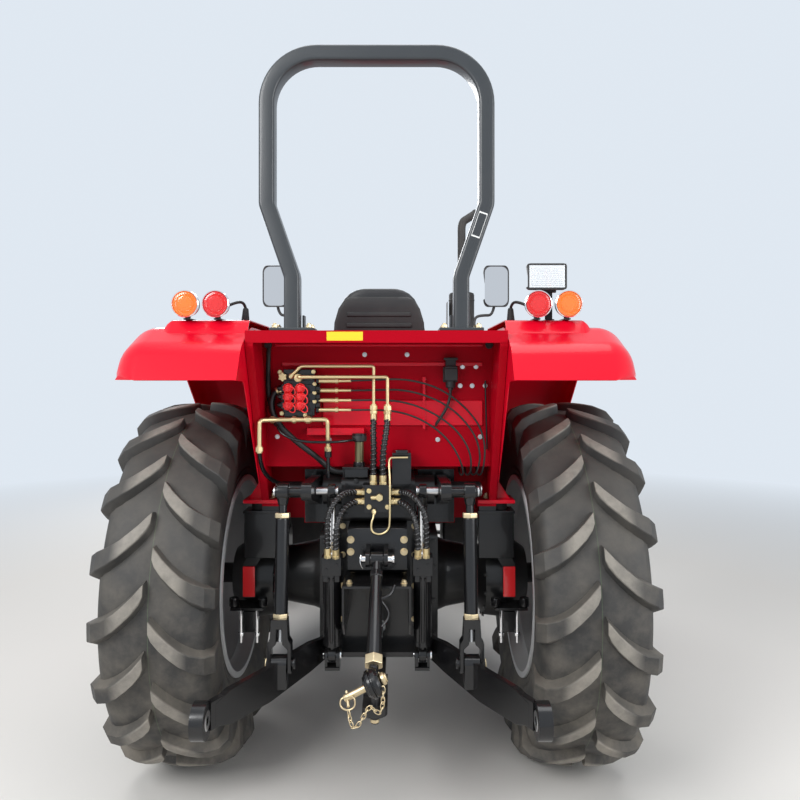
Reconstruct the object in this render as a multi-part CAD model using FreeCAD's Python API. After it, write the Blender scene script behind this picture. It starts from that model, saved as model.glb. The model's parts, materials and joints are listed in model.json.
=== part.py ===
import FreeCAD, Part
import math
import os

# Farm tractor, four wheel drive, with a two-post roll bar and a three-point linkage.
# Millimetres. The model is drawn from the rear axle: +Y is forward, +X is to the right as seen
# from behind, Z = 0 is the ground. On saving, it is moved so that its box is centred on X and Y.

V = FreeCAD.Vector

# Overall layout
wheelbase = 2310
rear_reach = 1110          # rear axle to the back of the lower link eyes
front_overhang = 810       # front axle to the front of the weights
nose_overhang = 620        # front axle to the front of the hood
front_reach = wheelbase + front_overhang
running_fit = 0.05         # radial play of a pin or shaft in its bore
seat_gap = 0.3             # play between two seated pieces
side_play = 2.5            # play beside an eye on its pin

# Wheels: diameter over the lugs, section width, rim seat, rim width, lug height, pairs of lugs
rear_tyre_diameter = 1585
rear_tyre_width = 430
rear_rim_diameter = 864
rear_rim_width = 381
rear_lug_height = 38
rear_lug_pairs = 19
rear_track = 1640
front_tyre_diameter = 1160
front_tyre_width = 315
front_rim_diameter = 610
front_rim_width = 279
front_lug_height = 30
front_lug_pairs = 15
front_track = 1600
rim_wall = 8
flange_height = 22
rear_axle_radius = 45
axle_seat_z = 995          # top of the pads on the rear axle that carry the platform
rear_hub_radius = 95

# Front axle
kingpin_offset = 600       # centre line to each kingpin
kingpin_radius = 22
axle_pivot_height = 690
axle_pivot_radius = 30
steering_arm_back = 170    # kingpin to the tie rod's ball, backwards
ball_pin_radius = 9

# Three-point linkage, as seen from the side: (y, z) of each pin
shaft_y, shaft_z = -280, 1225          # rockshaft
arm_reach, arm_rise = 320, 45          # rockshaft to the lift rod's pin
ram_reach, ram_rise = 220, 30          # rockshaft to the cylinder rod's eye
link_y, link_z = -355, 600             # lower link's front pin
ram_foot_y, ram_foot_z = -480, 600     # cylinder's lower pin
ball_y, ball_z = -1050, 615            # lower link's ball
link_front_x = 195
ball_x = 545
ram_x = 180
lift_rod_x = 356
fork_half = 28                         # half width of the lower link's boss in the lift rod's fork
arm_x0, arm_x1 = 245, 285              # the lift arm's two faces
rockshaft_radius = 35
link_pin_radius = 16
ram_pin_radius = 14
lift_pin_radius = 14
ball_bore_radius = 14.35               # category 2 lower pin
link_thickness = 24
link_depth = 90
ram_radius = 36
ram_rod_radius = 16
top_pin_y, top_pin_z = -555, 1000
top_link_reach, top_link_drop = 375, 320
top_pin_radius = 12.5
top_eye_width = 50
guard_half = 132
pto_radius = 17.5
pto_z = 660
drawbar_z = 520

# Body
deck_z = 1065
deck_half = 503
sheet = 4
shelf_z = 1885             # flat top behind the seat
shelf_back = -600
panel_y = -300             # upright panel behind the seat
tunnel_z = 1330            # top of the raised tunnel that carries the seat
side_shelf_y = -80         # front of the raised shelves beside the tunnel
foot_z = 1150              # underside of the rear posts' feet
reflector_y = -255
fender_inner = 505
fender_outer = 985
fender_sheet = 5
fender_skirt = 125
fender_round = 110
fender_top = 1905
fender_flap = 1697         # lower edge of the flap behind the wheel
flap_corner = 50           # radius of the flap's outer corner
ledge_top = 1932           # raised ledge that carries the lamps
ledge_outer = 846
hood_back = 1105
hood_front = wheelbase + nose_overhang
cowl_half = 300
hood_sheet = 3
cowl_back = 1097
hinge_y, hinge_z = 1101, 1712          # hood's hinge line
hinge_x = 60                           # inner end of the cowl's hinge knuckle
hinge_width = 40
hinge_radius = 9
hinge_pin_radius = 5
steering_hub_drop = 20
hood_bottom = 1140
engine_half = 200
engine_back = 1125
engine_front = wheelbase - 260
fan_y = wheelbase + 25
core_y = wheelbase + 75    # back of the radiator's core
core_depth = 70
weight_depth = 140
axle_beam_half = 100       # half depth of the front axle's centre
bell_half = 190            # half width of the clutch housing
fan_z = 1190

# Roll bar: box section, height, and half spacing at the top and the foot, to the section's centre
bar_wide, bar_deep = 60, 80
bar_top = 2985
bar_y = -550
bar_foot_half = 327
bar_top_half = 424
bar_corner = 195           # centre line radius of the upper corners
bar_kink_low, bar_kink_high = 2095, 2374

# Exhaust
stack_x, stack_y = 490, 1300
muffler_radius = 82
muffler_z0, muffler_z1 = 1560, 2250
tail_radius = 26
feed_radius = 33
stack_top = 2760
stack_bend_z, stack_reach = 2700, 95

# Engine
engine_bottom, engine_top = 760, 1240
sump_half, sump_bottom = 150, 640
head_half, head_top = 95, 1330
timing_half, timing_bottom, timing_depth = 150, 925, 70
crank_z, crank_pulley_radius = 1010, 75
fan_pulley_radius = 60
fan_shaft_radius = 18
fan_hub_radius = 45
fan_blades = 6
fan_blade_angle = 25       # degrees
blade_half, blade_wall = 40, 5
blade_root, blade_tip = 30, 185        # from the fan's axis
fan_clearance = 20         # blade tip to the shroud
exhaust_port_z0, exhaust_port_z1 = 1090, 1160
exhaust_port_depth = 55
injection_pump_z0, injection_pump_z1 = 900, 1060
injection_pump_depth = 60

# Clutch housing, gearbox and rear axle
bell_bottom, bell_top, bell_back = 600, 1020, 560
case_bottom, case_top, case_back = 560, 1040, -300
gearbox_half, gearbox_back = 205, 200
centre_half = 250
trumpet = [(300, 150), (430, 125), (470, 185), (560, 195)]     # x, radius of the axle's housing
trumpet_start, trumpet_start_radius = 240, 175
trumpet_end_radius = 120
pad_x0, pad_x1, pad_half = 425, 575, 90
transfer_half, transfer_bottom, transfer_top = 70, 535, 660
transfer_y0, transfer_y1 = 900, 1120
shaft_guard_z, shaft_guard_radius = 575, 32
pto_collar = 12            # how far the shaft's collar stands out

# Hydraulic lift housing
lift_half, lift_back, lift_top = 150, -400, 1290
drum_end, drum_radius = 235, 62
oil_block_half, oil_block_back = 52, -470
oil_block_z0, oil_block_z1 = 1165, 1270
filler_x, filler_y, filler_radius, filler_top = -80, -340, 18, 1440
filler_cap_radius, filler_cap_height = 30, 30

# Front bracket, weights and radiator
rail_x0, rail_x1 = 140, 200
rail_z0, rail_z1 = 740, 910
radiator_shelf_half, radiator_shelf_wall = 240, 12
weight_count, weight_wide, weight_pitch = 6, 74, 84
weight_bottom, weight_top = 600, 930
core_half, core_bottom, core_top = 250, 960, 1420
shroud_half, shroud_depth = 235, 85

# Seat
plinth_half, plinth_back, plinth_front, plinth_top = 150, -110, 240, 1480
seat_half, seat_back, seat_front = 215, -180, 330
seat_pan_top = 1510
seat_shell_half, seat_shell_top = 190, 2050
cushion_back, cushion_front, cushion_top = -130, 340, 1610
rest_half, rest_top = 205, 2090

# Steering wheel: middle, rim and tube radius, and the foot of its column
wheel_centre_y, wheel_centre_z = 640, 1760
wheel_rim_radius, wheel_tube_radius, wheel_hub_radius = 200, 13, 38
spoke_radius, spoke_angles = 9, (90, 210, 330)
column_y, column_z, column_radius = 925, 1545, 28
steering_axis = V(0, wheel_centre_y - 905, wheel_centre_z - 1560).normalize()

# Levers: x, y, height of the knob, how far it leans. Pedals: x.
levers = [(-120, 520, 1500, -60), (120, 520, 1500, -60), (360, 150, 1720, -40), (412, 150, 1720, -40),
          (-400, 180, 1690, -30)]
lever_radius, knob_radius, knob_height, boot_radius, boot_height = 7, 17, 45, 22, 30
pedals = [-200, 165, 245]
pedal_half, pedal_arm_half = 35, 8

# Fuel tank, battery box and steps
tank_x0, tank_x1, tank_y0, tank_y1 = -590, -330, 870, 1540
tank_bottom, tank_top = 640, 1010
tank_cap_y, tank_cap_radius, tank_cap_height = 1380, 45, 40
battery_x0, battery_x1, battery_y0, battery_y1 = 340, 600, 870, 1180
battery_bottom, battery_top = 660, 1000
hanger_y0, hanger_y1, hanger_z0, hanger_z1 = 950, 1010, 900, 960
step_x0, step_x1, step_y0, step_y1 = 604, 790, 862, 1148
step_heights = (480, 760)
step_sheet, step_strap, tread_wall, tread_lip = 8, 38, 12, 45

# Lamps and mirrors
lamp_places = (-749, -630, 630, 749)
lamp_z, lamp_radius, lamp_y0, lamp_y1 = 1992, 54, -545, -470
work_lamp_x0, work_lamp_x1 = 588, 748
work_lamp_z0, work_lamp_z1 = 2050, 2155
reflector_x, reflector_half, reflector_z0, reflector_z1 = 560, 26, 760, 890
mirror_x0, mirror_x1, mirror_z0, mirror_z1 = 618, 782, 2140, 2405
mirror_y0, mirror_y1 = 1185, 1215
mirror_arm_radius = 9

# Remote valve
valve_x0, valve_x1, valve_back = -400, -256, -400
valve_z0, valve_z1 = 1530, 1745
coupling_columns, coupling_rows = (-368, -318), (1590, 1625, 1660)
coupling_radius = 19
spool_heights = (1569, 1609, 1650, 1689)
spool_y, spool_radius, spool_end = -370, 10, -165
pipe_radius = 7
feed_hose_radius, lift_hose_radius, cable_radius, return_hose_radius = 11, 10, 4, 12

# Fender's outline from the side: y, z, corner radius
fender_side = [(-735, fender_flap, 0), (-655, 1825, 150), (-480, fender_top, 170), (200, fender_top, 300),
               (690, 1490, 280), (860, 1110, 0)]

# Hood's cross sections, from the back: y, half width, half width of the top, bottom, top
hood_sections = [(hood_back, 300, 240, hood_bottom, 1700), (hood_front - 730, 300, 240, hood_bottom, 1660),
                 (hood_front - 170, 296, 225, hood_bottom, 1590), (hood_front, 285, 200, hood_bottom, 1520)]
louvre_count, louvre_pitch, louvre_wide = 6, 70, 30
louvre_z0, louvre_z1 = 1230, 1420
grille_depth = 45
window_half, window_z0, window_z1 = 225, 1030, 1250
slat_count, slat_pitch, slat_high = 7, 30, 8
headlamp = [(70, 1290), (70, 1385), (215, 1385), (235, 1290)]      # outline of one opening, x and z
headlamp_corner = 15

# Places and sizes worked out from those above
rear_radius = rear_tyre_diameter / 2
front_radius = front_tyre_diameter / 2
rear_x = rear_track / 2
front_x = front_track / 2
rear_hub_x0 = -150         # inner end of the rear hub, from the wheel's middle
front_hub_x0 = -95
front_hub_radius = 80
spindle_radius = 40
arm_tip_y = shaft_y - arm_reach
arm_tip_z = shaft_z + arm_rise
ram_eye_y = shaft_y - ram_reach
ram_eye_z = shaft_z + ram_rise
lift_point_y = link_y - arm_reach      # the lift rod's lower pin closes a parallelogram
lift_point_z = link_z + arm_rise


def box(x0, x1, y0, y1, z0, z1):
    return Part.makeBox(x1 - x0, y1 - y0, z1 - z0, V(x0, y0, z0))


def rod(start, end, radius):
    """Round bar between two points."""
    axis = end - start
    return Part.makeCylinder(radius, axis.Length, start, axis)


def bar_x(x0, x1, y, z, radius):
    """Round bar along X."""
    return Part.makeCylinder(radius, x1 - x0, V(x0, y, z), V(1, 0, 0))


def bar_y_axis(y0, y1, x, z, radius):
    """Round bar along Y."""
    return Part.makeCylinder(radius, y1 - y0, V(x, y0, z), V(0, 1, 0))


def bar_z(z0, z1, x, y, radius):
    """Round bar along Z."""
    return Part.makeCylinder(radius, z1 - z0, V(x, y, z0), V(0, 0, 1))


def fused(shapes):
    """One solid from pieces that touch or run into each other."""
    return shapes[0].multiFuse(shapes[1:]).removeSplitter()


def mirrored(shape):
    """The same piece on the other side of the tractor."""
    return shape.mirror(V(0, 0, 0), V(1, 0, 0))


def path(corners, closed=False):
    """Wire of straight runs with a tangent arc at each (point, radius) whose radius is not 0."""
    count = len(corners)
    edges = []
    last = None
    first = None
    for i, (point, radius) in enumerate(corners):
        inside = closed or 0 < i < count - 1
        if inside and radius > 0:
            before = (point - corners[i - 1][0]).normalize()
            after = (corners[(i + 1) % count][0] - point).normalize()
            half = before.getAngle(after) / 2
            cut = radius * math.tan(half)
            middle = (after - before).normalize() * (radius / math.cos(half) - radius)
            enter = point - before * cut
            leave = point + after * cut
            arc = Part.Arc(enter, point + middle, leave).toShape()
        else:
            enter = leave = point
            arc = None
        if last is not None and (enter - last).Length > 1e-6:
            edges.append(Part.LineSegment(last, enter).toShape())
        if arc is not None:
            edges.append(arc)
        if first is None:
            first = enter
        last = leave
    if closed and (first - last).Length > 1e-6:
        edges.append(Part.LineSegment(last, first).toShape())
    return Part.Wire(edges)


def plate_x(corners, x0, x1):
    """Plate of a (y, z) or (y, z, radius) outline between two X."""
    wire = path([(V(x0, c[0], c[1]), c[2] if len(c) > 2 else 0) for c in corners], True)
    return Part.Face(wire).extrude(V(x1 - x0, 0, 0))


def plate_y(corners, y0, y1):
    """Plate of an (x, z) or (x, z, radius) outline between two Y."""
    wire = path([(V(c[0], y0, c[1]), c[2] if len(c) > 2 else 0) for c in corners], True)
    return Part.Face(wire).extrude(V(0, y1 - y0, 0))


def plate_z(corners, z0, z1):
    """Plate of an (x, y) or (x, y, radius) outline between two Z."""
    wire = path([(V(c[0], c[1], z0), c[2] if len(c) > 2 else 0) for c in corners], True)
    return Part.Face(wire).extrude(V(0, 0, z1 - z0))


def turned_x(outline, y=0, z=0):
    """Solid turned about a line along X, from (x, radius) points."""
    points = [V(x, y, z + r) for x, r in outline]
    face = Part.Face(Part.makePolygon(points + points[:1]))
    return face.revolve(V(0, y, z), V(1, 0, 0), 360)


def swept(corners, radius):
    """Round tube or rod along a path."""
    wire = path(corners)
    start = corners[0][0]
    circle = Part.Wire(Part.Circle(start, corners[1][0] - start, radius).toShape())
    return wire.makePipeShell([circle], True, False)


def cord(points, radius):
    """Hose or cable: every bend is as large as its two runs allow."""
    corners = [(points[0], 0)]
    radii = []
    for before, point, after in zip(points, points[1:], points[2:]):
        half = (point - before).getAngle(after - point) / 2
        bend = 0.45 * min((point - before).Length, (after - point).Length) / math.tan(half)
        corners.append((point, bend))
        radii.append(round(bend))
    corners.append((points[-1], 0))
    solid = swept(corners, radius)
    length = path(corners).Length
    print("cord", round(length), "mm, bends", radii, "volume ratio",
          round(solid.Volume / (math.pi * radius ** 2 * length), 4))
    return solid


def ring_x(x0, x1, y, z, outer, inner):
    """Eye or bush along X."""
    return bar_x(x0, x1, y, z, outer).cut(bar_x(x0 - 1, x1 + 1, y, z, inner))


def save(name, *solids):
    """Write one node, moved so that the whole tractor is centred."""
    shape = solids[0] if len(solids) == 1 else Part.makeCompound(list(solids))
    moved = shape.copy()
    moved.translate(V(0, (rear_reach - front_reach) / 2, 0))
    moved.exportStep("parts/" + name + ".step")


# Wheels

def faceted_ring(outline, count):
    """Ring about the X axis with flat facets, from a closed list of (x, radius)."""
    sections = []
    for i in range(count):
        angle = (i + 0.5) * 2 * math.pi / count
        sections.append([V(x, r * math.sin(angle), r * math.cos(angle)) for x, r in outline])
    faces = []
    for near, far in zip(sections, sections[1:] + sections[:1]):
        for k in range(len(outline)):
            after = (k + 1) % len(outline)
            faces.append(Part.Face(Part.makePolygon([near[k], near[after], far[after], far[k], near[k]])))
    return Part.Solid(Part.Shell(faces))


def lugged_tyre(diameter, width, rim_diameter, rim_width, lug_height, pairs):
    """Tyre about the X axis: a carcass with one facet per lug, and lugs that sweep back to both shoulders."""
    outer = diameter / 2
    tread = outer - lug_height
    half = width / 2
    count = 2 * pairs
    seat = (rim_diameter / 2 + seat_gap) / math.cos(math.pi / count)
    shoulder_drop = 60
    # The side wall leans outwards from its bead, and clears the inner edge of the rim's flange.
    lean = flange_height / (tread - shoulder_drop - rim_diameter / 2)
    bead_half = (rim_width / 2 - rim_wall - seat_gap - half * lean) / (1 - lean)
    side = [(half - 45, tread), (half, tread - shoulder_drop), (bead_half, seat)]
    body = faceted_ring([(-x, r) for x, r in reversed(side)] + side, count)

    # A lug's outline on the tread, as (x, y): its blunt end near the middle, and its end at the shoulder.
    bar = width * 0.1
    reach = width * 0.22
    footprint = [(bar * 0.2, reach), (half - seat_gap, reach - bar * 3), (half - seat_gap, -reach),
                 (bar * 0.2, reach - bar * 1.2)]
    # The flat crown lies low enough for its far corners to reach the tyre's diameter and no further.
    crown = math.sqrt(outer ** 2 - reach ** 2)
    points = [V(x, y, tread - shoulder_drop + 2) for x, y in footprint]
    right = Part.Face(Part.makePolygon(points + points[:1])).extrude(V(0, 0, crown - tread + shoulder_drop - 2))
    lugs = []
    for i in range(count):
        lug = right if i % 2 == 0 else mirrored(right)
        turned = lug.copy()
        turned.rotate(V(0, 0, 0), V(1, 0, 0), i * 360 / count)
        lugs.append(turned)
    return body.multiFuse(lugs)


def wheel_rim(diameter, width, disc_x, hub_outer, hub_bore, hub_x0, hub_x1):
    """Rim, dished disc and hub about the X axis, as one welded and bolted piece."""
    seat = diameter / 2
    half = width / 2
    wall = rim_wall
    lip = seat + flange_height
    rim = turned_x([(-half, lip), (-half + wall, lip), (-half + wall, seat), (half - wall, seat),
                    (half - wall, lip), (half, lip), (half, seat - wall), (-half, seat - wall)])
    disc = turned_x([(disc_x - 6, seat - wall + 1), (disc_x + 6, seat - wall + 1),
                     (disc_x + 6, seat - 75), (disc_x - 40, hub_outer + 70), (disc_x - 40, hub_bore + 1),
                     (disc_x - 54, hub_bore + 1), (disc_x - 54, hub_outer + 72), (disc_x - 6, seat - 80)])
    hub = turned_x([(hub_x0, hub_bore), (hub_x0, hub_outer), (hub_x1, hub_outer), (hub_x1, hub_bore)])
    wheel = fused([rim, disc, hub])
    for i in range(8):
        angle = i * math.pi / 4
        radius = hub_outer + 38
        hole = bar_x(disc_x - 100, disc_x + 60, radius * math.cos(angle), radius * math.sin(angle), 10)
        wheel = wheel.cut(hole)
    return wheel


def place(shape, x, y, z):
    copy = shape.copy()
    copy.translate(V(x, y, z))
    return copy


def build_wheels():
    rear_tyre = lugged_tyre(rear_tyre_diameter, rear_tyre_width, rear_rim_diameter, rear_rim_width,
                            rear_lug_height, rear_lug_pairs)
    front_tyre = lugged_tyre(front_tyre_diameter, front_tyre_width, front_rim_diameter,
                             front_rim_width, front_lug_height, front_lug_pairs)
    rear_rim = wheel_rim(rear_rim_diameter, rear_rim_width, 40, rear_hub_radius,
                         rear_axle_radius + running_fit, rear_hub_x0, 30)
    front_rim = wheel_rim(front_rim_diameter, front_rim_width, 45, front_hub_radius,
                          spindle_radius + running_fit, front_hub_x0, 35)
    for kind, tyre, rim, x, y, z in (("rear", rear_tyre, rear_rim, rear_x, 0, rear_radius),
                                     ("front", front_tyre, front_rim, front_x, wheelbase, front_radius)):
        for piece, shape in (("tyre", tyre), ("rim", rim)):
            save(kind + "_" + piece + "_right", place(shape, x, y, z))
            save(kind + "_" + piece + "_left", place(mirrored(shape), -x, y, z))


# Driveline

def build_engine():
    block = box(-engine_half, engine_half, engine_back, engine_front, engine_bottom, engine_top)
    sump = plate_y([(-sump_half, engine_bottom + 2), (35 - sump_half, sump_bottom, 25),
                    (sump_half - 35, sump_bottom, 25), (sump_half, engine_bottom + 2)],
                   engine_back + 55, engine_front - 60)
    cover = plate_y([(-head_half, engine_top - 2), (-head_half, head_top, 30), (head_half, head_top, 30),
                     (head_half, engine_top - 2)], engine_back + 55, engine_front - 50)
    timing = plate_y([(-timing_half, timing_bottom, 40), (-timing_half, engine_top - 5, 60),
                      (timing_half, engine_top - 5, 60), (timing_half, timing_bottom, 40)],
                     engine_front - 5, engine_front + timing_depth)
    pulley_y = engine_front + timing_depth - 5
    # The crank's pulley, the fan's pulley, its shaft and its hub.
    pulleys = [bar_y_axis(pulley_y, pulley_y + 45, 0, crank_z, crank_pulley_radius),
               bar_y_axis(pulley_y, pulley_y + 35, 0, fan_z, fan_pulley_radius),
               bar_y_axis(pulley_y, fan_y + 10, 0, fan_z, fan_shaft_radius),
               bar_y_axis(fan_y - 15, fan_y + 15, 0, fan_z, fan_hub_radius)]
    blades = []
    for i in range(fan_blades):
        blade = box(-blade_half, blade_half, fan_y - 2, fan_y - 2 + blade_wall, fan_z + blade_root,
                    fan_z + blade_tip)
        blade.rotate(V(0, fan_y, fan_z), V(0, 0, 1), fan_blade_angle)
        blade.rotate(V(0, fan_y, fan_z), V(0, 1, 0), i * 360 / fan_blades)
        blades.append(blade)
    ports = box(engine_half, engine_half + exhaust_port_depth, engine_back + 95, engine_front - 150,
                exhaust_port_z0, exhaust_port_z1)
    pump = box(-engine_half - injection_pump_depth, -engine_half, engine_back + 225, engine_back + 525,
               injection_pump_z0, injection_pump_z1)
    save("engine_block", fused([block, sump, cover, timing, ports, pump] + pulleys + blades))


def build_transmission():
    bell = plate_y([(-bell_half, bell_bottom, 60), (-bell_half, bell_top, 60), (bell_half, bell_top, 60),
                    (bell_half, bell_bottom, 60)], bell_back, engine_back - seat_gap)
    gearbox = plate_y([(-gearbox_half, case_bottom, 40), (-gearbox_half, case_top, 40),
                       (gearbox_half, case_top, 40), (gearbox_half, case_bottom, 40)],
                      gearbox_back, bell_back + 5)
    centre_front = gearbox_back + 60
    centre = plate_x([(case_back, case_bottom, 40), (case_back, case_top, 20),
                      (centre_front - 50, case_top, 20), (centre_front, 900, 60),
                      (centre_front, case_bottom, 80)], -centre_half, centre_half)
    parts = [bell, gearbox, centre]
    end = rear_x + rear_hub_x0 - 6
    profile = ([(trumpet_start, 0), (trumpet_start, trumpet_start_radius)] + trumpet
               + [(end, trumpet_end_radius), (end, 0)])
    for side in (-1, 1):
        housing = turned_x(profile, 0, rear_radius)
        pad = box(pad_x0, pad_x1, -pad_half, pad_half, rear_radius, axle_seat_z)
        stub = bar_x(end - 20, rear_x + 28, 0, rear_radius, rear_axle_radius)
        tube = fused([housing, pad, stub])
        parts.append(tube if side > 0 else mirrored(tube))
    body = fused(parts)
    body = body.cut(bar_y_axis(case_back - 1, case_back + 100, 0, pto_z, pto_radius + pto_collar))
    transfer = plate_y([(-transfer_half, transfer_bottom, 40), (-transfer_half, transfer_top),
                        (transfer_half, transfer_top), (transfer_half, transfer_bottom, 40)],
                       transfer_y0, transfer_y1)
    guard = bar_y_axis(transfer_y1 - 20, wheelbase - axle_beam_half - 10, 0, shaft_guard_z, shaft_guard_radius)
    save("transmission", fused([body, transfer, guard]))


def build_lift_housing():
    seat = case_top + seat_gap
    case = plate_x([(lift_back, 1112, 20), (lift_back, lift_top, 30), (-60, lift_top, 60), (40, 1160, 40),
                    (40, seat), (case_back + 1, seat), (case_back + 1, 1112)], -lift_half, lift_half)
    drum = bar_x(lift_half - 10, drum_end, shaft_y, shaft_z, drum_radius)
    oil_block = box(-oil_block_half, oil_block_half, oil_block_back, lift_back + 1, oil_block_z0, oil_block_z1)
    controls = box(58, 135, -430, -330, lift_top - 20, 1394)
    case = fused([case, drum, mirrored(drum), oil_block, controls])
    case = case.cut(bar_x(-400, 400, shaft_y, shaft_z, rockshaft_radius + running_fit))
    fitting = box(-lift_half, -112, -336, case_back, lift_top - 2, lift_top + 34)
    filler = bar_z(lift_top, filler_top, filler_x, filler_y, filler_radius)
    cap = bar_z(filler_top, filler_top + filler_cap_height, filler_x, filler_y, filler_cap_radius)
    save("lift_housing", fused([case, fitting, filler, cap]))


def build_front():
    back = engine_front + seat_gap
    front = front_reach - weight_depth - 20
    rail = box(rail_x0, rail_x1, back, front, rail_z0, rail_z1)
    cross = [box(-rail_x1, rail_x1, back, back + 60, rail_z0, rail_z1),
             box(-rail_x1, rail_x1, front - 80, front, rail_z0, rail_z1)]
    posts = []
    low = axle_pivot_height - 64
    for y0 in (wheelbase - 215, wheelbase + 145):
        posts.append(plate_y([(-rail_x1, rail_z0 + 1), (-85, low, 20), (85, low, 20), (rail_x1, rail_z0 + 1),
                              (rail_x1, 800), (-rail_x1, 800)], y0, y0 + 70))
    frame = fused([rail, mirrored(rail)] + cross + posts)
    frame = frame.cut(bar_y_axis(back - 50, front - 260, 0, axle_pivot_height, axle_pivot_radius + running_fit))
    shelf = box(-radiator_shelf_half, radiator_shelf_half, wheelbase - 30, front, rail_z1,
                rail_z1 + radiator_shelf_wall)
    hook = plate_x([(front - 5, 760), (front + 50, 760, 20), (front + 50, 830, 20), (front - 5, 830)], -25, 25)
    save("front_bracket", fused([frame, shelf, hook]))
    carrier = box(-core_half, core_half, front + seat_gap, front + 25, 850, 900)
    weights = [carrier]
    first = -(weight_count * weight_pitch - (weight_pitch - weight_wide)) / 2
    for i in range(weight_count):
        x = first + i * weight_pitch
        weights.append(plate_x([(front + 20, weight_bottom, 30), (front + 20, weight_top, 20),
                                (front_reach, weight_top - 30, 60), (front_reach, weight_bottom + 40, 40)],
                               x, x + weight_wide))
    weights = fused(weights).cut(box(-26, 26, front - 10, front + 51, 750, 835))
    save("front_weights", weights)


def build_radiator():
    end = core_y + core_depth
    core = box(-core_half, core_half, core_y, end, core_bottom, core_top)
    top = plate_x([(core_y - 10, core_top - 1), (core_y - 10, core_top + 45, 15), (end + 10, core_top + 45, 15),
                   (end + 10, core_top - 1)], 20 - core_half, core_half - 20)
    foot = box(-core_half - 5, core_half + 5, core_y - 15, end + 15,
               rail_z1 + radiator_shelf_wall + seat_gap, core_bottom + 1)
    shroud = plate_y([(-shroud_half, core_bottom + 2, 60), (-shroud_half, core_top - 5, 60),
                      (shroud_half, core_top - 5, 60), (shroud_half, core_bottom + 2, 60)],
                     core_y - shroud_depth, core_y + 1)
    shroud = shroud.cut(bar_y_axis(core_y - shroud_depth - 10, core_y - 1, 0, fan_z, blade_tip + fan_clearance))
    save("radiator", fused([core, top, foot, shroud]))


# Front axle, steered wheels

def build_front_axle():
    z = front_radius
    y = wheelbase
    centre = plate_y([(-170, z - 70, 40), (-170, z + 70, 30), (-95, axle_pivot_height + 50, 30),
                      (95, axle_pivot_height + 50, 30), (170, z + 70, 30), (170, z - 70, 40),
                      (0, z - 130, 60)], y - axle_beam_half, y + axle_beam_half)
    tube = bar_x(-kingpin_offset, kingpin_offset, y, z, 55)
    pivots = bar_y_axis(y - 230, y + 230, 0, axle_pivot_height, axle_pivot_radius)
    ends = []
    for side in (-1, 1):
        ends.append(bar_z(z - 95, z + 95, side * kingpin_offset, y, 62))
    beam = fused([centre, tube, pivots] + ends)
    for side in (-1, 1):
        beam = beam.cut(bar_z(z - 100, z + 100, side * kingpin_offset, y, kingpin_radius + running_fit))
    beam = beam.cut(bar_y_axis(y - 300, y - axle_beam_half + 20, 0, 570, 48))
    save("front_axle_beam", beam)

    for side, name in ((1, "right"), (-1, "left")):
        x = kingpin_offset
        top = plate_z([(x - 50, y - 50, 40), (x + 95, y - 60, 10), (x + 95, y + 60, 10), (x - 50, y + 50, 40)],
                      z + 95 + side_play, z + 125)
        bottom = top.copy()
        bottom.translate(V(0, 0, -(220 + side_play)))
        web = box(x + 68, x + 95, y - 60, y + 60, z - 125, z + 125)
        pin = bar_z(z - 110, z + 110, x, y, kingpin_radius)
        case = bar_x(x + 68, front_x + front_hub_x0 - 4, y, z, 100)
        spindle = bar_x(x + 80, front_x + 33, y, z, spindle_radius)
        arm = plate_z([(x - 30, y - 40), (x - 22, y - steering_arm_back - 20, 18),
                       (x + 22, y - steering_arm_back - 20, 18), (x + 60, y - 40)], z - 125, z - 97.5)
        knuckle = fused([top, bottom, web, pin, case, spindle, arm])
        ball = bar_z(z - 126, z - 70, x, y - steering_arm_back, ball_pin_radius)
        knuckle = fused([knuckle, ball])
        save("knuckle_" + name, knuckle if side > 0 else mirrored(knuckle))

    rod_z = z - 82
    ball_y_front = wheelbase - steering_arm_back
    tie = bar_x(-kingpin_offset + 14, kingpin_offset - 14, ball_y_front, rod_z, 15)
    eyes = [bar_z(rod_z - 14, rod_z + 14, side * kingpin_offset, ball_y_front, 24) for side in (-1, 1)]
    tie = fused([tie] + eyes)
    for side in (-1, 1):
        bore = ball_pin_radius + (running_fit if side < 0 else seat_gap)
        tie = tie.cut(bar_z(rod_z - 30, rod_z + 30, side * kingpin_offset, ball_y_front, bore))
    save("tie_rod", tie)


# Three-point linkage

def taper_plate(a, b, radius_a, radius_b, x0, x1):
    """Plate with round ends about two (y, z) centres, between two X."""
    dy, dz = b[0] - a[0], b[1] - a[1]
    length = math.hypot(dy, dz)
    lean = math.acos((radius_a - radius_b) / length)
    base = math.atan2(dz, dy)
    points = []
    for (cy, cz), radius, sign in ((a, radius_a, 1), (b, radius_b, 1), (b, radius_b, -1), (a, radius_a, -1)):
        angle = base + sign * lean
        points.append((cy + radius * math.cos(angle), cz + radius * math.sin(angle)))
    web = plate_x(points, x0, x1)
    return fused([web, bar_x(x0, x1, a[0], a[1], radius_a), bar_x(x0, x1, b[0], b[1], radius_b)])


def build_lift_arms():
    shaft = bar_x(-430, 430, shaft_y, shaft_z, rockshaft_radius)
    parts = [shaft]
    for side in (-1, 1):
        arm = taper_plate((shaft_y, shaft_z), (arm_tip_y, arm_tip_z), 62, 34, arm_x0, arm_x1)
        pin = bar_x(arm_x1 - 10, lift_rod_x + 30, arm_tip_y, arm_tip_z, lift_pin_radius)
        arm = fused([arm, pin])
        parts.append(arm if side > 0 else mirrored(arm))
    save("lift_arms", fused(parts))


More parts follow.
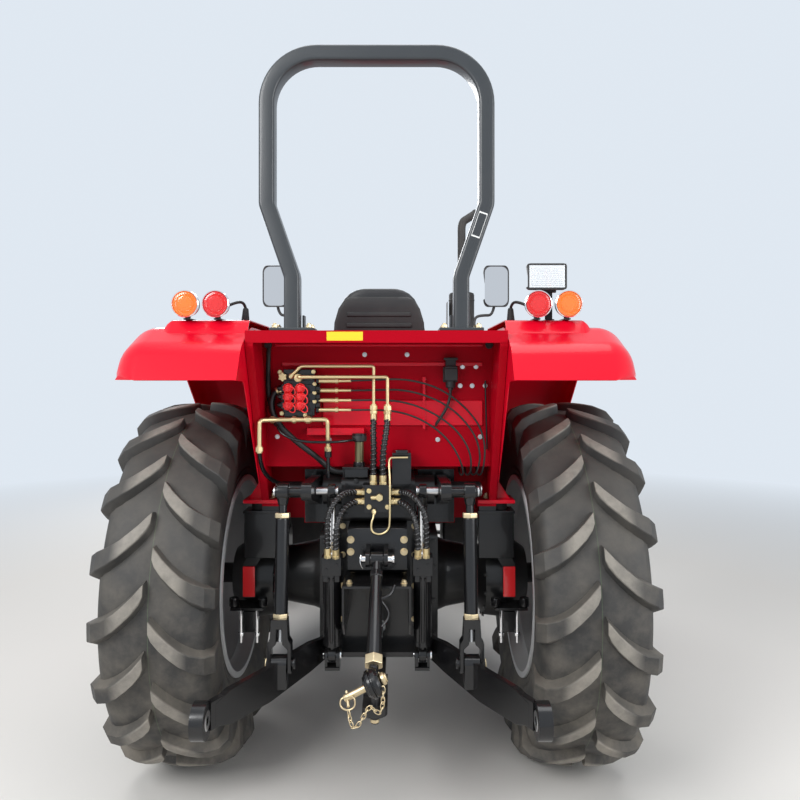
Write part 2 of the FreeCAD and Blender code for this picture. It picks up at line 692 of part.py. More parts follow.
def build_lift_rods():
    for hand, name in ((1, "right"), (-1, "left")):
        x = lift_rod_x
        top = V(x, arm_tip_y, arm_tip_z)
        low = V(x, lift_point_y, lift_point_z)
        eye = ring_x(x - 22, x + 22, top.y, top.z, 32, lift_pin_radius + running_fit)
        lean = (low - top).normalize()
        stem = rod(top + lean * 25, top + lean * 150, 15)
        tube = rod(top + lean * 95, low - lean * 175, 26)
        nut_top = rod(top + lean * 80, top + lean * 98, 29)
        nut_low = rod(low - lean * 178, low - lean * 160, 29)
        screw = rod(low - lean * 170, low - lean * 70, 16)
        inner = fork_half + side_play
        outer = inner + 14
        yoke = box(x - outer, x + outer, low.y - 24, low.y + 24, low.z + 60, low.z + 82)
        cheeks = [box(x + side * inner, x + side * outer, low.y - 24, low.y + 24, low.z - 26, low.z + 82)
                  if side > 0 else
                  box(x - outer, x - inner, low.y - 24, low.y + 24, low.z - 26, low.z + 82)
                  for side in (-1, 1)]
        pin = bar_x(x - outer - 10, x + outer + 10, low.y, low.z, lift_pin_radius)
        piece = fused([eye, stem, tube, nut_top, nut_low, screw, yoke, pin] + cheeks)
        save("lift_rod_" + name, piece if hand > 0 else mirrored(piece))


def build_lower_links():
    front = V(link_front_x, link_y, link_z)
    ball = V(ball_x, ball_y, ball_z)
    along = (ball - front).normalize()
    across = V(-along.y, along.x, 0) * (link_thickness / 2)
    for side, name in ((1, "right"), (-1, "left")):
        a = front + along * 20
        b = ball - along * 35
        points = [a + across, a - across, b - across, b + across]
        bar = Part.Face(Part.makePolygon(points + points[:1])).extrude(V(0, 0, link_depth))
        bar.translate(V(0, 0, -link_depth / 2))
        eye = bar_x(front.x - 20, front.x + 20, link_y, link_z, 40)
        ball_eye = bar_x(ball.x - 22, ball.x + 22, ball_y, ball_z, 60)
        x = lift_rod_x
        boss = plate_x([(lift_point_y - 34, link_z - 40), (lift_point_y - 34, lift_point_z + 30, 28),
                        (lift_point_y + 34, lift_point_z + 30, 28), (lift_point_y + 34, link_z - 40)],
                       x - fork_half, x + fork_half)
        link = fused([bar, eye, ball_eye, boss])
        link = link.cut(bar_x(front.x - 40, front.x + 40, link_y, link_z, link_pin_radius + running_fit))
        link = link.cut(bar_x(ball.x - 40, ball.x + 40, ball_y, ball_z, ball_bore_radius))
        link = link.cut(bar_x(x - 80, x + 80, lift_point_y, lift_point_z, lift_pin_radius + seat_gap))
        save("lower_link_" + name, link if side > 0 else mirrored(link))


def build_rams():
    for side, name in ((1, "right"), (-1, "left")):
        foot = V(ram_x, ram_foot_y, ram_foot_z)
        eye = V(ram_x, ram_eye_y, ram_eye_z)
        along = (eye - foot).normalize()
        gland = foot + along * 400
        barrel = fused([bar_x(foot.x - 15, foot.x + 15, foot.y, foot.z, 28),
                        rod(foot + along * 20, foot + along * 50, 13),
                        rod(foot + along * 42, foot + along * 330, ram_radius),
                        rod(foot + along * 320, gland, ram_radius + 4)])
        barrel = barrel.cut(bar_x(foot.x - 40, foot.x + 40, foot.y, foot.z, ram_pin_radius + running_fit))
        barrel = barrel.cut(rod(foot + along * 60, gland + along * 5, ram_rod_radius + running_fit))
        piston = fused([rod(foot + along * 200, eye - along * 20, ram_rod_radius),
                        bar_x(eye.x - 15, eye.x + 15, eye.y, eye.z, 28),
                        bar_x(eye.x - 26, arm_x0 - 5, eye.y, eye.z, ram_pin_radius)])
        save("lift_cylinder_" + name, barrel if side > 0 else mirrored(barrel))
        save("lift_ram_" + name, piston if side > 0 else mirrored(piston))


def build_top_link():
    start = V(0, top_pin_y, top_pin_z)
    end = start + V(0, -top_link_reach, -top_link_drop)
    along = (end - start).normalize()
    half = top_eye_width / 2
    eye = bar_x(-half, half, start.y, start.z, 28)
    tube = rod(start + along * 60, end - along * 110, 22)
    necks = [rod(start + along * 10, start + along * 80, 15), rod(end - along * 150, end - along * 20, 15)]
    nut = rod(end - along * 108, end - along * 80, 30)
    ball_eye = bar_x(-half, half, end.y, end.z, 42)
    handle = rod(start + along * 190 + V(5, 0, 0), start + along * 190 + V(60, 0, 0), 6)
    link = fused([eye, tube, nut, ball_eye, handle] + necks)
    link = link.cut(bar_x(-half - 5, half + 5, start.y, start.z, top_pin_radius + running_fit))
    pin = bar_x(-95, 45, end.y, end.z, top_pin_radius)
    head = bar_x(45, 55, end.y, end.z, 20)
    save("top_link", fused([link, pin, head]))


def build_hitch_frame():
    back_y = case_back - seat_gap
    back = plate_y([(-165, 575), (-165, 1105, 20), (165, 1105, 20), (165, 575)], back_y - 30, back_y)
    back = back.cut(bar_y_axis(back_y - 31, back_y + 1, 0, pto_z, pto_radius + pto_collar))
    bracket = plate_x([(back_y - 25, 925), (back_y - 25, 1106), (-470, 1106, 20), (-490, 1060),
                       (-490, 940), (-470, 925, 20)], -118, 118)
    guard_top = box(-guard_half, guard_half, -600, back_y - 20, 897, 907)
    pin = bar_x(-60, 60, top_pin_y, top_pin_z, top_pin_radius)
    cross = box(-152, 152, -420, back_y - 20, 565, 585)
    pairs = []
    for side in (-1, 1):
        ear_x = top_eye_width / 2 + side_play
        ear = taper_plate((-480, top_pin_z), (top_pin_y, top_pin_z), 45, 30, ear_x, ear_x + 16)
        guard = plate_x([(back_y - 25, 700), (back_y - 25, 900), (-600, 900), (-600, 760, 20),
                         (-540, 700, 20)], guard_half - 8, guard_half)
        eye_inner = link_front_x - 20 - side_play
        cheek = plate_x([(back_y - 15, link_z - 40), (back_y - 15, link_z + 60),
                         (link_y - 30, link_z + 60, 30), (link_y - 40, link_z - 40, 30)],
                        eye_inner - 14, eye_inner)
        link_pin = bar_x(eye_inner - 14, link_front_x + 19, link_y, link_z, link_pin_radius)
        inner = ram_x - 15 - side_play
        outer = ram_x + 15 + side_play
        foot_arm = plate_x([(back_y - 25, 556), (back_y - 25, 615), (ram_foot_y - 28, 622, 28),
                            (ram_foot_y - 28, 556, 10)], inner - 14, inner)
        lug = plate_x([(ram_foot_y + 28, 556), (ram_foot_y + 28, 622, 20), (ram_foot_y - 28, 622, 28),
                       (ram_foot_y - 28, 556, 10)], outer, outer + 10)
        floor = box(inner - 14, outer + 10, ram_foot_y - 28, ram_foot_y + 28, 546, 558)
        ram_pin = bar_x(inner - 14, outer + 10, ram_foot_y, ram_foot_z, ram_pin_radius)
        half = fused([ear, guard, cheek, link_pin, foot_arm, lug, floor, ram_pin])
        pairs += [half if side > 0 else mirrored(half)]
    save("hitch_frame", fused([back, bracket, guard_top, pin, cross] + pairs))


def build_pto_and_drawbar():
    save("pto_shaft", fused([bar_y_axis(-450, -210, 0, pto_z, pto_radius),
                             bar_y_axis(case_back + 4, -210, 0, pto_z, pto_radius + pto_collar - 0.1)]))
    z = drawbar_z
    beam = plate_z([(-32, 150), (-32, -690), (-45, -700), (-45, -812, 40), (45, -812, 40), (45, -700),
                    (32, -690), (32, 150)], z - 15, z + 15)
    upper = plate_z([(-45, -685), (-45, -812, 40), (45, -812, 40), (45, -685)], z + 75, z + 90)
    riser = box(-45, 45, -705, -685, z + 10, z + 90)
    pin = bar_z(z - 50, z + 105, 0, -768, 15)
    hanger = plate_y([(-70, z + 14, 8), (-70, 559.7), (70, 559.7), (70, z + 14, 8)], -180, -120)
    save("drawbar", fused([beam, upper, riser, pin, hanger]))


# Body panels

def fender_band(inset, depth, x0, x1, rounding):
    """Solid under the fender's outline, as deep as depth, with its outer edge rounded."""
    upper = [(y, z, r) for y, z, r in fender_side]
    corners = []
    for i, (y, z, r) in enumerate(upper):
        here = V(0, y, z)
        before = V(0, *upper[max(i - 1, 0)][:2])
        after = V(0, *upper[min(i + 1, len(upper) - 1)][:2])
        d1 = (here - before).normalize() if i > 0 else (after - here).normalize()
        d2 = (after - here).normalize() if i < len(upper) - 1 else d1
        n1 = V(0, d1.z, -d1.y)
        n2 = V(0, d2.z, -d2.y)
        mid = (n1 + n2).normalize()
        scale = 1 / mid.dot(n1)
        corners.append((here + mid * (inset * scale), max(r - inset, 0), here + mid * (depth * scale),
                        max(r - depth, 0)))
    over = 0 if inset == 0 else 40
    start = (corners[0][0] - corners[1][0]).normalize() * over
    finish = (corners[-1][0] - corners[-2][0]).normalize() * over
    loop = [(y_in, r_in) for y_in, r_in, _, _ in corners]
    loop[0] = (loop[0][0] + start, 0)
    loop[-1] = (loop[-1][0] + finish, 0)
    back = [(p, r) for _, _, p, r in reversed(corners)]
    back[0] = (back[0][0] + finish, 0)
    back[-1] = (back[-1][0] + start, 0)
    wire = path([(V(x0, p.y, p.z), r) for p, r in loop + back], True)
    solid = Part.Face(wire).extrude(V(x1 - x0, 0, 0))
    if rounding:
        edges = []
        for edge in solid.Edges:
            box_e = edge.BoundBox
            if box_e.XMin > x1 - 0.01 and box_e.XMax < x1 + 0.01:
                if any(edge_on_line(edge, a, b) for a, b in zip(loop, loop[1:])):
                    edges.append(edge)
        solid = solid.makeFillet(rounding, edges)
    return solid


def edge_on_line(edge, a, b):
    """True where the edge lies on the upper outline, between the corners a and b or on an arc there."""
    p = edge.valueAt((edge.FirstParameter + edge.LastParameter) / 2)
    start, end = V(0, a[0].y, a[0].z), V(0, b[0].y, b[0].z)
    point = V(0, p.y, p.z)
    along = (end - start).normalize()
    t = (point - start).dot(along)
    distance = (point - start - along * t).Length
    return -1 < t < (end - start).Length + 1 and distance < 42


def lamp_ledge(inset):
    """Raised ledge over the fender's inner half, smaller by inset."""
    low = fender_top - 30
    across = plate_y([(fender_inner + inset, low), (fender_inner + inset, ledge_top - inset),
                      (ledge_outer - 28 - inset, ledge_top - inset), (ledge_outer - inset, fender_top - 4 - inset),
                      (ledge_outer - inset, low)], -700, 300)
    along = plate_x([(-552 + inset, low), (-500 + inset, ledge_top - inset), (60 - inset, ledge_top - inset),
                     (130 - inset, low)], fender_inner, fender_outer)
    return across.common(along)


def build_fenders():
    outer = fender_band(0, fender_skirt, fender_inner, fender_outer, fender_round)
    inner = fender_band(fender_sheet, fender_skirt + 60, fender_inner + fender_sheet,
                        fender_outer - fender_sheet, fender_round - fender_sheet)
    skin = outer.fuse(lamp_ledge(0)).cut(inner).cut(lamp_ledge(fender_sheet))
    skin = skin.cut(box(fender_inner - 1, fender_outer + 1, -800, -480, fender_flap - 200, fender_flap))
    corner_x, corner_z = fender_outer - flap_corner, fender_flap + flap_corner
    corner = box(corner_x, fender_outer + 1, -800, -480, fender_flap - 1, corner_z)
    skin = skin.cut(corner.cut(bar_y_axis(-801, -479, corner_x, corner_z, flap_corner)))
    wall_line = [(y, z - 2, r) for y, z, r in fender_side]
    wall = plate_x(wall_line + [(860, deck_z + 4.5, 0), (826, deck_z + 4.5, 0), (826, deck_z + 0.3, 0),
                                (-76, deck_z + 0.3, 0), (-240, deck_z + 110, 60), (-600, 1690, 60)],
                   fender_inner, fender_inner + fender_sheet)
    fender = fused([skin, wall])
    save("fender_right", fender)
    save("fender_left", mirrored(fender))


def build_platform():
    deck = plate_z([(-deck_half, side_shelf_y), (-330, side_shelf_y), (-330, -190), (330, -190),
                    (330, side_shelf_y), (deck_half, side_shelf_y), (deck_half, 830), (660, 850, 30),
                    (660, 1030, 30), (-660, 1030, 30), (-660, 850, 30), (-deck_half, 830)],
                   deck_z, deck_z + sheet)
    tunnel = plate_x([(-190, deck_z), (-190, tunnel_z), (350, tunnel_z, 40), (420, deck_z)], -330, 330)
    hollow = plate_x([(-186, deck_z - 5), (-186, tunnel_z - sheet), (348, tunnel_z - sheet, 36),
                      (415, deck_z - 5)], -326, 326)
    mouth = box(-165, 165, -200, -180, deck_z - 5, 1300)
    tub = fused([deck, tunnel]).cut(hollow).cut(mouth)
    shelf = box(-deck_half, deck_half, shelf_back, panel_y + sheet, shelf_z - sheet, shelf_z)
    band = box(-deck_half, deck_half, shelf_back, shelf_back + sheet, shelf_z - 47, shelf_z)
    panel = box(-deck_half, deck_half, panel_y, panel_y + sheet, tunnel_z - sheet, shelf_z)
    lower = box(-deck_half, deck_half, panel_y, -188, tunnel_z - sheet, tunnel_z)
    sides = []
    for side in (-1, 1):
        post = plate_x([(shelf_back + 3, shelf_z - 3), (shelf_back + 3, shelf_z - 60, 20), (-262, foot_z + 28),
                        (-262, foot_z), (-175, foot_z), (-190, tunnel_z, 30), (panel_y - 140, shelf_z - 3)],
                       deck_half - 30, deck_half)
        foot = box(deck_half - 80, deck_half, -262, -92, foot_z, foot_z + 28)
        side_shelf = box(329, deck_half, -190, side_shelf_y + sheet, tunnel_z - sheet, tunnel_z)
        riser = box(329, deck_half, side_shelf_y, side_shelf_y + sheet, deck_z, tunnel_z)
        joined = fused([post, foot, side_shelf, riser])
        sides.append(joined if side > 0 else mirrored(joined))
    save("platform", fused([tub, shelf, band, panel, lower] + sides))
    mounts = []
    for side in (-1, 1):
        block = box(deck_half - 73, 575, -85, 85, axle_seat_z + seat_gap, deck_z - seat_gap)
        arm = box(deck_half - 73, deck_half, -260, -84, 1020, foot_z - seat_gap)
        bracket = plate_y([(deck_half - 63, 1040), (deck_half, 1040), (586, 900), (586, 755), (534, 755), (534, 885)],
                          reflector_y + seat_gap, reflector_y + 6)
        mount = fused([block, arm, bracket])
        mounts.append(mount if side > 0 else mirrored(mount))
    save("axle_mounts", *mounts)


def build_roll_bar():
    corners = [(bar_foot_half, shelf_z + 10, 0), (bar_foot_half, bar_kink_low, 60),
               (bar_top_half, bar_kink_high, 60), (bar_top_half, bar_top - bar_wide / 2, bar_corner)]
    left = [(-x, z, r) for x, z, r in corners]
    line = [(V(x, bar_y, z), r) for x, z, r in corners + left[::-1]]
    wire = path(line)
    x0, z0 = corners[0][0], corners[0][1]
    half_w, half_d = bar_wide / 2, bar_deep / 2
    square = [(V(x0 - half_w, bar_y - half_d, z0), 10), (V(x0 + half_w, bar_y - half_d, z0), 10),
              (V(x0 + half_w, bar_y + half_d, z0), 10), (V(x0 - half_w, bar_y + half_d, z0), 10)]
    hoop = wire.makePipeShell([path(square, True)], True, False)
    plates = []
    for side in (-1, 1):
        x = side * bar_foot_half
        plates.append(box(x - 85, x + 85, bar_y - 45, bar_y + 90, shelf_z + seat_gap, shelf_z + 12))
    save("roll_bar", fused([hoop] + plates))


def hood_section(y, half, top_half, bottom, top, inset):
    """Outline of the hood across the tractor at one Y."""
    half, top_half, top = half - inset, top_half - inset, top - inset
    low = bottom - (20 if inset else 0)
    corners = [(half, low, 0), (half, top - 150, 70), (top_half, top, 60), (-top_half, top, 60),
               (-half, top - 150, 70), (-half, low, 0)]
    return path([(V(x, y, z), r) for x, z, r in corners], True)


def build_hood():
    sections = hood_sections
    outer = Part.makeLoft([hood_section(y, h, t, b, z, 0) for y, h, t, b, z in sections], True, True)
    inner_rows = [(sections[0][0] - 10,) + sections[0][1:]] + sections[1:-1]
    inner_rows.append((sections[-1][0] + 10,) + sections[-1][1:])
    inner = Part.makeLoft([hood_section(y, h, t, b, z, hood_sheet) for y, h, t, b, z in inner_rows], True, True)
    shell = outer.cut(inner)
    for i in range(louvre_count):
        y = hood_back + 195 + i * louvre_pitch
        for side in (-1, 1):
            x = side * sections[0][1]
            shell = shell.cut(box(x - 20, x + 20, y, y + louvre_wide, louvre_z0, louvre_z1))
    parts = [shell]
    start = hinge_x + hinge_width + 2
    for side in (-1, 1):
        knuckle = bar_x(start, start + hinge_width, hinge_y, hinge_z, hinge_radius)
        web = box(start, start + hinge_width, hinge_y, hood_back + 20, 1698, hinge_z)
        pin = bar_x(hinge_x, start + hinge_width, hinge_y, hinge_z, hinge_pin_radius)
        joined = fused([knuckle, web, pin])
        parts.append(joined if side > 0 else mirrored(joined))
    save("hood", fused(parts))

    frame = plate_y([(-283, 1000, 40), (-283, 1375, 70), (-195, 1508, 55), (195, 1508, 55), (283, 1375, 70),
                     (283, 1000, 40)], hood_front + seat_gap, hood_front + grille_depth)
    window = plate_y([(-window_half, window_z0, 20), (-window_half, window_z1, 20),
                      (window_half, window_z1, 20), (window_half, window_z0, 20)],
                     hood_front - 30, hood_front + 70)
    frame = frame.cut(window)
    lamp_hole = plate_y([(x, z, headlamp_corner) for x, z in headlamp], hood_front - 30, hood_front + 70)
    frame = frame.cut(lamp_hole).cut(mirrored(lamp_hole))
    slats = []
    for i in range(slat_count):
        z = window_z0 + 22 + i * slat_pitch
        slats.append(box(-window_half - 1, window_half + 1, hood_front + 12, hood_front + 32, z, z + slat_high))
    posts = [box(x - 5, x + 5, hood_front + 10, hood_front + 34, window_z0 - 1, window_z1 + 1)
             for x in (-window_half / 2, 0, window_half / 2)]
    save("grille", fused([frame] + slats + posts))
    (x0, z0), (_, z1), (x1, _), (x2, _) = headlamp
    inner = [(x0 + seat_gap, z0 + seat_gap), (x0 + seat_gap, z1 - seat_gap), (x1 - seat_gap, z1 - seat_gap),
             (x2 - 0.5, z0 + seat_gap)]
    lens = plate_y([(x, z, headlamp_corner) for x, z in inner], hood_front + 5, hood_front + 50)
    save("headlamps", lens, mirrored(lens))


def build_cowl():
    floor = deck_z + sheet + seat_gap
    shell = plate_y([(-cowl_half, floor, 0), (-cowl_half, 1560, 70), (-235, 1700, 60), (235, 1700, 60),
                     (cowl_half, 1560, 70), (cowl_half, floor, 0)], 905, cowl_back)
    dash = plate_x([(905, 1690), (860, 1800, 40), (985, 1850, 40), (1090, 1690)], -190, 190)
    dash_front = plate_x([(906, 1640), (870, 1690, 20), (906, 1760)], -190, 190)
    top = V(0, wheel_centre_y, wheel_centre_z)
    column = rod(V(0, column_y, column_z), top - steering_axis * (steering_hub_drop + seat_gap), column_radius)
    parts = [shell, dash, dash_front, column]
    for side in (-1, 1):
        knuckle = bar_x(hinge_x, hinge_x + hinge_width, hinge_y, hinge_z, hinge_radius)
        web = box(hinge_x, hinge_x + hinge_width, cowl_back - 14, hinge_y, 1690, hinge_z)
        web = web.cut(box(0, 200, cowl_back, hinge_y + 1, 1600, hinge_z - hinge_radius + 1))
        joined = fused([knuckle, web]).cut(bar_x(hinge_x - 1, hinge_x + hinge_width + 1, hinge_y, hinge_z,
                                                 hinge_pin_radius + running_fit))
        parts.append(joined if side > 0 else mirrored(joined))
    save("cowl", fused(parts))


def build_steering_wheel():
    centre = V(0, wheel_centre_y, wheel_centre_z)
    rim = Part.makeTorus(wheel_rim_radius, wheel_tube_radius, centre, steering_axis)
    hub = rod(centre - steering_axis * steering_hub_drop, centre + steering_axis * 14, wheel_hub_radius)
    spokes = []
    for angle in spoke_angles:
        spoke = rod(centre, centre + V(1, 0, 0) * (wheel_rim_radius - 4), spoke_radius)
        spoke.rotate(centre, steering_axis, angle)
        spokes.append(spoke)
    save("steering_wheel", fused([rim, hub] + spokes))


def build_seat():
    tunnel_seat = tunnel_z + seat_gap
    pan_bottom = plinth_top - 2
    plinth = box(-plinth_half, plinth_half, plinth_back, plinth_front, tunnel_seat, plinth_top)
    pan = plate_x([(seat_back, pan_bottom), (seat_back, seat_pan_top, 10), (seat_front, seat_pan_top, 10),
                   (seat_front, pan_bottom)], -seat_half, seat_half)
    back = plate_x([(-150, plinth_top), (-215, plinth_top), (-262, seat_shell_top - 20, 20),
                    (-235, seat_shell_top), (-195, 1560)], -seat_shell_half, seat_shell_half)
    save("seat_frame", fused([plinth, pan, back]))
    low = seat_pan_top + seat_gap
    cushion = plate_x([(cushion_back, low, 20), (cushion_back, cushion_top - 20, 30),
                       (cushion_front, cushion_top, 40), (cushion_front, low, 20)], -seat_half, seat_half)
    rest = plate_x([(-197.9, 1600, 20), (-237.9, rest_top, 40), (-130, rest_top - 30, 40), (-80, 1610, 40)],
                   -rest_half, rest_half)
    save("seat_pads", cushion, rest)


def build_controls():
    parts = []
    floor = deck_z + sheet
    for x, y, z, lean in levers:
        low = V(x, y, floor + 8)
        top = V(x, y + lean, z)
        parts.append(fused([rod(low, top, lever_radius), rod(top, top + V(0, 0, knob_height), knob_radius),
                            bar_z(floor + seat_gap, floor + boot_height, x, y, boot_radius)]))
    for x in pedals:
        arm = plate_x([(880, deck_z + 45), (904.7, deck_z + 45), (904.7, deck_z + 110), (740, deck_z + 170),
                       (735, deck_z + 155), (880, deck_z + 90)], x - pedal_arm_half, x + pedal_arm_half)
        pad = box(x - pedal_half, x + pedal_half, 725, 745, deck_z + 120, deck_z + 190)
        parts.append(fused([arm, pad]))
    save("levers_and_pedals", *parts)


def build_sides():
    tank = plate_x([(tank_y0, tank_bottom, 40), (tank_y0, tank_top, 40), (tank_y1, tank_top, 40),
                    (tank_y1, tank_bottom, 60)], tank_x0, tank_x1)
    middle = (tank_x0 + tank_x1) / 2
    filler = bar_z(tank_top - 2, tank_top + tank_cap_height, middle, tank_cap_y, tank_cap_radius)
    hanger = box(tank_x1 + seat_gap, -bell_half - seat_gap, hanger_y0, hanger_y1, hanger_z0, hanger_z1)
    save("fuel_tank", fused([tank, filler]), hanger)
    case = plate_x([(battery_y0, battery_bottom, 20), (battery_y0, battery_top, 20),
                    (battery_y1, battery_top, 20), (battery_y1, battery_bottom, 20)], battery_x0, battery_x1)
    hanger = box(bell_half + seat_gap, battery_x0 - seat_gap, hanger_y0, hanger_y1, hanger_z0, hanger_z1)
    save("battery_box", case, hanger)
    steps = []
    for side in (-1, 1):
        straps = [box(step_x0, step_x0 + step_sheet, y, y + step_strap, step_heights[0], deck_z - 5)
                  for y in (step_y0, step_y1 - step_strap)]
        treads = [box(step_x0, step_x1, step_y0, step_y1, z, z + tread_wall) for z in step_heights]
        lips = [box(step_x1 - 10, step_x1, step_y0, step_y1, z, z + tread_lip) for z in step_heights]
        bridge = box(step_x0, step_x0 + 51, step_y0, step_y1, deck_z - 13, deck_z - seat_gap)
        piece = fused(straps + treads + lips + [bridge])
        steps.append(piece if side > 0 else mirrored(piece))
    save("steps", *steps)


def build_exhaust():
    can = fused([bar_z(muffler_z0, muffler_z1, stack_x, stack_y, muffler_radius),
                 bar_z(muffler_z0 - 60, muffler_z0 + 10, stack_x, stack_y, feed_radius + 2)])
    tail = swept([(V(stack_x, stack_y, muffler_z1 - 5), 0), (V(stack_x, stack_y, stack_bend_z), 110),
                  (V(stack_x + stack_reach, stack_y, stack_top), 0)], tail_radius)
    feed = swept([(V(stack_x, stack_y, muffler_z0 - 40), 0), (V(stack_x, stack_y, exhaust_port_z0), 90),
                  (V(engine_half + exhaust_port_depth + seat_gap, stack_y, exhaust_port_z0), 0)], feed_radius)
    save("exhaust", fused([can, tail, feed]))


def build_lamps():
    lamps = []
    foot_bottom = ledge_top + seat_gap
    for x in lamp_places:
        shell = bar_y_axis(lamp_y0, lamp_y1, x, lamp_z, lamp_radius)
        foot = box(x - 14, x + 14, -490, -410, foot_bottom, 1945)
        lamps.append(fused([shell, foot]))
    work = plate_x([(-520, work_lamp_z0, 10), (-520, work_lamp_z1, 10), (-430, work_lamp_z1 - 10, 15),
                    (-430, work_lamp_z0 + 10, 15)], work_lamp_x0, work_lamp_x1)
    bracket = box(675, 705, -446, -440, foot_bottom, work_lamp_z0 + 25)
    save("work_lamp", fused([work, bracket]))
    reflectors = [box(x - reflector_half, x + reflector_half, reflector_y - 7, reflector_y, reflector_z0,
                      reflector_z1) for x in (-reflector_x, reflector_x)]
    save("tail_lamps", *lamps, *reflectors)


def build_mirrors():
    mirrors = []
    middle = (mirror_x0 + mirror_x1) / 2
    for side in (-1, 1):
        glass = plate_y([(mirror_x0, mirror_z0, 30), (mirror_x0, mirror_z1, 30), (mirror_x1, mirror_z1, 30),
                         (mirror_x1, mirror_z0, 30)], mirror_y0, mirror_y1)
        flange = bar_x(cowl_half + seat_gap, cowl_half + 9, 1010, 1500, 24)
        arm = swept([(V(cowl_half + 4, 1010, 1500), 0), (V(520, 1060, 1500), 60), (V(560, 1200, 2040), 60),
                     (V(middle, 1226, 2080), 40), (V(middle, 1226, 2270), 0)], mirror_arm_radius)
        grip = box(middle - 10, middle + 10, mirror_y1 - 1, 1240, 2240, 2290)
        piece = fused([glass, flange, arm, grip])
        mirrors.append(piece if side > 0 else mirrored(piece))
    save("mirrors", *mirrors)


# Valves, pipes, hoses and cables at the back

def build_valve():
    block = box(valve_x0, valve_x1, valve_back, panel_y - seat_gap, valve_z0, valve_z1)
    caps = [bar_y_axis(valve_back - 25, valve_back + 1, x, z, coupling_radius)
            for x in coupling_columns for z in coupling_rows]
    spools = [bar_x(valve_x1 - 1, spool_end, spool_y, z, spool_radius) for z in spool_heights]
    save("remote_valve", fused([block] + caps + spools))
    save("hydraulic_pipes",
         swept([(V(-353, -412, 1711), 0), (V(-315, -412, 1750), 25), (V(-17, -420, 1750), 30),
                (V(-17, -420, 1570), 0)], pipe_radius),
         swept([(V(-320, -430, 1702), 0), (V(-320, -450, 1706), 12), (V(40, -450, 1706), 30),
                (V(40, -450, 1570), 0)], pipe_radius))


def build_cords():
    feeds = [cord([V(-17, -420, 1569.7), V(-17, -420, 1530), V(-18, -436, 1480), V(-15, -450, 1420),
                   V(-17, -445, 1360), V(-18, -436, 1310), V(-18, -436, 1270.3)], feed_hose_radius),
             cord([V(40, -450, 1569.7), V(40, -450, 1530), V(34, -466, 1480), V(24, -472, 1420),
                   V(20, -462, 1360), V(22, -448, 1310), V(22, -448, 1270.3)], feed_hose_radius)]
    save("feed_hoses", *feeds)
    # Outer and inner hose of one lift cylinder, from the manifold's side to the cylinder's head.
    outer = [(52.3, -435, 1239), (84, -435, 1239), (113, -460, 1243), (135, -510, 1243),
             (163, -558, 1225), (188, -576, 1175), (192, -572, 1115), (192, -552, 1060), (192, -546, 1002)]
    inner = [(52.3, -452, 1205), (80, -452, 1205), (106, -478, 1202), (130, -522, 1190),
             (148, -562, 1160), (156, -578, 1115), (160, -566, 1060), (160, -546, 1002)]
    for side, name in ((1, "right"), (-1, "left")):
        hoses = [cord([V(side * x, y, z) for x, y, z in table], lift_hose_radius)
                 for table in (outer, inner)]
        save("lift_hoses_" + name, *hoses)
    # Each cable: the height of its spool, the points down to the right, and where it goes through the shelf.
    cables = []
    for start_z, shelf_x, rows in (
            (1689, 425, [(-90, -375, 1691), (0, -380, 1694), (90, -380, 1698), (180, -385, 1684),
                         (270, -385, 1650), (350, -375, 1590), (420, -366, 1510), (445, -362, 1420),
                         (440, -352, 1340)]),
            (1650, 400, [(-90, -375, 1650), (0, -380, 1652), (90, -380, 1654), (180, -385, 1636),
                         (270, -385, 1598), (345, -378, 1540), (405, -368, 1460), (425, -362, 1380),
                         (416, -352, 1325)]),
            (1609, 375, [(-90, -372, 1609), (0, -378, 1611), (90, -380, 1606), (180, -380, 1580),
                         (265, -380, 1535), (335, -375, 1475), (380, -366, 1400), (388, -352, 1332)]),
            (1569, 350, [(-90, -372, 1569), (0, -378, 1570), (85, -380, 1563), (170, -380, 1535),
                         (250, -378, 1485), (310, -370, 1420), (345, -358, 1350)])):
        under = [(shelf_x + 8, -325, 1297), (shelf_x, -275, 1285), (shelf_x - 2, -225, 1290)]
        points = [V(-164.5, -370, start_z)] + [V(*row) for row in rows + under]
        points += [V(shelf_x, -185, 1306), V(shelf_x, -185, tunnel_z - sheet - seat_gap)]
        cables.append(cord(points, cable_radius))
    save("control_cables", *cables)
    save("suction_hose", cord([V(-400.3, -352, 1650), V(-420, -352, 1650), V(-438, -356, 1630),
                               V(-446, -362, 1596), V(-436, -368, 1548), V(-404, -372, 1500),
                               V(-358, -374, 1455), V(-306, -370, 1412), V(-255, -354, 1372),
                               V(-205, -325, 1318), V(-175, -318, 1306), V(-150.3, -318, 1306)],
                              return_hose_radius))


def main():
    os.makedirs("parts", exist_ok=True)
    build_wheels()
    build_engine()
    build_transmission()
    build_lift_housing()
    build_front()
    build_radiator()
    build_front_axle()
    build_lift_arms()
    build_lift_rods()
    build_lower_links()
    build_rams()
    build_top_link()
    build_hitch_frame()
    build_pto_and_drawbar()
    build_fenders()
    build_platform()
    build_roll_bar()
    build_hood()
    build_cowl()
    build_steering_wheel()
    build_seat()
    build_controls()
    build_sides()
    build_exhaust()
    build_lamps()
    build_mirrors()
    build_valve()
    build_cords()


main()
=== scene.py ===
"""Looks of a farm tractor with a roll bar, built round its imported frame."""

import json
import logging
import math
from dataclasses import dataclass
from enum import Enum
from typing import Callable, Iterable, Optional, Sequence, Union

import bpy
from mathutils import Matrix, Vector

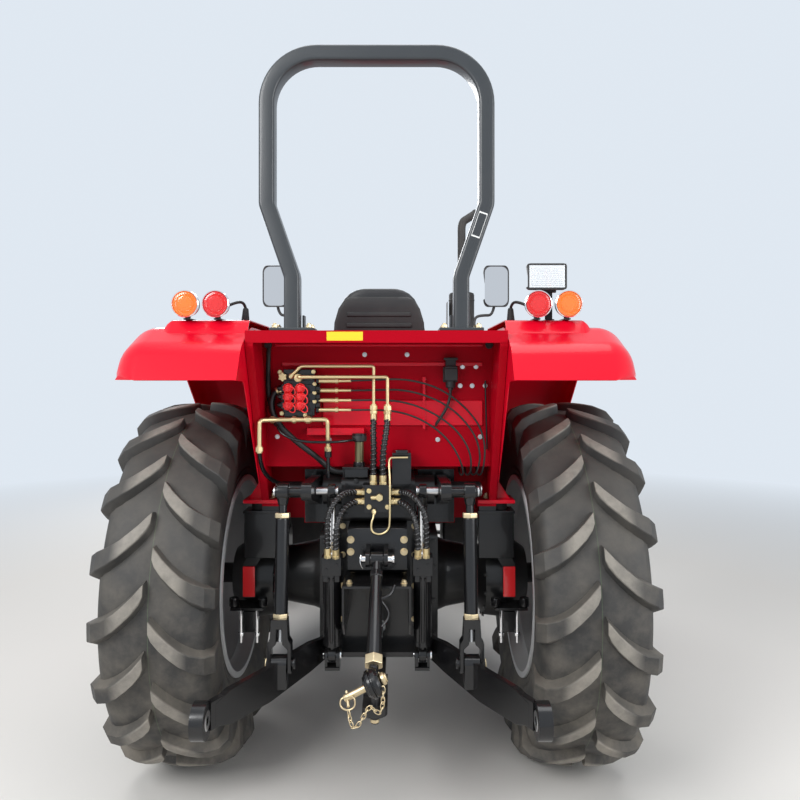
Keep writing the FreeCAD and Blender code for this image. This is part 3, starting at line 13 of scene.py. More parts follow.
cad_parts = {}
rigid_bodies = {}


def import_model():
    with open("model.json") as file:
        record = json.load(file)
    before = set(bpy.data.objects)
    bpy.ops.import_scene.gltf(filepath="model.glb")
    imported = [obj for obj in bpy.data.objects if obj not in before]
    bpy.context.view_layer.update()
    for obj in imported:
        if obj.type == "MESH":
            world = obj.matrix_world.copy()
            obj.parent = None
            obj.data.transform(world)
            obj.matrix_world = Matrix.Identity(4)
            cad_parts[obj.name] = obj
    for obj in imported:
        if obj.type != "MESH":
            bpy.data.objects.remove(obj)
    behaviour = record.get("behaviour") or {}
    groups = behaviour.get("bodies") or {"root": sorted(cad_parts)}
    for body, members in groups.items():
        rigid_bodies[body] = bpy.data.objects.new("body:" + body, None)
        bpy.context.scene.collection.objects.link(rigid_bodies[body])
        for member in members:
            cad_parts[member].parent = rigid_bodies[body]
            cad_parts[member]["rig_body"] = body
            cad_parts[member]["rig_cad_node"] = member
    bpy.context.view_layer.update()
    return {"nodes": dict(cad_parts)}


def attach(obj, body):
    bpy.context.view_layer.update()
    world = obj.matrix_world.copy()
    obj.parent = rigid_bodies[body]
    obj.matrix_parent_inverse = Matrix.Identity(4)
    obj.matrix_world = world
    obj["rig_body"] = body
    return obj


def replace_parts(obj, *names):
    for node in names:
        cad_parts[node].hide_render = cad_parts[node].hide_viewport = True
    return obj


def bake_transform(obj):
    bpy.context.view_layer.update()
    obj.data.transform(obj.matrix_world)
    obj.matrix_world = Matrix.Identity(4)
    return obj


Point = Union[Vector, tuple[float, float, float]]
Outline = Sequence[tuple[float, float]]
Corner = tuple[float, float, float]    # two coordinates and the radius that rounds the corner
Ring = tuple[float, float, float, float]    # height, half width, back and front
Piece = bpy.types.Object

MILLIMETRE = 0.001
AXLE_TO_ROW = -1005.0    # places are in millimetres from the rear axle; the row frame's Y is this far back
SMOOTH_ANGLE = math.radians(38)
BACK: Point = (0, -1, 0)
UP: Point = (0, 0, 1)
SIGNS = (-1, 1)    # of X, on the left and on the right
LOG = logging.getLogger("tractor")


class Side(Enum):
    """The tractor's two sides, with the sign of X."""

    LEFT = -1
    RIGHT = 1

    @property
    def word(self) -> str:
        """The side's name as the frame spells it."""
        return self.name.lower()


# Tools of the bench: each makes or shapes one piece with Blender's own operators


def place(x: float, y: float, z: float) -> Vector:
    """Turn millimetres from the rear axle into the row frame's metres.

    Args:
        x: Distance to the right.
        y: Distance forward of the rear axle.
        z: Height above the ground.

    Returns:
        The point in the row frame.
    """
    return Vector((x, y + AXLE_TO_ROW, z)) * MILLIMETRE


def only(*chosen: Piece) -> Piece:
    """Select these pieces and nothing else, and make the first the active one."""
    bpy.ops.object.select_all(action="DESELECT")
    for piece in chosen:
        piece.select_set(True)
    bpy.context.view_layer.objects.active = chosen[0]
    return chosen[0]


def settle(piece: Piece) -> Piece:
    """Move a piece's place, turn and scale into its mesh."""
    only(piece)
    bpy.ops.object.transform_apply(location=True, rotation=True, scale=True)
    return piece


def smooth(piece: Piece, angle: float = SMOOTH_ANGLE) -> Piece:
    """Shade a piece smoothly across edges shallower than the angle."""
    only(piece)
    bpy.ops.object.shade_smooth_by_angle(angle=angle)
    return piece


def apply_modifier(piece: Piece, modifier: bpy.types.Modifier) -> None:
    """Apply one modifier of a piece."""
    only(piece)
    bpy.ops.object.modifier_apply(modifier=modifier.name)


def soften(piece: Piece, edge: float, segments: int = 2, clamp: bool = True) -> Piece:
    """Round the sharp edges of a piece.

    Args:
        piece: The piece to shape.
        edge: Width of the rounding in millimetres; none at 0.
        segments: Faces across each rounding.
        clamp: Whether roundings stop where they would meet.

    Returns:
        The same piece, shaded smoothly.
    """
    if edge > 0:
        bevel = piece.modifiers.new("edges", "BEVEL")
        bevel.width = edge * MILLIMETRE
        bevel.segments = segments
        bevel.limit_method = "ANGLE"
        bevel.angle_limit = math.radians(32)
        bevel.use_clamp_overlap = clamp
        apply_modifier(piece, bevel)
    smooth(piece)
    flatten = piece.modifiers.new("flat faces", "WEIGHTED_NORMAL")
    flatten.keep_sharp = True
    apply_modifier(piece, flatten)
    return piece


def block(name: str, corner: Point, opposite: Point, edge: float = 2.0, segments: int = 2) -> Piece:
    """Make a block between two corners, with rounded edges.

    Args:
        name: Name of the piece.
        corner: Any corner.
        opposite: The corner across the block from it.
        edge: Width of the rounded edges.
        segments: Faces across each rounding.

    Returns:
        The new piece.
    """
    spans = list(zip(place(*corner), place(*opposite)))
    start, end = Vector([min(span) for span in spans]), Vector([max(span) for span in spans])
    bpy.ops.object.select_all(action="DESELECT")
    bpy.ops.mesh.primitive_cube_add(size=1, location=(start + end) / 2)
    piece = bpy.context.object
    piece.name = name
    piece.scale = end - start
    settle(piece)
    return soften(piece, edge, segments)


def rod(name: str, start: Point, end: Point, radius: float, edge: float = 1.0, sides: int = 32,
        end_radius: Optional[float] = None) -> Piece:
    """Make a round bar between two points.

    Args:
        name: Name of the piece.
        start: Middle of one end.
        end: Middle of the other end.
        radius: Radius at the start.
        edge: Width of the rounded rims.
        sides: Faces round the bar; six make a nut.
        end_radius: Radius at the end, where it differs.

    Returns:
        The new piece.
    """
    near, far = place(*start), place(*end)
    along = far - near
    bpy.ops.object.select_all(action="DESELECT")
    bpy.ops.mesh.primitive_cone_add(
        vertices=sides, radius1=radius * MILLIMETRE,
        radius2=(radius if end_radius is None else end_radius) * MILLIMETRE,
        depth=along.length, location=(near + far) / 2,
        rotation=along.to_track_quat("Z", "Y").to_euler())
    piece = bpy.context.object
    piece.name = name
    settle(piece)
    return soften(piece, edge)


def plate(name: str, outline: Outline, axis: str, start: float, end: float, edge: float = 1.5,
          segments: int = 2) -> Piece:
    """Cut a plate to an outline and give it its thickness.

    Args:
        name: Name of the piece.
        outline: Corners in the plate's plane: (y, z) for axis x, (x, z) for y, (x, y) for z.
        axis: The letter of the axis that the thickness runs along.
        start: Where the thickness starts on that axis.
        end: Where it ends.
        edge: Width of the rounded edges.
        segments: Faces across each rounding.

    Returns:
        The new piece.
    """
    def spot(a: float, b: float, level: float) -> Vector:
        """Find a point from its two coordinates in the plane and its level across it."""
        return place(*{"x": (level, a, b), "y": (a, level, b), "z": (a, b, level)}[axis])

    bpy.ops.object.select_all(action="DESELECT")
    bpy.ops.mesh.primitive_circle_add(vertices=len(outline), fill_type="NGON")
    piece = bpy.context.object
    piece.name = name
    for vertex, (a, b) in zip(piece.data.vertices, outline):
        vertex.co = spot(a, b, start)
    thickness = spot(0, 0, end) - spot(0, 0, start)
    bpy.ops.object.mode_set(mode="EDIT")
    bpy.ops.mesh.select_all(action="SELECT")
    bpy.ops.mesh.extrude_region_move(TRANSFORM_OT_translate={"value": thickness})
    bpy.ops.mesh.select_all(action="SELECT")
    bpy.ops.mesh.normals_make_consistent(inside=False)
    bpy.ops.object.mode_set(mode="OBJECT")
    return soften(piece, edge, segments)


def turned(name: str, centre: Point, axis: Point, profile: Outline, steps: int = 48, ring: bool = False,
           edge: float = 0.0) -> Piece:
    """Turn a round piece, ring by ring, from the list of its heights and radii.

    Args:
        name: Name of the piece.
        centre: The point that heights are measured from.
        axis: Direction of the axis.
        profile: Pairs of height along the axis and radius, in order.
        steps: Faces round the axis.
        ring: Whether the last ring joins the first, as on a tyre; otherwise both ends are closed flat.
        edge: Width of the rounded edges.

    Returns:
        The new piece.
    """
    height, radius = profile[0]
    bpy.ops.object.select_all(action="DESELECT")
    bpy.ops.mesh.primitive_circle_add(vertices=steps, radius=radius * MILLIMETRE, fill_type="NOTHING",
                                      location=(0, 0, height * MILLIMETRE))
    piece = bpy.context.object
    piece.name = name
    settle(piece)
    bpy.ops.object.mode_set(mode="EDIT")
    bpy.ops.mesh.select_all(action="SELECT")
    if not ring:
        bpy.ops.mesh.edge_face_add()
    for next_height, next_radius in profile[1:]:
        rise = (next_height - height) * MILLIMETRE
        scale = next_radius / radius
        extrude = bpy.ops.mesh.extrude_edges_move if ring else bpy.ops.mesh.extrude_region_move
        extrude(TRANSFORM_OT_translate={"value": (0, 0, rise)})
        bpy.ops.transform.resize(value=(scale, scale, 1), center_override=(0, 0, next_height * MILLIMETRE))
        height, radius = next_height, next_radius
    if ring:
        bpy.ops.mesh.select_all(action="DESELECT")
        bpy.ops.mesh.select_non_manifold()
        bpy.ops.mesh.bridge_edge_loops()
    bpy.ops.mesh.select_all(action="SELECT")
    bpy.ops.mesh.normals_make_consistent(inside=False)
    bpy.ops.object.mode_set(mode="OBJECT")
    piece.rotation_euler = Vector(axis).to_track_quat("Z", "Y").to_euler()
    piece.location = place(*centre)
    settle(piece)
    return soften(piece, edge)


def skin(name: str, rows: Sequence[Sequence[Point]], closed: bool = False, filled: bool = False) -> Piece:
    """Lay a grid over rows of points, as a sheet is laid over its frames.

    Args:
        name: Name of the piece.
        rows: Rows with the same number of points each.
        closed: Whether each row is a loop whose last point meets its first.
        filled: Whether open ends are closed by flat faces.

    Returns:
        The new piece, with its faces turned outwards where it is closed.
    """
    bpy.ops.object.select_all(action="DESELECT")
    bpy.ops.mesh.primitive_grid_add(x_subdivisions=len(rows[0]) - 1, y_subdivisions=len(rows) - 1)
    piece = bpy.context.object
    piece.name = name
    points = [point for row in rows for point in row]
    assert len(points) == len(piece.data.vertices)
    for vertex, point in zip(piece.data.vertices, points):
        vertex.co = place(*point)
    bpy.ops.object.mode_set(mode="EDIT")
    bpy.ops.mesh.select_all(action="SELECT")
    if closed:
        bpy.ops.mesh.remove_doubles(threshold=1e-5)
    if filled:
        bpy.ops.mesh.fill_holes(sides=0)
        bpy.ops.mesh.select_all(action="SELECT")
        bpy.ops.mesh.normals_make_consistent(inside=False)
    bpy.ops.object.mode_set(mode="OBJECT")
    return piece


def thicken(piece: Piece, wall: float, offset: float = -1.0) -> Piece:
    """Give a sheet its wall.

    Args:
        piece: The sheet.
        wall: Thickness in millimetres.
        offset: -1 puts the wall behind the faces, and 1 in front of them.

    Returns:
        The same piece.
    """
    solid = piece.modifiers.new("wall", "SOLIDIFY")
    solid.thickness = wall * MILLIMETRE
    solid.offset = offset
    apply_modifier(piece, solid)
    return piece


def path_curve(name: str, points: Sequence[Point], radius: float, smooth_path: bool = True,
               resolution: int = 6) -> Piece:
    """Draw a round wire along points, as a curve.

    Args:
        name: Name of the piece.
        points: The points that guide it.
        radius: Radius of the wire in millimetres.
        smooth_path: Whether it flows past the points, or runs straight from one to the next.
        resolution: Steps in each span, and round a quarter of the wire.

    Returns:
        The curve object.
    """
    curve = bpy.data.curves.new(name, "CURVE")
    curve.dimensions = "3D"
    curve.bevel_depth = radius * MILLIMETRE
    curve.bevel_resolution = max(2, resolution // 2)
    curve.resolution_u = resolution
    curve.use_fill_caps = True
    spline = curve.splines.new("NURBS" if smooth_path else "POLY")
    spline.points.add(len(points) - 1)
    for control, point in zip(spline.points, points):
        control.co = (*place(*point), 1)
    if smooth_path:
        spline.order_u = 3
        spline.use_endpoint_u = True
    piece = bpy.data.objects.new(name, curve)
    bpy.context.scene.collection.objects.link(piece)
    return piece


def wire(name: str, points: Sequence[Point], radius: float, smooth_path: bool = True,
         resolution: int = 6) -> Piece:
    """Bend a round wire or pipe along points, and make it a mesh. See path_curve for the arguments."""
    piece = only(path_curve(name, points, radius, smooth_path, resolution))
    bpy.ops.object.convert(target="MESH")
    return smooth(bpy.context.object, math.radians(60))


def joined(name: str, pieces: Iterable[Piece]) -> Piece:
    """Join pieces into one mesh under a name."""
    pieces = list(pieces)
    only(*pieces)
    if len(pieces) > 1:
        bpy.ops.object.join()
    pieces[0].name = name
    return pieces[0]


def copy_of(piece: Piece, name: str, move: Point = (0, 0, 0)) -> Piece:
    """Copy a piece with its own mesh, moved by millimetres."""
    twin = piece.copy()
    twin.data = piece.data.copy()
    twin.name = name
    bpy.context.scene.collection.objects.link(twin)
    twin.location = Vector(move) * MILLIMETRE
    return settle(twin)


def face_outwards(piece: Piece) -> Piece:
    """Turn all faces of a closed piece outwards."""
    only(piece)
    bpy.ops.object.mode_set(mode="EDIT")
    bpy.ops.mesh.select_all(action="SELECT")
    bpy.ops.mesh.normals_make_consistent(inside=False)
    bpy.ops.object.mode_set(mode="OBJECT")
    return piece


def mirrored(piece: Piece, name: str) -> Piece:
    """Copy a piece to the tractor's other side, with its faces turned the right way."""
    twin = copy_of(piece, name)
    only(twin)
    if twin.data.has_custom_normals:
        bpy.ops.mesh.customdata_custom_splitnormals_clear()
    twin.scale = (-1, 1, 1)
    return soften(face_outwards(settle(twin)), 0)


def repeated(piece: Piece, count: int, centre: Point, axis: str = "X") -> Piece:
    """Repeat a piece round a centre, and make the whole ring one mesh.

    Args:
        piece: The piece to repeat.
        count: How many there are round the full turn.
        centre: The point that they turn about.
        axis: The letter of the axis that they turn about.

    Returns:
        The same piece, now a whole ring.
    """
    middle = place(*centre)
    piece.data.transform(Matrix.Translation(-middle))
    turn = bpy.data.objects.new("turn", None)
    bpy.context.scene.collection.objects.link(turn)
    setattr(turn.rotation_euler, axis.lower(), 2 * math.pi / count)
    bpy.context.view_layer.update()
    array = piece.modifiers.new("ring", "ARRAY")
    array.count = count
    array.use_relative_offset = False
    array.use_object_offset = True
    array.offset_object = turn
    apply_modifier(piece, array)
    bpy.data.objects.remove(turn)
    piece.location = middle
    return settle(piece)


def points_along(start: Vector, way: Vector) -> Callable[[float], Vector]:
    """Give the function that finds the point at a reach along a line."""
    return lambda reach: start + way * reach


# Shared effects: node groups that each material places with its own values


def new_group(name: str, inputs: Sequence[tuple[str, str, float]],
              outputs: Sequence[tuple[str, str]]) -> bpy.types.NodeTree:
    """Start a shader node group with named sockets.

    Args:
        name: Name of the group.
        inputs: Name, kind (Float or Color) and default of each input.
        outputs: Name and kind of each output.

    Returns:
        The group, with its input and output nodes in it.
    """
    group = bpy.data.node_groups.new(name, "ShaderNodeTree")
    for label, kind, default in inputs:
        socket = group.interface.new_socket(label, in_out="INPUT", socket_type=f"NodeSocket{kind}")
        socket.default_value = default if kind == "Float" else (default, default, default, 1)
    for label, kind in outputs:
        group.interface.new_socket(label, in_out="OUTPUT", socket_type=f"NodeSocket{kind}")
    group.nodes.new("NodeGroupInput")
    group.nodes.new("NodeGroupOutput")
    return group


class Wiring:
    """Adds nodes to a tree and links them."""

    def __init__(self, tree: bpy.types.NodeTree) -> None:
        """Keep the tree that nodes are added to."""
        self.tree = tree

    def node(self, kind: str, settings: Optional[dict] = None, **sockets: object) -> bpy.types.Node:
        """Add a node.

        Args:
            kind: Blender's name of the node, without its ShaderNode.
            settings: The node's own options by name.
            **sockets: Values of inputs, by name with _ for a space.

        Returns:
            The node.
        """
        made = self.tree.nodes.new("ShaderNode" + kind)
        for label, value in (settings or {}).items():
            setattr(made, label, value)
        for label, value in sockets.items():
            socket = made.inputs[label.replace("_", " ")]
            if isinstance(value, bpy.types.NodeSocket):
                self.tree.links.new(value, socket)
            else:
                socket.default_value = value
        return made

    def math(self, operation: str, first: object, second: object = 0.0,
             clamp: bool = False) -> bpy.types.NodeSocket:
        """Work out one sum from numbers or sockets, and give its output."""
        made = self.tree.nodes.new("ShaderNodeMath")
        made.operation = operation
        made.use_clamp = clamp
        for socket, value in zip(made.inputs, (first, second)):
            if isinstance(value, bpy.types.NodeSocket):
                self.tree.links.new(value, socket)
            else:
                socket.default_value = value
        return made.outputs[0]

    def between(self, value: object, low: float, high: float, out_low: float = 0.0,
                out_high: float = 1.0) -> bpy.types.NodeSocket:
        """Carry a value from one range to another, held at its ends."""
        made = self.tree.nodes.new("ShaderNodeMapRange")
        for socket, number in zip(made.inputs, (value, low, high, out_low, out_high)):
            if isinstance(number, bpy.types.NodeSocket):
                self.tree.links.new(number, socket)
            else:
                socket.default_value = number
        return made.outputs[0]

    def blend(self, share: object, first: object, second: object) -> bpy.types.NodeSocket:
        """Mix two colours by a share, and give the colour."""
        made = self.tree.nodes.new("ShaderNodeMix")
        made.data_type = "RGBA"
        for index, value in ((0, share), (6, first), (7, second)):
            if isinstance(value, bpy.types.NodeSocket):
                self.tree.links.new(value, made.inputs[index])
            else:
                made.inputs[index].default_value = value
        return made.outputs[2]

    def link(self, output: bpy.types.NodeSocket, socket: bpy.types.NodeSocket) -> None:
        """Link an output to an input."""
        self.tree.links.new(output, socket)


def group_ends(group: bpy.types.NodeTree) -> tuple[bpy.types.Node, bpy.types.Node]:
    """Find a group's input and output nodes."""
    ends = {node.bl_idname: node for node in group.nodes}
    return ends["NodeGroupInput"], ends["NodeGroupOutput"]


def grain_group() -> bpy.types.NodeTree:
    """Make the fine unevenness of a cast, sprayed or moulded surface, as a height."""
    group = new_group("surface grain", [("Fineness", "Float", 900.0), ("Unevenness", "Float", 12.0)],
                      [("Height", "Float")])
    given, result = group_ends(group)
    wiring = Wiring(group)
    spot = wiring.node("TexCoord").outputs["Object"]
    fine = wiring.node("TexNoise", Vector=spot, Scale=given.outputs["Fineness"], Detail=3.0)
    wide = wiring.node("TexNoise", Vector=spot, Scale=given.outputs["Unevenness"], Detail=2.0)
    height = wiring.math("ADD", wiring.math("MULTIPLY", fine.outputs[0], 0.35), wide.outputs[0])
    wiring.link(height, result.inputs["Height"])
    return group


def dust_group() -> bpy.types.NodeTree:
    """Make the yard dust that settles on faces that look up and on what is low down."""
    group = new_group("settled dust", [("Colour", "Color", 0.5), ("Roughness", "Float", 0.5),
                                       ("Amount", "Float", 0.3)],
                      [("Colour", "Color"), ("Roughness", "Float")])
    given, result = group_ends(group)
    wiring = Wiring(group)
    spot = wiring.node("TexCoord").outputs["Object"]
    normal = wiring.node("NewGeometry").outputs["Normal"]
    upward = wiring.between(wiring.node("SeparateXYZ", Vector=normal).outputs["Z"], 0.1, 1.0)
    height = wiring.node("SeparateXYZ", Vector=spot).outputs["Z"]
    low = wiring.between(height, 0.2, 1.3, 1.0, 0.25)
    clouds = wiring.node("TexNoise", Vector=spot, Scale=7.0, Detail=6.0, Roughness=0.65)
    patches = wiring.between(clouds.outputs[0], 0.4, 0.75)
    share = wiring.math("MULTIPLY", wiring.math("ADD", wiring.math("MULTIPLY", upward, 0.7), patches), low)
    share = wiring.math("MULTIPLY", share, given.outputs["Amount"], clamp=True)
    wiring.link(wiring.blend(share, given.outputs["Colour"], (0.42, 0.37, 0.30, 1)), result.inputs["Colour"])
    rough = wiring.math("ADD", given.outputs["Roughness"], wiring.math("MULTIPLY", share, 0.5), clamp=True)
    wiring.link(rough, result.inputs["Roughness"])
    return group


@dataclass(frozen=True)
class Finish:
    """A finish of one of the tractor's surfaces."""

    name: str
    colour: tuple[float, float, float]
    roughness: float = 0.5
    metallic: float = 0.0
    coat: float = 0.0
    dust: float = 0.1
    grain: float = 0.0
    fineness: float = 900.0
    unevenness: float = 12.0
    # emission strength; on the reflectors and the valve's dust caps, which are no lamps, it is painted light
    transmission: float = 0.0
    glow: float = 0.0
    specular: float = 0.5

    def start(self) -> tuple[bpy.types.Material, Wiring, bpy.types.Node]:
        """Make the material with its plain values set on the shader."""
        material = bpy.data.materials.new(self.name)
        material.use_nodes = True
        wiring = Wiring(material.node_tree)
        shader = material.node_tree.nodes["Principled BSDF"]
        shader.inputs["Base Color"].default_value = (*self.colour, 1)
        shader.inputs["Roughness"].default_value = self.roughness
        shader.inputs["Metallic"].default_value = self.metallic
        shader.inputs["Coat Weight"].default_value = self.coat
        shader.inputs["Coat Roughness"].default_value = 0.06
        shader.inputs["Transmission Weight"].default_value = self.transmission
        shader.inputs["Specular IOR Level"].default_value = self.specular
        if self.glow:
            shader.inputs["Emission Color"].default_value = (*self.colour, 1)
            shader.inputs["Emission Strength"].default_value = self.glow
        return material, wiring, shader

    def add_dust(self, wiring: Wiring, shader: bpy.types.Node, groups: "Groups",
                 colour: Optional[bpy.types.NodeSocket] = None) -> None:
        """Lay dust over the finish, or over a colour that varies."""
        dust = wiring.node("Group", {"node_tree": groups.dust}, Roughness=self.roughness, Amount=self.dust)
        if colour is None:
            dust.inputs["Colour"].default_value = (*self.colour, 1)
        else:
            wiring.link(colour, dust.inputs["Colour"])
        wiring.link(dust.outputs["Colour"], shader.inputs["Base Color"])
        wiring.link(dust.outputs["Roughness"], shader.inputs["Roughness"])

    def add_grain(self, wiring: Wiring, shader: bpy.types.Node, groups: "Groups") -> None:
        """Make the surface a little uneven."""
        grain = wiring.node("Group", {"node_tree": groups.grain}, Fineness=self.fineness,
                            Unevenness=self.unevenness)
        bump = wiring.node("Bump", Strength=self.grain, Distance=0.001, Height=grain.outputs["Height"])
        wiring.link(bump.outputs["Normal"], shader.inputs["Normal"])

    def material(self, groups: "Groups") -> bpy.types.Material:
        """Make the whole material."""
        material, wiring, shader = self.start()
        if self.dust:
            self.add_dust(wiring, shader, groups)
        if self.grain:
            self.add_grain(wiring, shader, groups)
        return material


@dataclass(frozen=True)
class TyreRubber(Finish):
    """Tyre rubber, paler on the tops of the lugs, with a thin moulding line round the middle."""

    axle_height: float = 792.5
    axle_place: float = 0.0
    middle: float = 820.0
    tread: float = 754.0
    lug_height: float = 38.0

    def material(self, groups: "Groups") -> bpy.types.Material:
        """Make the whole material."""
        material, wiring, shader = self.start()
        centre = place(0, self.axle_place, self.axle_height)
        spot = wiring.node("TexCoord").outputs["Object"]
        moved = wiring.node("Mapping", Vector=spot, Location=-centre).outputs[0]
        parts = wiring.node("SeparateXYZ", Vector=moved)
        radius = wiring.math("SQRT", wiring.math("ADD", wiring.math("POWER", parts.outputs["Y"], 2.0),
                                                 wiring.math("POWER", parts.outputs["Z"], 2.0)))
        clouds = wiring.node("TexNoise", Vector=spot, Scale=16.0, Detail=6.0, Roughness=0.7)
        top = (self.tread + self.lug_height * 0.72) * MILLIMETRE
        worn = wiring.between(radius, top, top + self.lug_height * 0.2 * MILLIMETRE)
        worn = wiring.math("MULTIPLY", worn, wiring.between(clouds.outputs[0], 0.3, 0.6, 0.55, 1.0))
        colour = wiring.blend(worn, (*self.colour, 1), (0.25, 0.23, 0.20, 1))
        off = wiring.math("ABSOLUTE", wiring.math("SUBTRACT", wiring.math("ABSOLUTE", parts.outputs["X"]),
                                                  self.middle * MILLIMETRE))
        line = wiring.math("MULTIPLY", wiring.math("LESS_THAN", off, 0.0012),
                           wiring.math("GREATER_THAN", radius, (self.tread - 60) * MILLIMETRE))
        colour = wiring.blend(wiring.math("MULTIPLY", line, 0.4), colour, (0.10, 0.17, 0.08, 1))
        self.add_dust(wiring, shader, groups, colour)
        self.add_grain(wiring, shader, groups)
        return material


class Groups:
    """The node groups that the finishes share."""

    def __init__(self) -> None:
        """Build each group once."""
        self.grain = grain_group()
        self.dust = dust_group()


class Finishes:
    """All the finishes of the tractor, made once and found by name."""

    LIST: tuple[Finish, ...] = (
        Finish("red_gloss", (0.70, 0.0012, 0.018), 0.30, coat=0.24, dust=0.01, grain=0.05, unevenness=7.0,
               specular=0.22),
        # the platform's red is the same paint as red_gloss, painted darker as painted shade under the shelf
        Finish("red_panel", (0.40, 0.0008, 0.010), 0.40, dust=0.0, grain=0.06, specular=0.08),
        Finish("black_satin", (0.006, 0.006, 0.007), 0.24, coat=0.25, dust=0.02, grain=0.14, unevenness=30.0,
               specular=0.4),
        Finish("black_casting", (0.007, 0.007, 0.008), 0.34, coat=0.2, dust=0.05, grain=0.6, fineness=420.0,
               specular=0.4),
        Finish("bar_charcoal", (0.026, 0.030, 0.034), 0.40, coat=0.2, dust=0.05, grain=0.10),
        Finish("weight_grey", (0.10, 0.105, 0.11), 0.6, dust=0.25, grain=0.5, fineness=300.0),
        Finish("plastic_black", (0.018, 0.018, 0.019), 0.55, dust=0.15, grain=0.15),
        Finish("rubber_black", (0.014, 0.014, 0.014), 0.62, dust=0.14, grain=0.2),
        Finish("hose_black", (0.010, 0.010, 0.011), 0.42, dust=0.04, grain=0.1),
        Finish("guard_black", (0.016, 0.016, 0.017), 0.27, coat=0.3, dust=0.02),
        Finish("vinyl_black", (0.020, 0.020, 0.022), 0.45, dust=0.06, grain=0.45, fineness=700.0),
        Finish("yellow_zinc", (0.66, 0.54, 0.34), 0.38, metallic=0.9, dust=0.03, grain=0.05),
        Finish("brass", (0.72, 0.58, 0.32), 0.40, metallic=0.85, dust=0.02),
        Finish("olive_zinc", (0.20, 0.18, 0.10), 0.35, metallic=0.7, dust=0.03),
        Finish("bright_steel", (0.62, 0.62, 0.62), 0.3, metallic=1.0, dust=0.08, grain=0.08),
        Finish("chrome", (0.83, 0.83, 0.84), 0.08, metallic=1.0, dust=0.02),
        Finish("rim_silver", (0.56, 0.57, 0.58), 0.36, metallic=0.15, coat=0.2, dust=0.16, grain=0.08),
        Finish("mirror_glass", (0.70, 0.70, 0.71), 0.03, metallic=1.0, dust=0.0),
        Finish("lens_red", (0.62, 0.012, 0.012), 0.12, coat=0.9, dust=0.0, glow=0.12),
        Finish("lens_orange", (0.90, 0.17, 0.015), 0.12, coat=0.9, dust=0.0, glow=0.14),
        # the reflectors' glow is painted light
        Finish("reflector_red", (0.60, 0.010, 0.014), 0.22, coat=0.6, dust=0.02, glow=0.1),
        Finish("lens_clear", (0.80, 0.82, 0.84), 0.10, metallic=0.3, coat=0.6, dust=0.0),
        Finish("clear_glass", (0.97, 0.98, 1.0), 0.02, dust=0.0, transmission=1.0),
        # the dust caps' glow is painted light, to make them look brighter
        Finish("cap_red", (0.80, 0.025, 0.030), 0.30, dust=0.0, glow=0.10),
        Finish("plate_yellow", (0.86, 0.60, 0.02), 0.40, dust=0.02),
        Finish("plate_white", (0.74, 0.74, 0.72), 0.45, dust=0.02),
        Finish("exhaust_black", (0.020, 0.019, 0.018), 0.62, dust=0.2, grain=0.3),
        Finish("tank_black", (0.016, 0.016, 0.018), 0.42, dust=0.16, grain=0.1),
        TyreRubber("tyre_rear", (0.032, 0.031, 0.030), 0.62, dust=0.36, grain=0.35, fineness=500.0),
        TyreRubber("tyre_front", (0.032, 0.031, 0.030), 0.62, dust=0.36, grain=0.35, fineness=500.0,
                   axle_height=580.0, axle_place=2310.0, middle=800.0, tread=550.0, lug_height=30.0),
    )

    def __init__(self) -> None:
        """Make every material once."""
        groups = Groups()
        self.made = {finish.name: finish.material(groups) for finish in self.LIST}

    def __getitem__(self, name: str) -> bpy.types.Material:
        """Find a material by its finish's name."""
        return self.made[name]


@dataclass
class Assembly:
    """A sub-assembly, which dresses its own pieces."""

    finishes: Finishes

    def dress(self, piece: Piece, slot: str, finish: str, body: str = "chassis") -> Piece:
        """Give a finished piece its material and the body it moves with.

        Args:
            piece: The finished piece.
            slot: Its slot in the record; not used.
            finish: Name of its finish.
            body: Name of the body that it moves with.

        Returns:
            The same piece.
        """
        piece.data.materials.clear()
        piece.data.materials.append(self.finishes[finish])
        for face in getattr(piece.data, "polygons", []):
            face.material_index = 0
        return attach(piece, body)

    def add(self, name: str, parts: Iterable[Piece], slot: str, finish: str, body: str = "chassis") -> Piece:
        """Join parts into one piece under a name, and dress it. See dress for the other arguments."""
        return self.dress(joined(name, parts), slot, finish, body)


# The frame's own pieces


@dataclass
class Frame(Assembly):
    """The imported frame, whose plain pieces are dressed or copied with finer edges."""

    nodes: dict[str, Piece]

    def paint(self, node: str, slot: str, finish: str) -> Piece:
        """Give a node of the frame its material, where it stays as it is."""
        piece = self.nodes[node]
        piece.data.materials.clear()
        piece.data.materials.append(self.finishes[finish])
        return piece

    def refine(self, node: str, body: str, slot: str, finish: str, edge: float = 2.0) -> Piece:
        """Copy a node as whole faces, round its edges, and let the copy stand for it.

        Args:
            node: Name of the node.
            body: Name of the body that it moves with.
            slot: Its slot in the record; passed to dress, which does not use it.
            finish: Name of its finish.
            edge: Width of the rounding in millimetres.

        Returns:
            The copy.
        """
        piece = copy_of(self.nodes[node], node + "_body")
        piece.parent = None
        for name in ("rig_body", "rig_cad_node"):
            if name in piece:
                del piece[name]
        only(piece)
        if piece.data.has_custom_normals:
            bpy.ops.mesh.customdata_custom_splitnormals_clear()
        bpy.ops.object.mode_set(mode="EDIT")
        bpy.ops.mesh.select_all(action="SELECT")
        bpy.ops.mesh.remove_doubles(threshold=2e-5)
        bpy.ops.mesh.dissolve_limited(angle_limit=math.radians(1.0))
        bpy.ops.object.mode_set(mode="OBJECT")
        soften(piece, edge, 2)
        self.dress(piece, slot, finish, body)
        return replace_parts(piece, node)


# Wheels


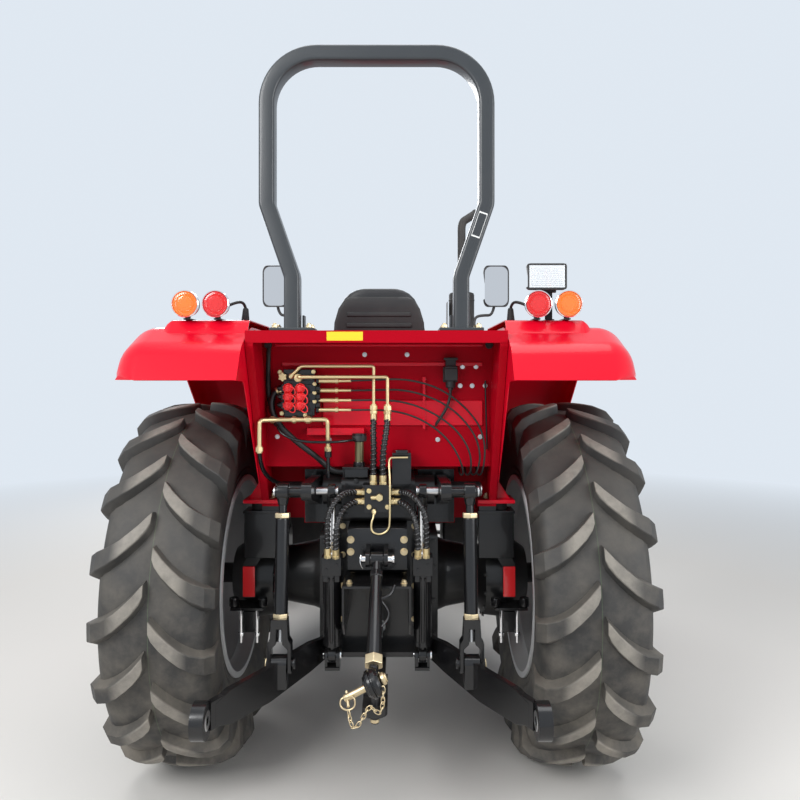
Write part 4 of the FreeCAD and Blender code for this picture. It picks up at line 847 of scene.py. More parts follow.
@dataclass
class Wheel(Assembly):
    """A driven wheel: a tyre with slanting lugs, and a dished rim with its hub and nuts."""

    word: str
    centre: Point
    diameter: float
    width: float
    rim_diameter: float
    rim_width: float
    lug_height: float
    pairs: int
    disc: float
    hub_radius: float
    shoulder_drop: float = 22.0
    rubber: str = "tyre_rear"
    # Shares at each place along a lug: way out, height, half width of its top, how far it lies back.
    stations: tuple[tuple[float, ...], ...] = (
        (0.035, -0.15, 0.72, 0.90), (0.05, 0.93, 0.72, 0.90), (0.10, 1.0, 0.92, 0.70),
        (0.22, 1.0, 0.98, 0.36), (0.36, 1.0, 1.0, 0.02), (0.52, 1.0, 1.04, -0.30),
        (0.68, 1.0, 1.12, -0.56), (0.84, 1.0, 1.22, -0.76), (0.965, 1.0, 1.32, -0.88),
        (1.03, 0.80, 1.34, -0.92), (1.16, 0.46, 1.36, -0.98), (1.34, 0.22, 1.30, -1.0),
        (1.50, 0.08, 1.2, -1.0), (1.54, -0.15, 1.2, -1.0))

    def carcass(self) -> list[tuple[float, float]]:
        """List the tyre's outline without lugs, from the middle of the tread to the bead.

        Returns:
            Pairs of distance from the middle and radius.
        """
        half = self.width / 2
        crown = self.diameter / 2 - self.lug_height
        seat = self.rim_diameter / 2 + 2
        wall = crown - seat
        bead = self.rim_width / 2 - 11
        return [(0, crown), (half * 0.35, crown - 2), (half * 0.62, crown - 8),
                (half * 0.80, crown - self.shoulder_drop * 0.8),
                (half * 0.90, crown - self.shoulder_drop * 1.5), (half * 0.955, crown - wall * 0.20),
                (half * 0.985, crown - wall * 0.33), (half * 0.99, crown - wall * 0.47),
                (half * 0.965, crown - wall * 0.62), (half * 0.915, crown - wall * 0.75),
                (half * 0.875, crown - wall * 0.80), (half * 0.865, crown - wall * 0.83),
                (half * 0.88, crown - wall * 0.85), (bead + 4, seat + 24), (bead, seat + 18),
                (bead - 1, seat + 2)]

    def surface(self, reach: float, height: float) -> tuple[float, float]:
        """Find the point that lies a given way along the outline and a given height off it.

        Args:
            reach: Distance along the outline from the middle of the tread.
            height: Distance off the rubber, outwards.

        Returns:
            Distance from the middle plane, and radius.
        """
        outline = self.carcass()
        left = reach
        for (x0, r0), (x1, r1) in zip(outline, outline[1:]):
            length = math.hypot(x1 - x0, r1 - r0)
            if left <= length or (x1, r1) == outline[-1]:
                share = left / length
                out = ((r0 - r1) / length, (x1 - x0) / length)
                return x0 + (x1 - x0) * share + out[0] * height, r0 + (r1 - r0) * share + out[1] * height
            left -= length
        return outline[-1]

    def lug(self) -> Piece:
        """Shape one lug of the right half, at the top of the tyre, from the tread's middle outwards."""
        rows = []
        for share, lift, top, lie in self.stations:
            reach, height = share * self.width * 0.51, lift * self.lug_height
            wide, back = top * self.width * 0.067, lie * self.width * 0.22
            foot = wide + max(height, 0) * 0.42 + 2
            row = []
            for across, level in ((-foot, -5), (-foot, 0.5), (-wide - 1.6, height - 2.2),
                                  (-wide + 2.2, height), (0, height + 0.6), (wide - 2.2, height),
                                  (wide + 1.6, height - 2.2), (foot, 0.5), (foot, -5)):
                level = min(level, height) if height > 0 else -5
                x, r = self.surface(reach, level)
                angle = (back + across) / (self.diameter / 2)
                r = min(r, self.diameter / 2 - 0.4)
                row.append(Vector(self.centre) + Vector((x, r * math.sin(angle), r * math.cos(angle))))
            rows.append(row)
        return smooth(skin("lug", rows, filled=True), math.radians(28))

    def tyre(self, node: str, body: str) -> Piece:
        """Build the tyre: a turned carcass, and two rings of lugs set half a pitch apart."""
        outline = self.carcass()
        profile = [(-x, r) for x, r in reversed(outline[1:])] + outline
        casing = turned("casing", self.centre, (1, 0, 0), profile, steps=120, ring=True)
        smooth(casing, math.radians(60))
        right = self.lug()
        left = copy_of(right, "lug_left")
        left.data.transform(Matrix.Translation(-place(*self.centre)))
        left.scale = (-1, 1, 1)
        left.rotation_euler = (math.pi / self.pairs, 0, 0)
        left.location = place(*self.centre)
        face_outwards(settle(left))
        rings = [repeated(piece, self.pairs, self.centre) for piece in (right, left)]
        tyre = self.add(node + "_rubber", [casing, *rings], "tyre_rubber", self.rubber, body)
        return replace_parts(tyre, node)

    def rim(self, node: str, body: str, side: Side) -> Piece:
        """Build the rim, its dished disc and the nuts."""
        seat = self.rim_diameter / 2
        half = self.rim_width / 2
        well = seat - 26
        out = side.value
        profile = [(-half, seat + 20), (-half + 7, seat + 21), (-half + 8, seat + 1), (-half + 48, seat - 4),
                   (-half + 70, well), (half - 70, well), (half - 48, seat - 4), (half - 8, seat + 1),
                   (half - 7, seat + 21), (half, seat + 20), (half, seat - 5), (half - 44, seat - 11),
                   (half - 66, well - 7), (-half + 66, well - 7), (-half + 44, seat - 11), (-half, seat - 5)]
        band = turned("band", self.centre, (1, 0, 0), profile, steps=96, ring=True)
        d = self.disc * out
        dish = [(d + 26 * out, well - 4), (d + 26 * out, well - 26), (d + 6 * out, well - 60),
                (d - 8 * out, self.hub_radius * 1.9), (d - 2 * out, self.hub_radius * 1.55),
                (d - 2 * out, self.hub_radius + 2), (d - 10 * out, self.hub_radius + 2),
                (d - 10 * out, self.hub_radius * 1.55), (d - 16 * out, self.hub_radius * 1.9),
                (d - 2 * out, well - 60), (d + 16 * out, well - 26), (d + 16 * out, well - 4)]
        disc = turned("disc", self.centre, (1, 0, 0), dish, steps=96, ring=True)
        parts = [band, disc]
        x, y, z = self.centre
        for face in (1, -1):
            outer = x + d + (4 * out if face == out else -11 * out)
            spot = points_along(Vector((outer, y, z + self.hub_radius + 38)), Vector((face, 0, 0)))
            parts.append(repeated(joined("nuts", [
                rod("washer", spot(-8), spot(3), 21), rod("nut", spot(3), spot(20), 18, 1.5, 6),
                rod("stud", spot(20), spot(30), 10)]), 8, self.centre))
        web = x + d + 10 * out
        lug = block("lug", (web - 6, y - 30, z + well - 34), (web + 6, y + 30, z + well - 2))
        parts.append(repeated(lug, 8, self.centre))
        rim = smooth(joined(node + "_rim", parts), math.radians(35))
        self.dress(rim, "rim_silver", "rim_silver", body)
        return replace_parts(rim, node)

    def hub(self, body: str, side: Side) -> Piece:
        """Build the black hub in the middle of the rim."""
        x, y, z = self.centre
        out = side.value
        d = x + self.disc * out
        r = self.hub_radius
        profile = [(-60, r * 0.8), (-12, r * 0.95), (-12, r * 1.14), (3, r * 1.14), (5, r), (20, r * 0.96),
                   (28, r * 0.86), (30, r * 0.45)]
        piece = turned(f"hub_{self.word}_{side.word}", (d, y, z), (out, 0, 0), profile, edge=1.5)
        return self.dress(piece, "wheel_black", "black_casting", body)

    def build(self, side: Side) -> None:
        """Build the wheel on one side."""
        body = f"wheel_{self.word}_{side.word}"
        self.tyre(f"{self.word}_tyre_{side.word}", body)
        self.rim(f"{self.word}_rim_{side.word}", body, side)
        self.hub(body, side)


# Shapes that several sub-assemblies use


def rounded(corners: Sequence[Corner], closed: bool = True, steps: int = 5) -> list[tuple[float, float]]:
    """Round the corners of a line or an outline.

    Args:
        corners: Two coordinates and the corner's radius, for each corner.
        closed: Whether the last corner joins the first.
        steps: Faces round each corner.

    Returns:
        Points along the rounded line.
    """
    made: list[tuple[float, float]] = []
    count = len(corners)
    for i, (a, b, radius) in enumerate(corners):
        here = Vector((a, b))
        if radius <= 0 or (not closed and i in (0, count - 1)):
            made.append((a, b))
            continue
        back = Vector(corners[i - 1][:2]) - here
        ahead = Vector(corners[(i + 1) % count][:2]) - here
        back_way, ahead_way = back.normalized(), ahead.normalized()
        half = back_way.angle(ahead_way) / 2
        reach = min(radius / math.tan(half), 0.499 * back.length, 0.499 * ahead.length)
        size = reach * math.tan(half)
        centre = here + (back_way + ahead_way).normalized() * (size / math.sin(half))
        first, last = here + back_way * reach - centre, here + ahead_way * reach - centre
        sweep = first.angle_signed(last)
        for step in range(steps + 1):
            turn = sweep * step / steps
            point = Vector((first.x * math.cos(turn) + first.y * math.sin(turn),
                            first.y * math.cos(turn) - first.x * math.sin(turn))) + centre
            made.append((point.x, point.y))
    return made


def line_normals(line: Sequence[tuple[float, float]]) -> list[Vector]:
    """Give each point of an open line its normal, a quarter turn to the left of the way it runs."""
    found = []
    for i, point in enumerate(line):
        before = Vector(point) - Vector(line[i - 1]) if i > 0 else Vector((0, 0))
        after = Vector(line[i + 1]) - Vector(point) if i < len(line) - 1 else Vector((0, 0))
        way = sum((step.normalized() for step in (before, after) if step.length), Vector((0, 0))).normalized()
        found.append(Vector((-way.y, way.x)))
    return found


def hex_bolt(name: str, head: Point, way: Point, size: float = 9.0, height: float = 8.0,
             washer: bool = True, stud: float = 0.0) -> Piece:
    """Make a hexagon head that stands on a surface.

    Args:
        name: Name of the piece.
        head: Point on the surface.
        way: Direction that the head stands out, a unit vector.
        size: Radius to the corners.
        height: Height of the head.
        washer: Whether it lies on a washer.
        stud: Length of thread that sticks out of it.

    Returns:
        The new piece.
    """
    spot = points_along(Vector(head), Vector(way))
    level = 2.0 if washer else -0.8
    top = level + height
    parts = [rod("washer", spot(-0.8), spot(2.2), size * 1.25, 0.4, 20)] if washer else []
    parts.append(rod("head", spot(level), spot(top), size, 0.9, 6))
    if stud:
        parts.append(rod("stud", spot(top - 1), spot(top + stud), size * 0.55, 0.7, 16))
    return joined(name, parts)


def bolts(name: str, rows: Iterable[tuple[Point, Point, float]], stud: float = 0.0) -> Piece:
    """Make several hexagon heads as one piece, from rows of place, direction and size."""
    return joined(name,
                  [hex_bolt("bolt", head, way, size, size * 0.8, stud=stud) for head, way, size in rows])


def union_nut(start: Point, end: Point, radius: float) -> Piece:
    """Make a pipe's union: a hexagon with a collar at each end."""
    spot = points_along(Vector(start), Vector(end) - Vector(start))
    return joined("union", [rod("hexagon", spot(0.2), spot(0.8), radius, 1.0, 6),
                            rod("collar", start, end, radius * 0.72, 0.8, 20)])


# Panels


@dataclass
class Fender(Assembly):
    """The curved fender over a rear wheel, with its inner wall and the ledge for the lamps."""

    inner: float = 505.0
    outer: float = 985.0
    sheet: float = 5.0
    skirt: float = 125.0
    round: float = 110.0
    flap: float = 1697.0
    ledge_outer: float = 846.0
    side_line: tuple[Corner, ...] = ((-735, 1697, 0), (-655, 1825, 150), (-480, 1905, 170), (200, 1905, 300),
                                     (690, 1490, 280), (860, 1110, 0))

    def shell(self) -> Piece:
        """Form the sheet: flat across, rounded and turned down outside, with a rounded corner at the flap."""
        line = rounded(self.side_line, closed=False, steps=12)
        finer = []
        for (y0, z0), (y1, z1) in zip(line, line[1:]):
            pieces = max(1, round(math.hypot(y1 - y0, z1 - z0) / 40))
            finer += [(y0 + (y1 - y0) * i / pieces, z0 + (z1 - z0) * i / pieces) for i in range(pieces)]
        finer.append(line[-1])
        rows = []
        for (y, z), normal in zip(finer, line_normals(finer)):
            inwards = -normal
            room = self.skirt if inwards.y >= -1e-6 or y > -300 else (z - self.flap + 0.5) / -inwards.y
            deepest = max(0.5, min(self.skirt, room))
            flat = self.outer - self.round - self.inner
            row = [(self.inner + flat * i / 5, 0.0) for i in range(6)]
            last = math.acos(max(-1.0, 1 - min(deepest, self.round) / self.round))
            for i in range(1, 13):
                turn = last * i / 12
                row.append((self.inner + flat + self.round * math.sin(turn),
                            self.round * (1 - math.cos(turn))))
            row.append((row[-1][0], max(deepest, row[-1][1] + 0.3)))
            rows.append([(x, y + inwards.x * depth, z + inwards.y * depth) for x, depth in row])
        return smooth(soften(thicken(skin("shell", rows), self.sheet), 1.6), math.radians(50))

    def ledge(self) -> Piece:
        """Form the raised ledge that carries the lamps."""
        rows = []
        for y, z in rounded(((-548, 1868, 0), (-500, 1932, 26), (60, 1932, 30), (126, 1890, 0)), False, 5):
            rows.append([(self.inner + 1, y, z)] + [
                (x, y, max(z, 1868) + drop) for x, drop in
                ((self.inner + 60, 0), (self.ledge_outer - 60, 0), (self.ledge_outer - 36, -0.6),
                 (self.ledge_outer - 28, -2.5), (self.ledge_outer - 14, -14), (self.ledge_outer - 3, -30))])
        return smooth(thicken(skin("ledge", rows), 4), math.radians(50))

    def wall(self) -> Piece:
        """Cut the upright inner wall."""
        corners = [(y, z - 3, r) for y, z, r in self.side_line] + [
            (856, 1069.5, 0), (-76, 1069.5, 0), (-240, 1175, 60), (-600, 1690, 60)]
        return plate("wall", rounded(corners, True, 6), "x", self.inner + 0.4, self.inner + 5, 0.8, 1)

    def build(self, side: Side) -> None:
        """Build the fender of one side."""
        piece = joined("fender", [self.shell(), self.ledge(), self.wall()])
        if side is Side.LEFT:
            right = piece
            piece = mirrored(right, "fender")
            bpy.data.objects.remove(right)
        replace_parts(self.add(f"fender_panel_{side.word}", [piece], "red_paint", "red_gloss"),
                    f"fender_{side.word}")


@dataclass
class RollBar(Assembly):
    """The hoop of box section over the seat, with its foot plates and bolts."""

    wide: float = 60.0
    deep: float = 80.0
    place_y: float = -550.0
    foot_half: float = 327.0
    top_half: float = 424.0
    top: float = 2985.0
    corner: float = 195.0
    foot: float = 1895.0

    def hoop(self) -> Piece:
        """Sweep the rounded box section up, over and down."""
        right = [(self.foot_half, self.foot, 0), (self.foot_half, 2095, 70), (self.top_half, 2374, 70),
                 (self.top_half, self.top - self.wide / 2, self.corner)]
        line = rounded(right + [(-x, z, r) for x, z, r in reversed(right)], False, 14)
        section = rounded([(self.wide / 2, -self.deep / 2, 11), (self.wide / 2, self.deep / 2, 11),
                           (-self.wide / 2, self.deep / 2, 11), (-self.wide / 2, -self.deep / 2, 11)],
                          True, 4)
        section.append(section[0])
        rows = []
        for (x, z), normal in zip(line, line_normals(line)):
            rows.append([(x + normal.x * a, self.place_y + b, z + normal.y * a) for a, b in section])
        return smooth(skin("hoop", rows, closed=True, filled=True), math.radians(40))

    def build(self) -> None:
        """Build the hoop, its foot plates, their bolts and the blank plate on its right leg."""
        parts = [self.hoop()]
        heads = []
        y = self.place_y
        for sign in SIGNS:
            x = sign * self.foot_half
            parts.append(block("foot", (x - 85, y - 45, 1885.3), (x + 85, y + 90, 1897), 2.5))
            parts += [block("gusset", (x + way * 40, y + 36, 1896), (x + way * 32, y + 86, 1950), 2)
                      for way in SIGNS]
            heads += [((x + across, y + along, 1897), UP, 12) for across in (-66, 66) for along in (-25, 68)]
        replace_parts(self.add("roll_bar_hoop", parts, "bar_grey", "bar_charcoal"), "roll_bar")
        self.dress(bolts("roll_bar_bolts", heads, 6), "zinc_yellow", "yellow_zinc")
        low, high = Vector((378, 2243)), Vector((411, 2338))
        across = (high - low).normalized()
        edge = Vector((across.y, -across.x)) * 17
        outline = [low - edge, low + edge, high + edge, high - edge]
        face = y - self.deep / 2
        rim = plate("bar_plate_edge", outline, "y", face - 1.0, face + 1, 0.3, 1)
        self.dress(rim, "valve_metal", "plate_white")
        middle = (low + high) / 2
        inner = [middle + (point - middle) * 0.88 for point in outline]
        self.dress(plate("bar_plate", inner, "y", face - 1.6, face, 0.3, 1), "bar_grey", "bar_charcoal")


@dataclass
class RearPanel(Assembly):
    """What lies on the red panel behind the seat: rib, strap, plates, bolts, socket and grommets."""

    face: float = -300.0

    def build(self) -> None:
        """Build the fittings of the panel."""
        y = self.face
        self.add("panel_rib", [
            block("rib", (-236, y - 9, 1500), (440, y + 0.5, 1606), 4),
            block("flange", (-300, y - 42, 1462), (-60, y + 0.5, 1492), 3),
            block("upper_rib", (-410, y - 6, 1752), (440, y + 0.5, 1768), 3),
            block("seam", (-440, y - 4, 1835), (440, y + 0.5, 1845), 2)], "red_paint", "red_gloss")
        self.add("panel_strap", [
            block("strap", (186, y - 14, 1486), (197, y - 9.5, 1700), 1),
            block("hook", (184, y - 20, 1690), (199, y - 0.5, 1706), 2)], "red_paint", "red_gloss")
        label = block("blank_plate", (-190, -601.2, 1846), (-52, -599, 1880), 0.4, 1)
        self.dress(label, "valve_metal", "plate_yellow")
        heads = [((x, y, z), BACK, 8.0) for x, z in
                 ((303, 1749), (355, 1749), (412, 1749), (345, 1668), (396, 1668), (451, 1668), (-60, 1800),
                  (120, 1800), (-430, 1452), (430, 1452), (-210, 1440), (250, 1440))]
        self.dress(bolts("panel_bolts", heads), "zinc_yellow", "bright_steel")
        self.add("trailer_socket", [
            rod("body", (303, y + 1, 1715), (303, y - 46, 1710), 27, 3),
            block("lid", (275, y - 58, 1690), (331, y - 45, 1742), 5),
            rod("hinge", (278, y - 50, 1746), (328, y - 50, 1746), 6, 1),
            block("lever", (281, y - 40, 1744), (325, y - 6, 1782), 5),
            block("lever_lip", (274, y - 44, 1776), (332, y - 3, 1787), 3),
            rod("neck", (303, y - 24, 1692), (303, y - 24, 1660), 21, 4),
            rod("nut", (303, y - 24, 1662), (303, y - 24, 1650), 13, 2, 6),
            wire("lead", [(303, y - 24, 1656), (302, y - 27, 1620), (286, y - 27, 1576), (264, y - 22, 1538),
                          (246, y - 14, 1512), (240, y + 1, 1500)], 6.5),
            block("plate", (272, y - 8, 1683), (334, y + 0.5, 1747), 3)], "lever_black", "plastic_black")
        seals = []
        for x in SIGNS:
            seals += [rod("grommet", (545 * x, -395, 1932), (545 * x, -388, 1990), 17, 6, end_radius=11),
                      wire("loom", [(545 * x, -388, 1985), (548 * x, -400, 2012), (575 * x, -430, 2010),
                                    (600 * x, -462, 1992)], 6),
                      rod("boot", (466 * x, -330, 1840), (466 * x, -306, 1840), 16, 4),
                      rod("puck", (x * 520, -200, 1128), (x * 520, -200, 1162), 38, 5)]
        seals += [wire("breather", [(-462, y + 8, 1868), (-462, y - 24, 1836), (-463, y - 30, 1780),
                                    (-463, y - 34, 1700), (-461, y - 36, 1640), (-452, y - 34, 1580),
                                    (-436, y - 24, 1530), (-430, y + 1, 1508)], 10),
                  rod("grommet", (-430, y + 1, 1509), (-430, y - 6, 1512), 17, 3)]
        self.add("panel_grommets", seals, "lever_black", "rubber_black")
        soles, feet = [], []
        for x in SIGNS:
            gusset = [(500 * x, 1176), (568 * x, 1176), (512 * x, 1262), (500 * x, 1262)]
            soles += [block("sole", (424 * x, -266, 1161), (584 * x, -136, 1177), 3),
                      plate("gusset", gusset, "y", -236, -228, 2)]
            feet += [((x * 465, -215, 1178), UP, 13), ((x * 548, -200, 1177), UP, 12),
                     ((x * 485, -130, 1178), UP, 9)]
        self.add("post_soles", soles, "red_paint", "red_gloss")
        self.dress(bolts("post_bolts", feet, 8), "zinc_yellow", "yellow_zinc")


# Lamps and mirrors


@dataclass
class Lamps(Assembly):
    """Tail lamps, reflectors and the work lamp."""

    tail_height: float = 1992.0
    tail_radius: float = 54.0
    tail_face: float = -543.0
    work_x: float = 668.0
    work_z: float = 2102.0
    ledge: float = 1932.0
    # Place, finish and word of each tail lamp.
    tails: tuple[tuple[float, str, str], ...] = (
        (-749, "lens_orange", "outer_left"), (-630, "lens_red", "inner_left"),
        (630, "lens_red", "inner_right"), (749, "lens_orange", "outer_right"))

    def tail_lamp(self, x: float, finish: str, word: str) -> None:
        """Build one round tail lamp: chrome rim, black shell and bracket, ringed lens with beads."""
        y, z, r = self.tail_face, self.tail_height, self.tail_radius
        rim = turned(f"lamp_rim_{word}", (x, y - 2, z), BACK,
                     [(-16, r - 3), (-12, r - 0.6), (1, r - 0.5), (3, r - 4), (0, r - 6), (-4, r - 7),
                      (-16, r - 9)], steps=48, ring=True)
        self.dress(rim, "lamp_lens", "chrome")
        shell = turned("shell", (x, y - 2, z), BACK,
                       [(-75, 12), (-74, 26), (-62, 42), (-40, 48), (-13, 50), (-10, 40)], steps=48)
        bracket = block("bracket", (x - 13, -520, self.ledge + 0.3), (x + 13, -430, self.ledge + 6), 1.5)
        upright = block("upright", (x - 11, -506, self.ledge + 5), (x + 11, -500, z - 44), 1.5)
        nut = hex_bolt("nut", (x, -506, self.ledge + 6), UP, 8, 7)
        self.add(f"lamp_shell_{word}", [shell, bracket, upright, nut], "lamp_black", "plastic_black")
        lens = turned("lens", (x, y, z), BACK,
                      [(-6, r - 8), (0, r - 7.5), (2, r - 11), (2.5, r - 17), (0.8, r - 19), (0.8, r - 21),
                       (3.2, r - 23), (4.2, r - 32), (4.6, r - 42), (4.7, 4)], steps=48)
        beads = []
        for radius, count, size in ((r - 13.5, 30, 2.6), (r - 28, 18, 3.6), (r - 39, 11, 3.8)):
            bead = rod("bead", (x, y - 1.5, z + radius), (x, y - 5.2, z + radius), size, 0, 8, size * 0.35)
            beads.append(repeated(bead, count, (x, y, z), "Y"))
        self.add(f"lamp_lens_{word}", [lens, *beads], "lamp_lens", finish)

    def work_lamp(self) -> None:
        """Build the square work lamp above the right fender."""
        x, z = self.work_x, self.work_z
        square = rounded([(-1, -1, 0.2), (1, -1, 0.2), (1, 1, 0.2), (-1, 1, 0.2)], True, 4) + [(-0.8, -1)]
        rows = [[(x + a * wide, y, z + b * high) for a, b in square] for y, wide, high in (
            (-520, 76, 50), (-519, 79, 52), (-500, 79, 52), (-497, 76, 49), (-470, 72, 45), (-440, 50, 34),
            (-431, 44, 30))]
        parts = [smooth(skin("case", rows, closed=True, filled=True), math.radians(35))]
        parts += [block("rib", (x - 62, -452 + i * 3, z + 44), (x + 62, -449 + i * 3, z + 48), 0.8)
                  for i in range(4)]
        parts += [block("arm", (x + 7, -446, self.ledge + 0.5), (x + 37, -440, z - 27), 1.5),
                  block("foot", (x + 4, -470, self.ledge + 0.3), (x + 40, -420, self.ledge + 6), 1.5),
                  block("yoke", (x - 13, -452, z - 56), (x + 52, -438, z - 42), 3)]
        for way in (1, -1):
            parts += [block("rim", (x - 76, -524, z + way * 47 - 3), (x + 76, -518, z + way * 47 + 3), 2),
                      block("rim", (x + way * 73 - 3, -524, z - 49), (x + way * 73 + 3, -518, z + 49), 2)]
        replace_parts(self.add("work_lamp_case", parts, "lamp_black", "plastic_black"), "work_lamp")
        glass = [block("glass", (x - 70, -522.5, z - 44), (x + 70, -519, z + 44), 1.5)]
        glass += [block("rib", (x - 62, -524.5, z - 36 + i * 8), (x + 62, -521, z - 31 + i * 8), 1.2, 1)
                  for i in range(9)]
        self.add("work_lamp_glass", glass, "lamp_glass", "lens_clear")

    def build(self) -> None:
        """Build all the lamps."""
        for x, finish, word in self.tails:
            self.tail_lamp(x, finish, word)
        plates = [block("reflector", (x * 534, -262, 760), (x * 586, -255.5, 890), 3) for x in SIGNS]
        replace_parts(self.add("reflectors", plates, "lamp_lens", "reflector_red"), "tail_lamps")
        self.work_lamp()


@dataclass
class Mirrors(Assembly):
    """The two outside mirrors on their bent arms."""

    centre: tuple[float, float] = (700.0, 2272.0)

    def build(self) -> None:
        """Build both mirrors."""
        middle, height = self.centre
        corners = [(-1, -1, 0.35), (1, -1, 0.35), (1, 1, 0.35), (-1, 1, 0.35)]
        square = rounded(corners, True, 6) + [(-0.65, -1)]
        for side in Side:
            sign = side.value
            arm = wire("arm", [(x * sign, y, z) for x, y, z in (
                (304, 1010, 1500), (520, 1060, 1500), (545, 1110, 1540), (560, 1200, 2020), (566, 1207, 2076),
                (610, 1216, 2090), (middle, 1226, 2090), (middle, 1226, 2270))], 9)
            flange = rod("flange", (300.4 * sign, 1010, 1500), (309 * sign, 1010, 1500), 24, 1.5)
            rows = [[((middle + a * wide) * sign, y, height + b * high) for a, b in square]
                    for y, wide, high in ((1187, 76, 127), (1185, 80, 131), (1190, 82, 132), (1204, 78, 128),
                                          (1213, 62, 112), (1215, 40, 90))]
            case = smooth(skin("case", rows, closed=True, filled=True), math.radians(40))
            grip = block("grip", (sign * (middle - 20), 1212, 2240), (sign * (middle + 20), 1236, 2300), 4)
            frame = self.add(f"mirror_case_{side.word}", [arm, flange, case, grip], "mirror_black",
                             "plastic_black")
            if side is Side.RIGHT:
                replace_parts(frame, "mirrors")
            outline = rounded([(sign * middle + a * 73, height + b * 124, 40)
                               for a, b in ((-1, -1), (1, -1), (1, 1), (-1, 1))], True, 6)
            glass = plate(f"mirror_glass_{side.word}", outline, "y", 1184, 1186, 0.4, 1)
            self.dress(glass, "mirror_black", "mirror_glass")


# Hoses, cables and pipes


@dataclass
class Cord(Assembly):
    """A free hose or cable, drawn along the same guiding points as in the part."""

    name: str
    route: Sequence[Point]
    radius: float
    slot: str = "hose_rubber"
    finish: str = "hose_black"
    bodies: tuple[str, ...] = ("chassis",)
    stiffness: str = "medium"

    def centreline(self) -> list[Vector]:
        """Read the points that the cord follows, from its smooth curve.

        Returns:
            Points in the row frame, in metres.
        """
        guide = path_curve("guide", self.route, 0, True, 16)
        guide.data.bevel_depth = 0
        guide.data.use_fill_caps = False
        bpy.context.view_layer.update()
        depsgraph = bpy.context.evaluated_depsgraph_get()
        line = bpy.data.meshes.new_from_object(guide.evaluated_get(depsgraph))
        points = [vertex.co.copy() for vertex in line.vertices]
        bpy.data.objects.remove(guide)
        bpy.data.meshes.remove(line)
        return points

    def coil(self, line: Sequence[Vector], start: float, end: float, pitch: float = 20.0,
             thick: float = 4.8) -> Piece:
        """Wind the spiral guard round the hose.

        Args:
            line: The hose's centreline.
            start: Where the guard starts, in millimetres from the hose's start.
            end: How far before the hose's end it stops.
            pitch: Distance from turn to turn.
            thick: Half thickness of the guard.

        Returns:
            The guard as a mesh.
        """
        lengths = [0.0]
        for a, b in zip(line, line[1:]):
            lengths.append(lengths[-1] + (b - a).length)
        normal = (line[1] - line[0]).orthogonal().normalized()
        points = []
        stop = lengths[-1] / MILLIMETRE - end
        step = pitch / 10
        at, index = start, 0
        while at < stop:
            metres = at * MILLIMETRE
            while index < len(lengths) - 2 and lengths[index + 1] < metres:
                index += 1
            way = (line[index + 1] - line[index]).normalized()
            normal = (normal - way * normal.dot(way)).normalized()
            share = (metres - lengths[index]) / (lengths[index + 1] - lengths[index])
            centre = line[index].lerp(line[index + 1], share)
            turn = 2 * math.pi * at / pitch
            out = normal * math.cos(turn) + way.cross(normal) * math.sin(turn)
            points.append((centre + out * (self.radius - 1.0) * MILLIMETRE) / MILLIMETRE
                          - Vector((0, AXLE_TO_ROW, 0)))
            at += step
        return wire("coil", points, thick, False, 4)

    def sleeve(self, line: Sequence[Vector], at_start: bool) -> Piece:
        """Crimp a brass sleeve and its nut on one end of the hose."""
        end, inside = (line[0], line[4]) if at_start else (line[-1], line[-5])
        spot = points_along(end / MILLIMETRE - Vector((0, AXLE_TO_ROW, 0)), (inside - end).normalized())
        return joined("sleeve", [
            rod("nut", spot(0.5), spot(13), self.radius + 5.5, 1.2, 6),
            rod("collar", spot(12), spot(17), self.radius + 2.0, 0.8, 20),
            rod("sleeve", spot(16), spot(40), self.radius + 3.2, 1.5, 24)])

    def build(self, guard: bool = False, sleeves: bool = False) -> Piece:
        """Args:
            guard: Whether a spiral guard is wound round it.
            sleeves: Whether brass sleeves hold its ends.

        Returns:
            The cord itself.
        """
        line = self.centreline()
        hose = wire(self.name, self.route, self.radius, True, 12)
        on_it = []
        if guard:
            bare = 36 if sleeves else 4
            coil = self.coil(line, bare, bare)
            coil.name = self.name + "_guard"
            on_it.append((coil, "guard_black", self.slot))
        if sleeves:
            for at_start, word in ((True, "first"), (False, "last")):
                sleeve = self.sleeve(line, at_start)
                sleeve.name = f"{self.name}_{word}_fitting"
                on_it.append((sleeve, "brass", "zinc_yellow"))
        for piece, finish, slot in [(hose, self.finish, self.slot)] + on_it:
            piece.data.materials.clear()
            piece.data.materials.append(self.finishes[finish])
            if len(self.bodies) == 2:
                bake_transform(piece)
            else:
                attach(piece, self.bodies[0])
        return hose


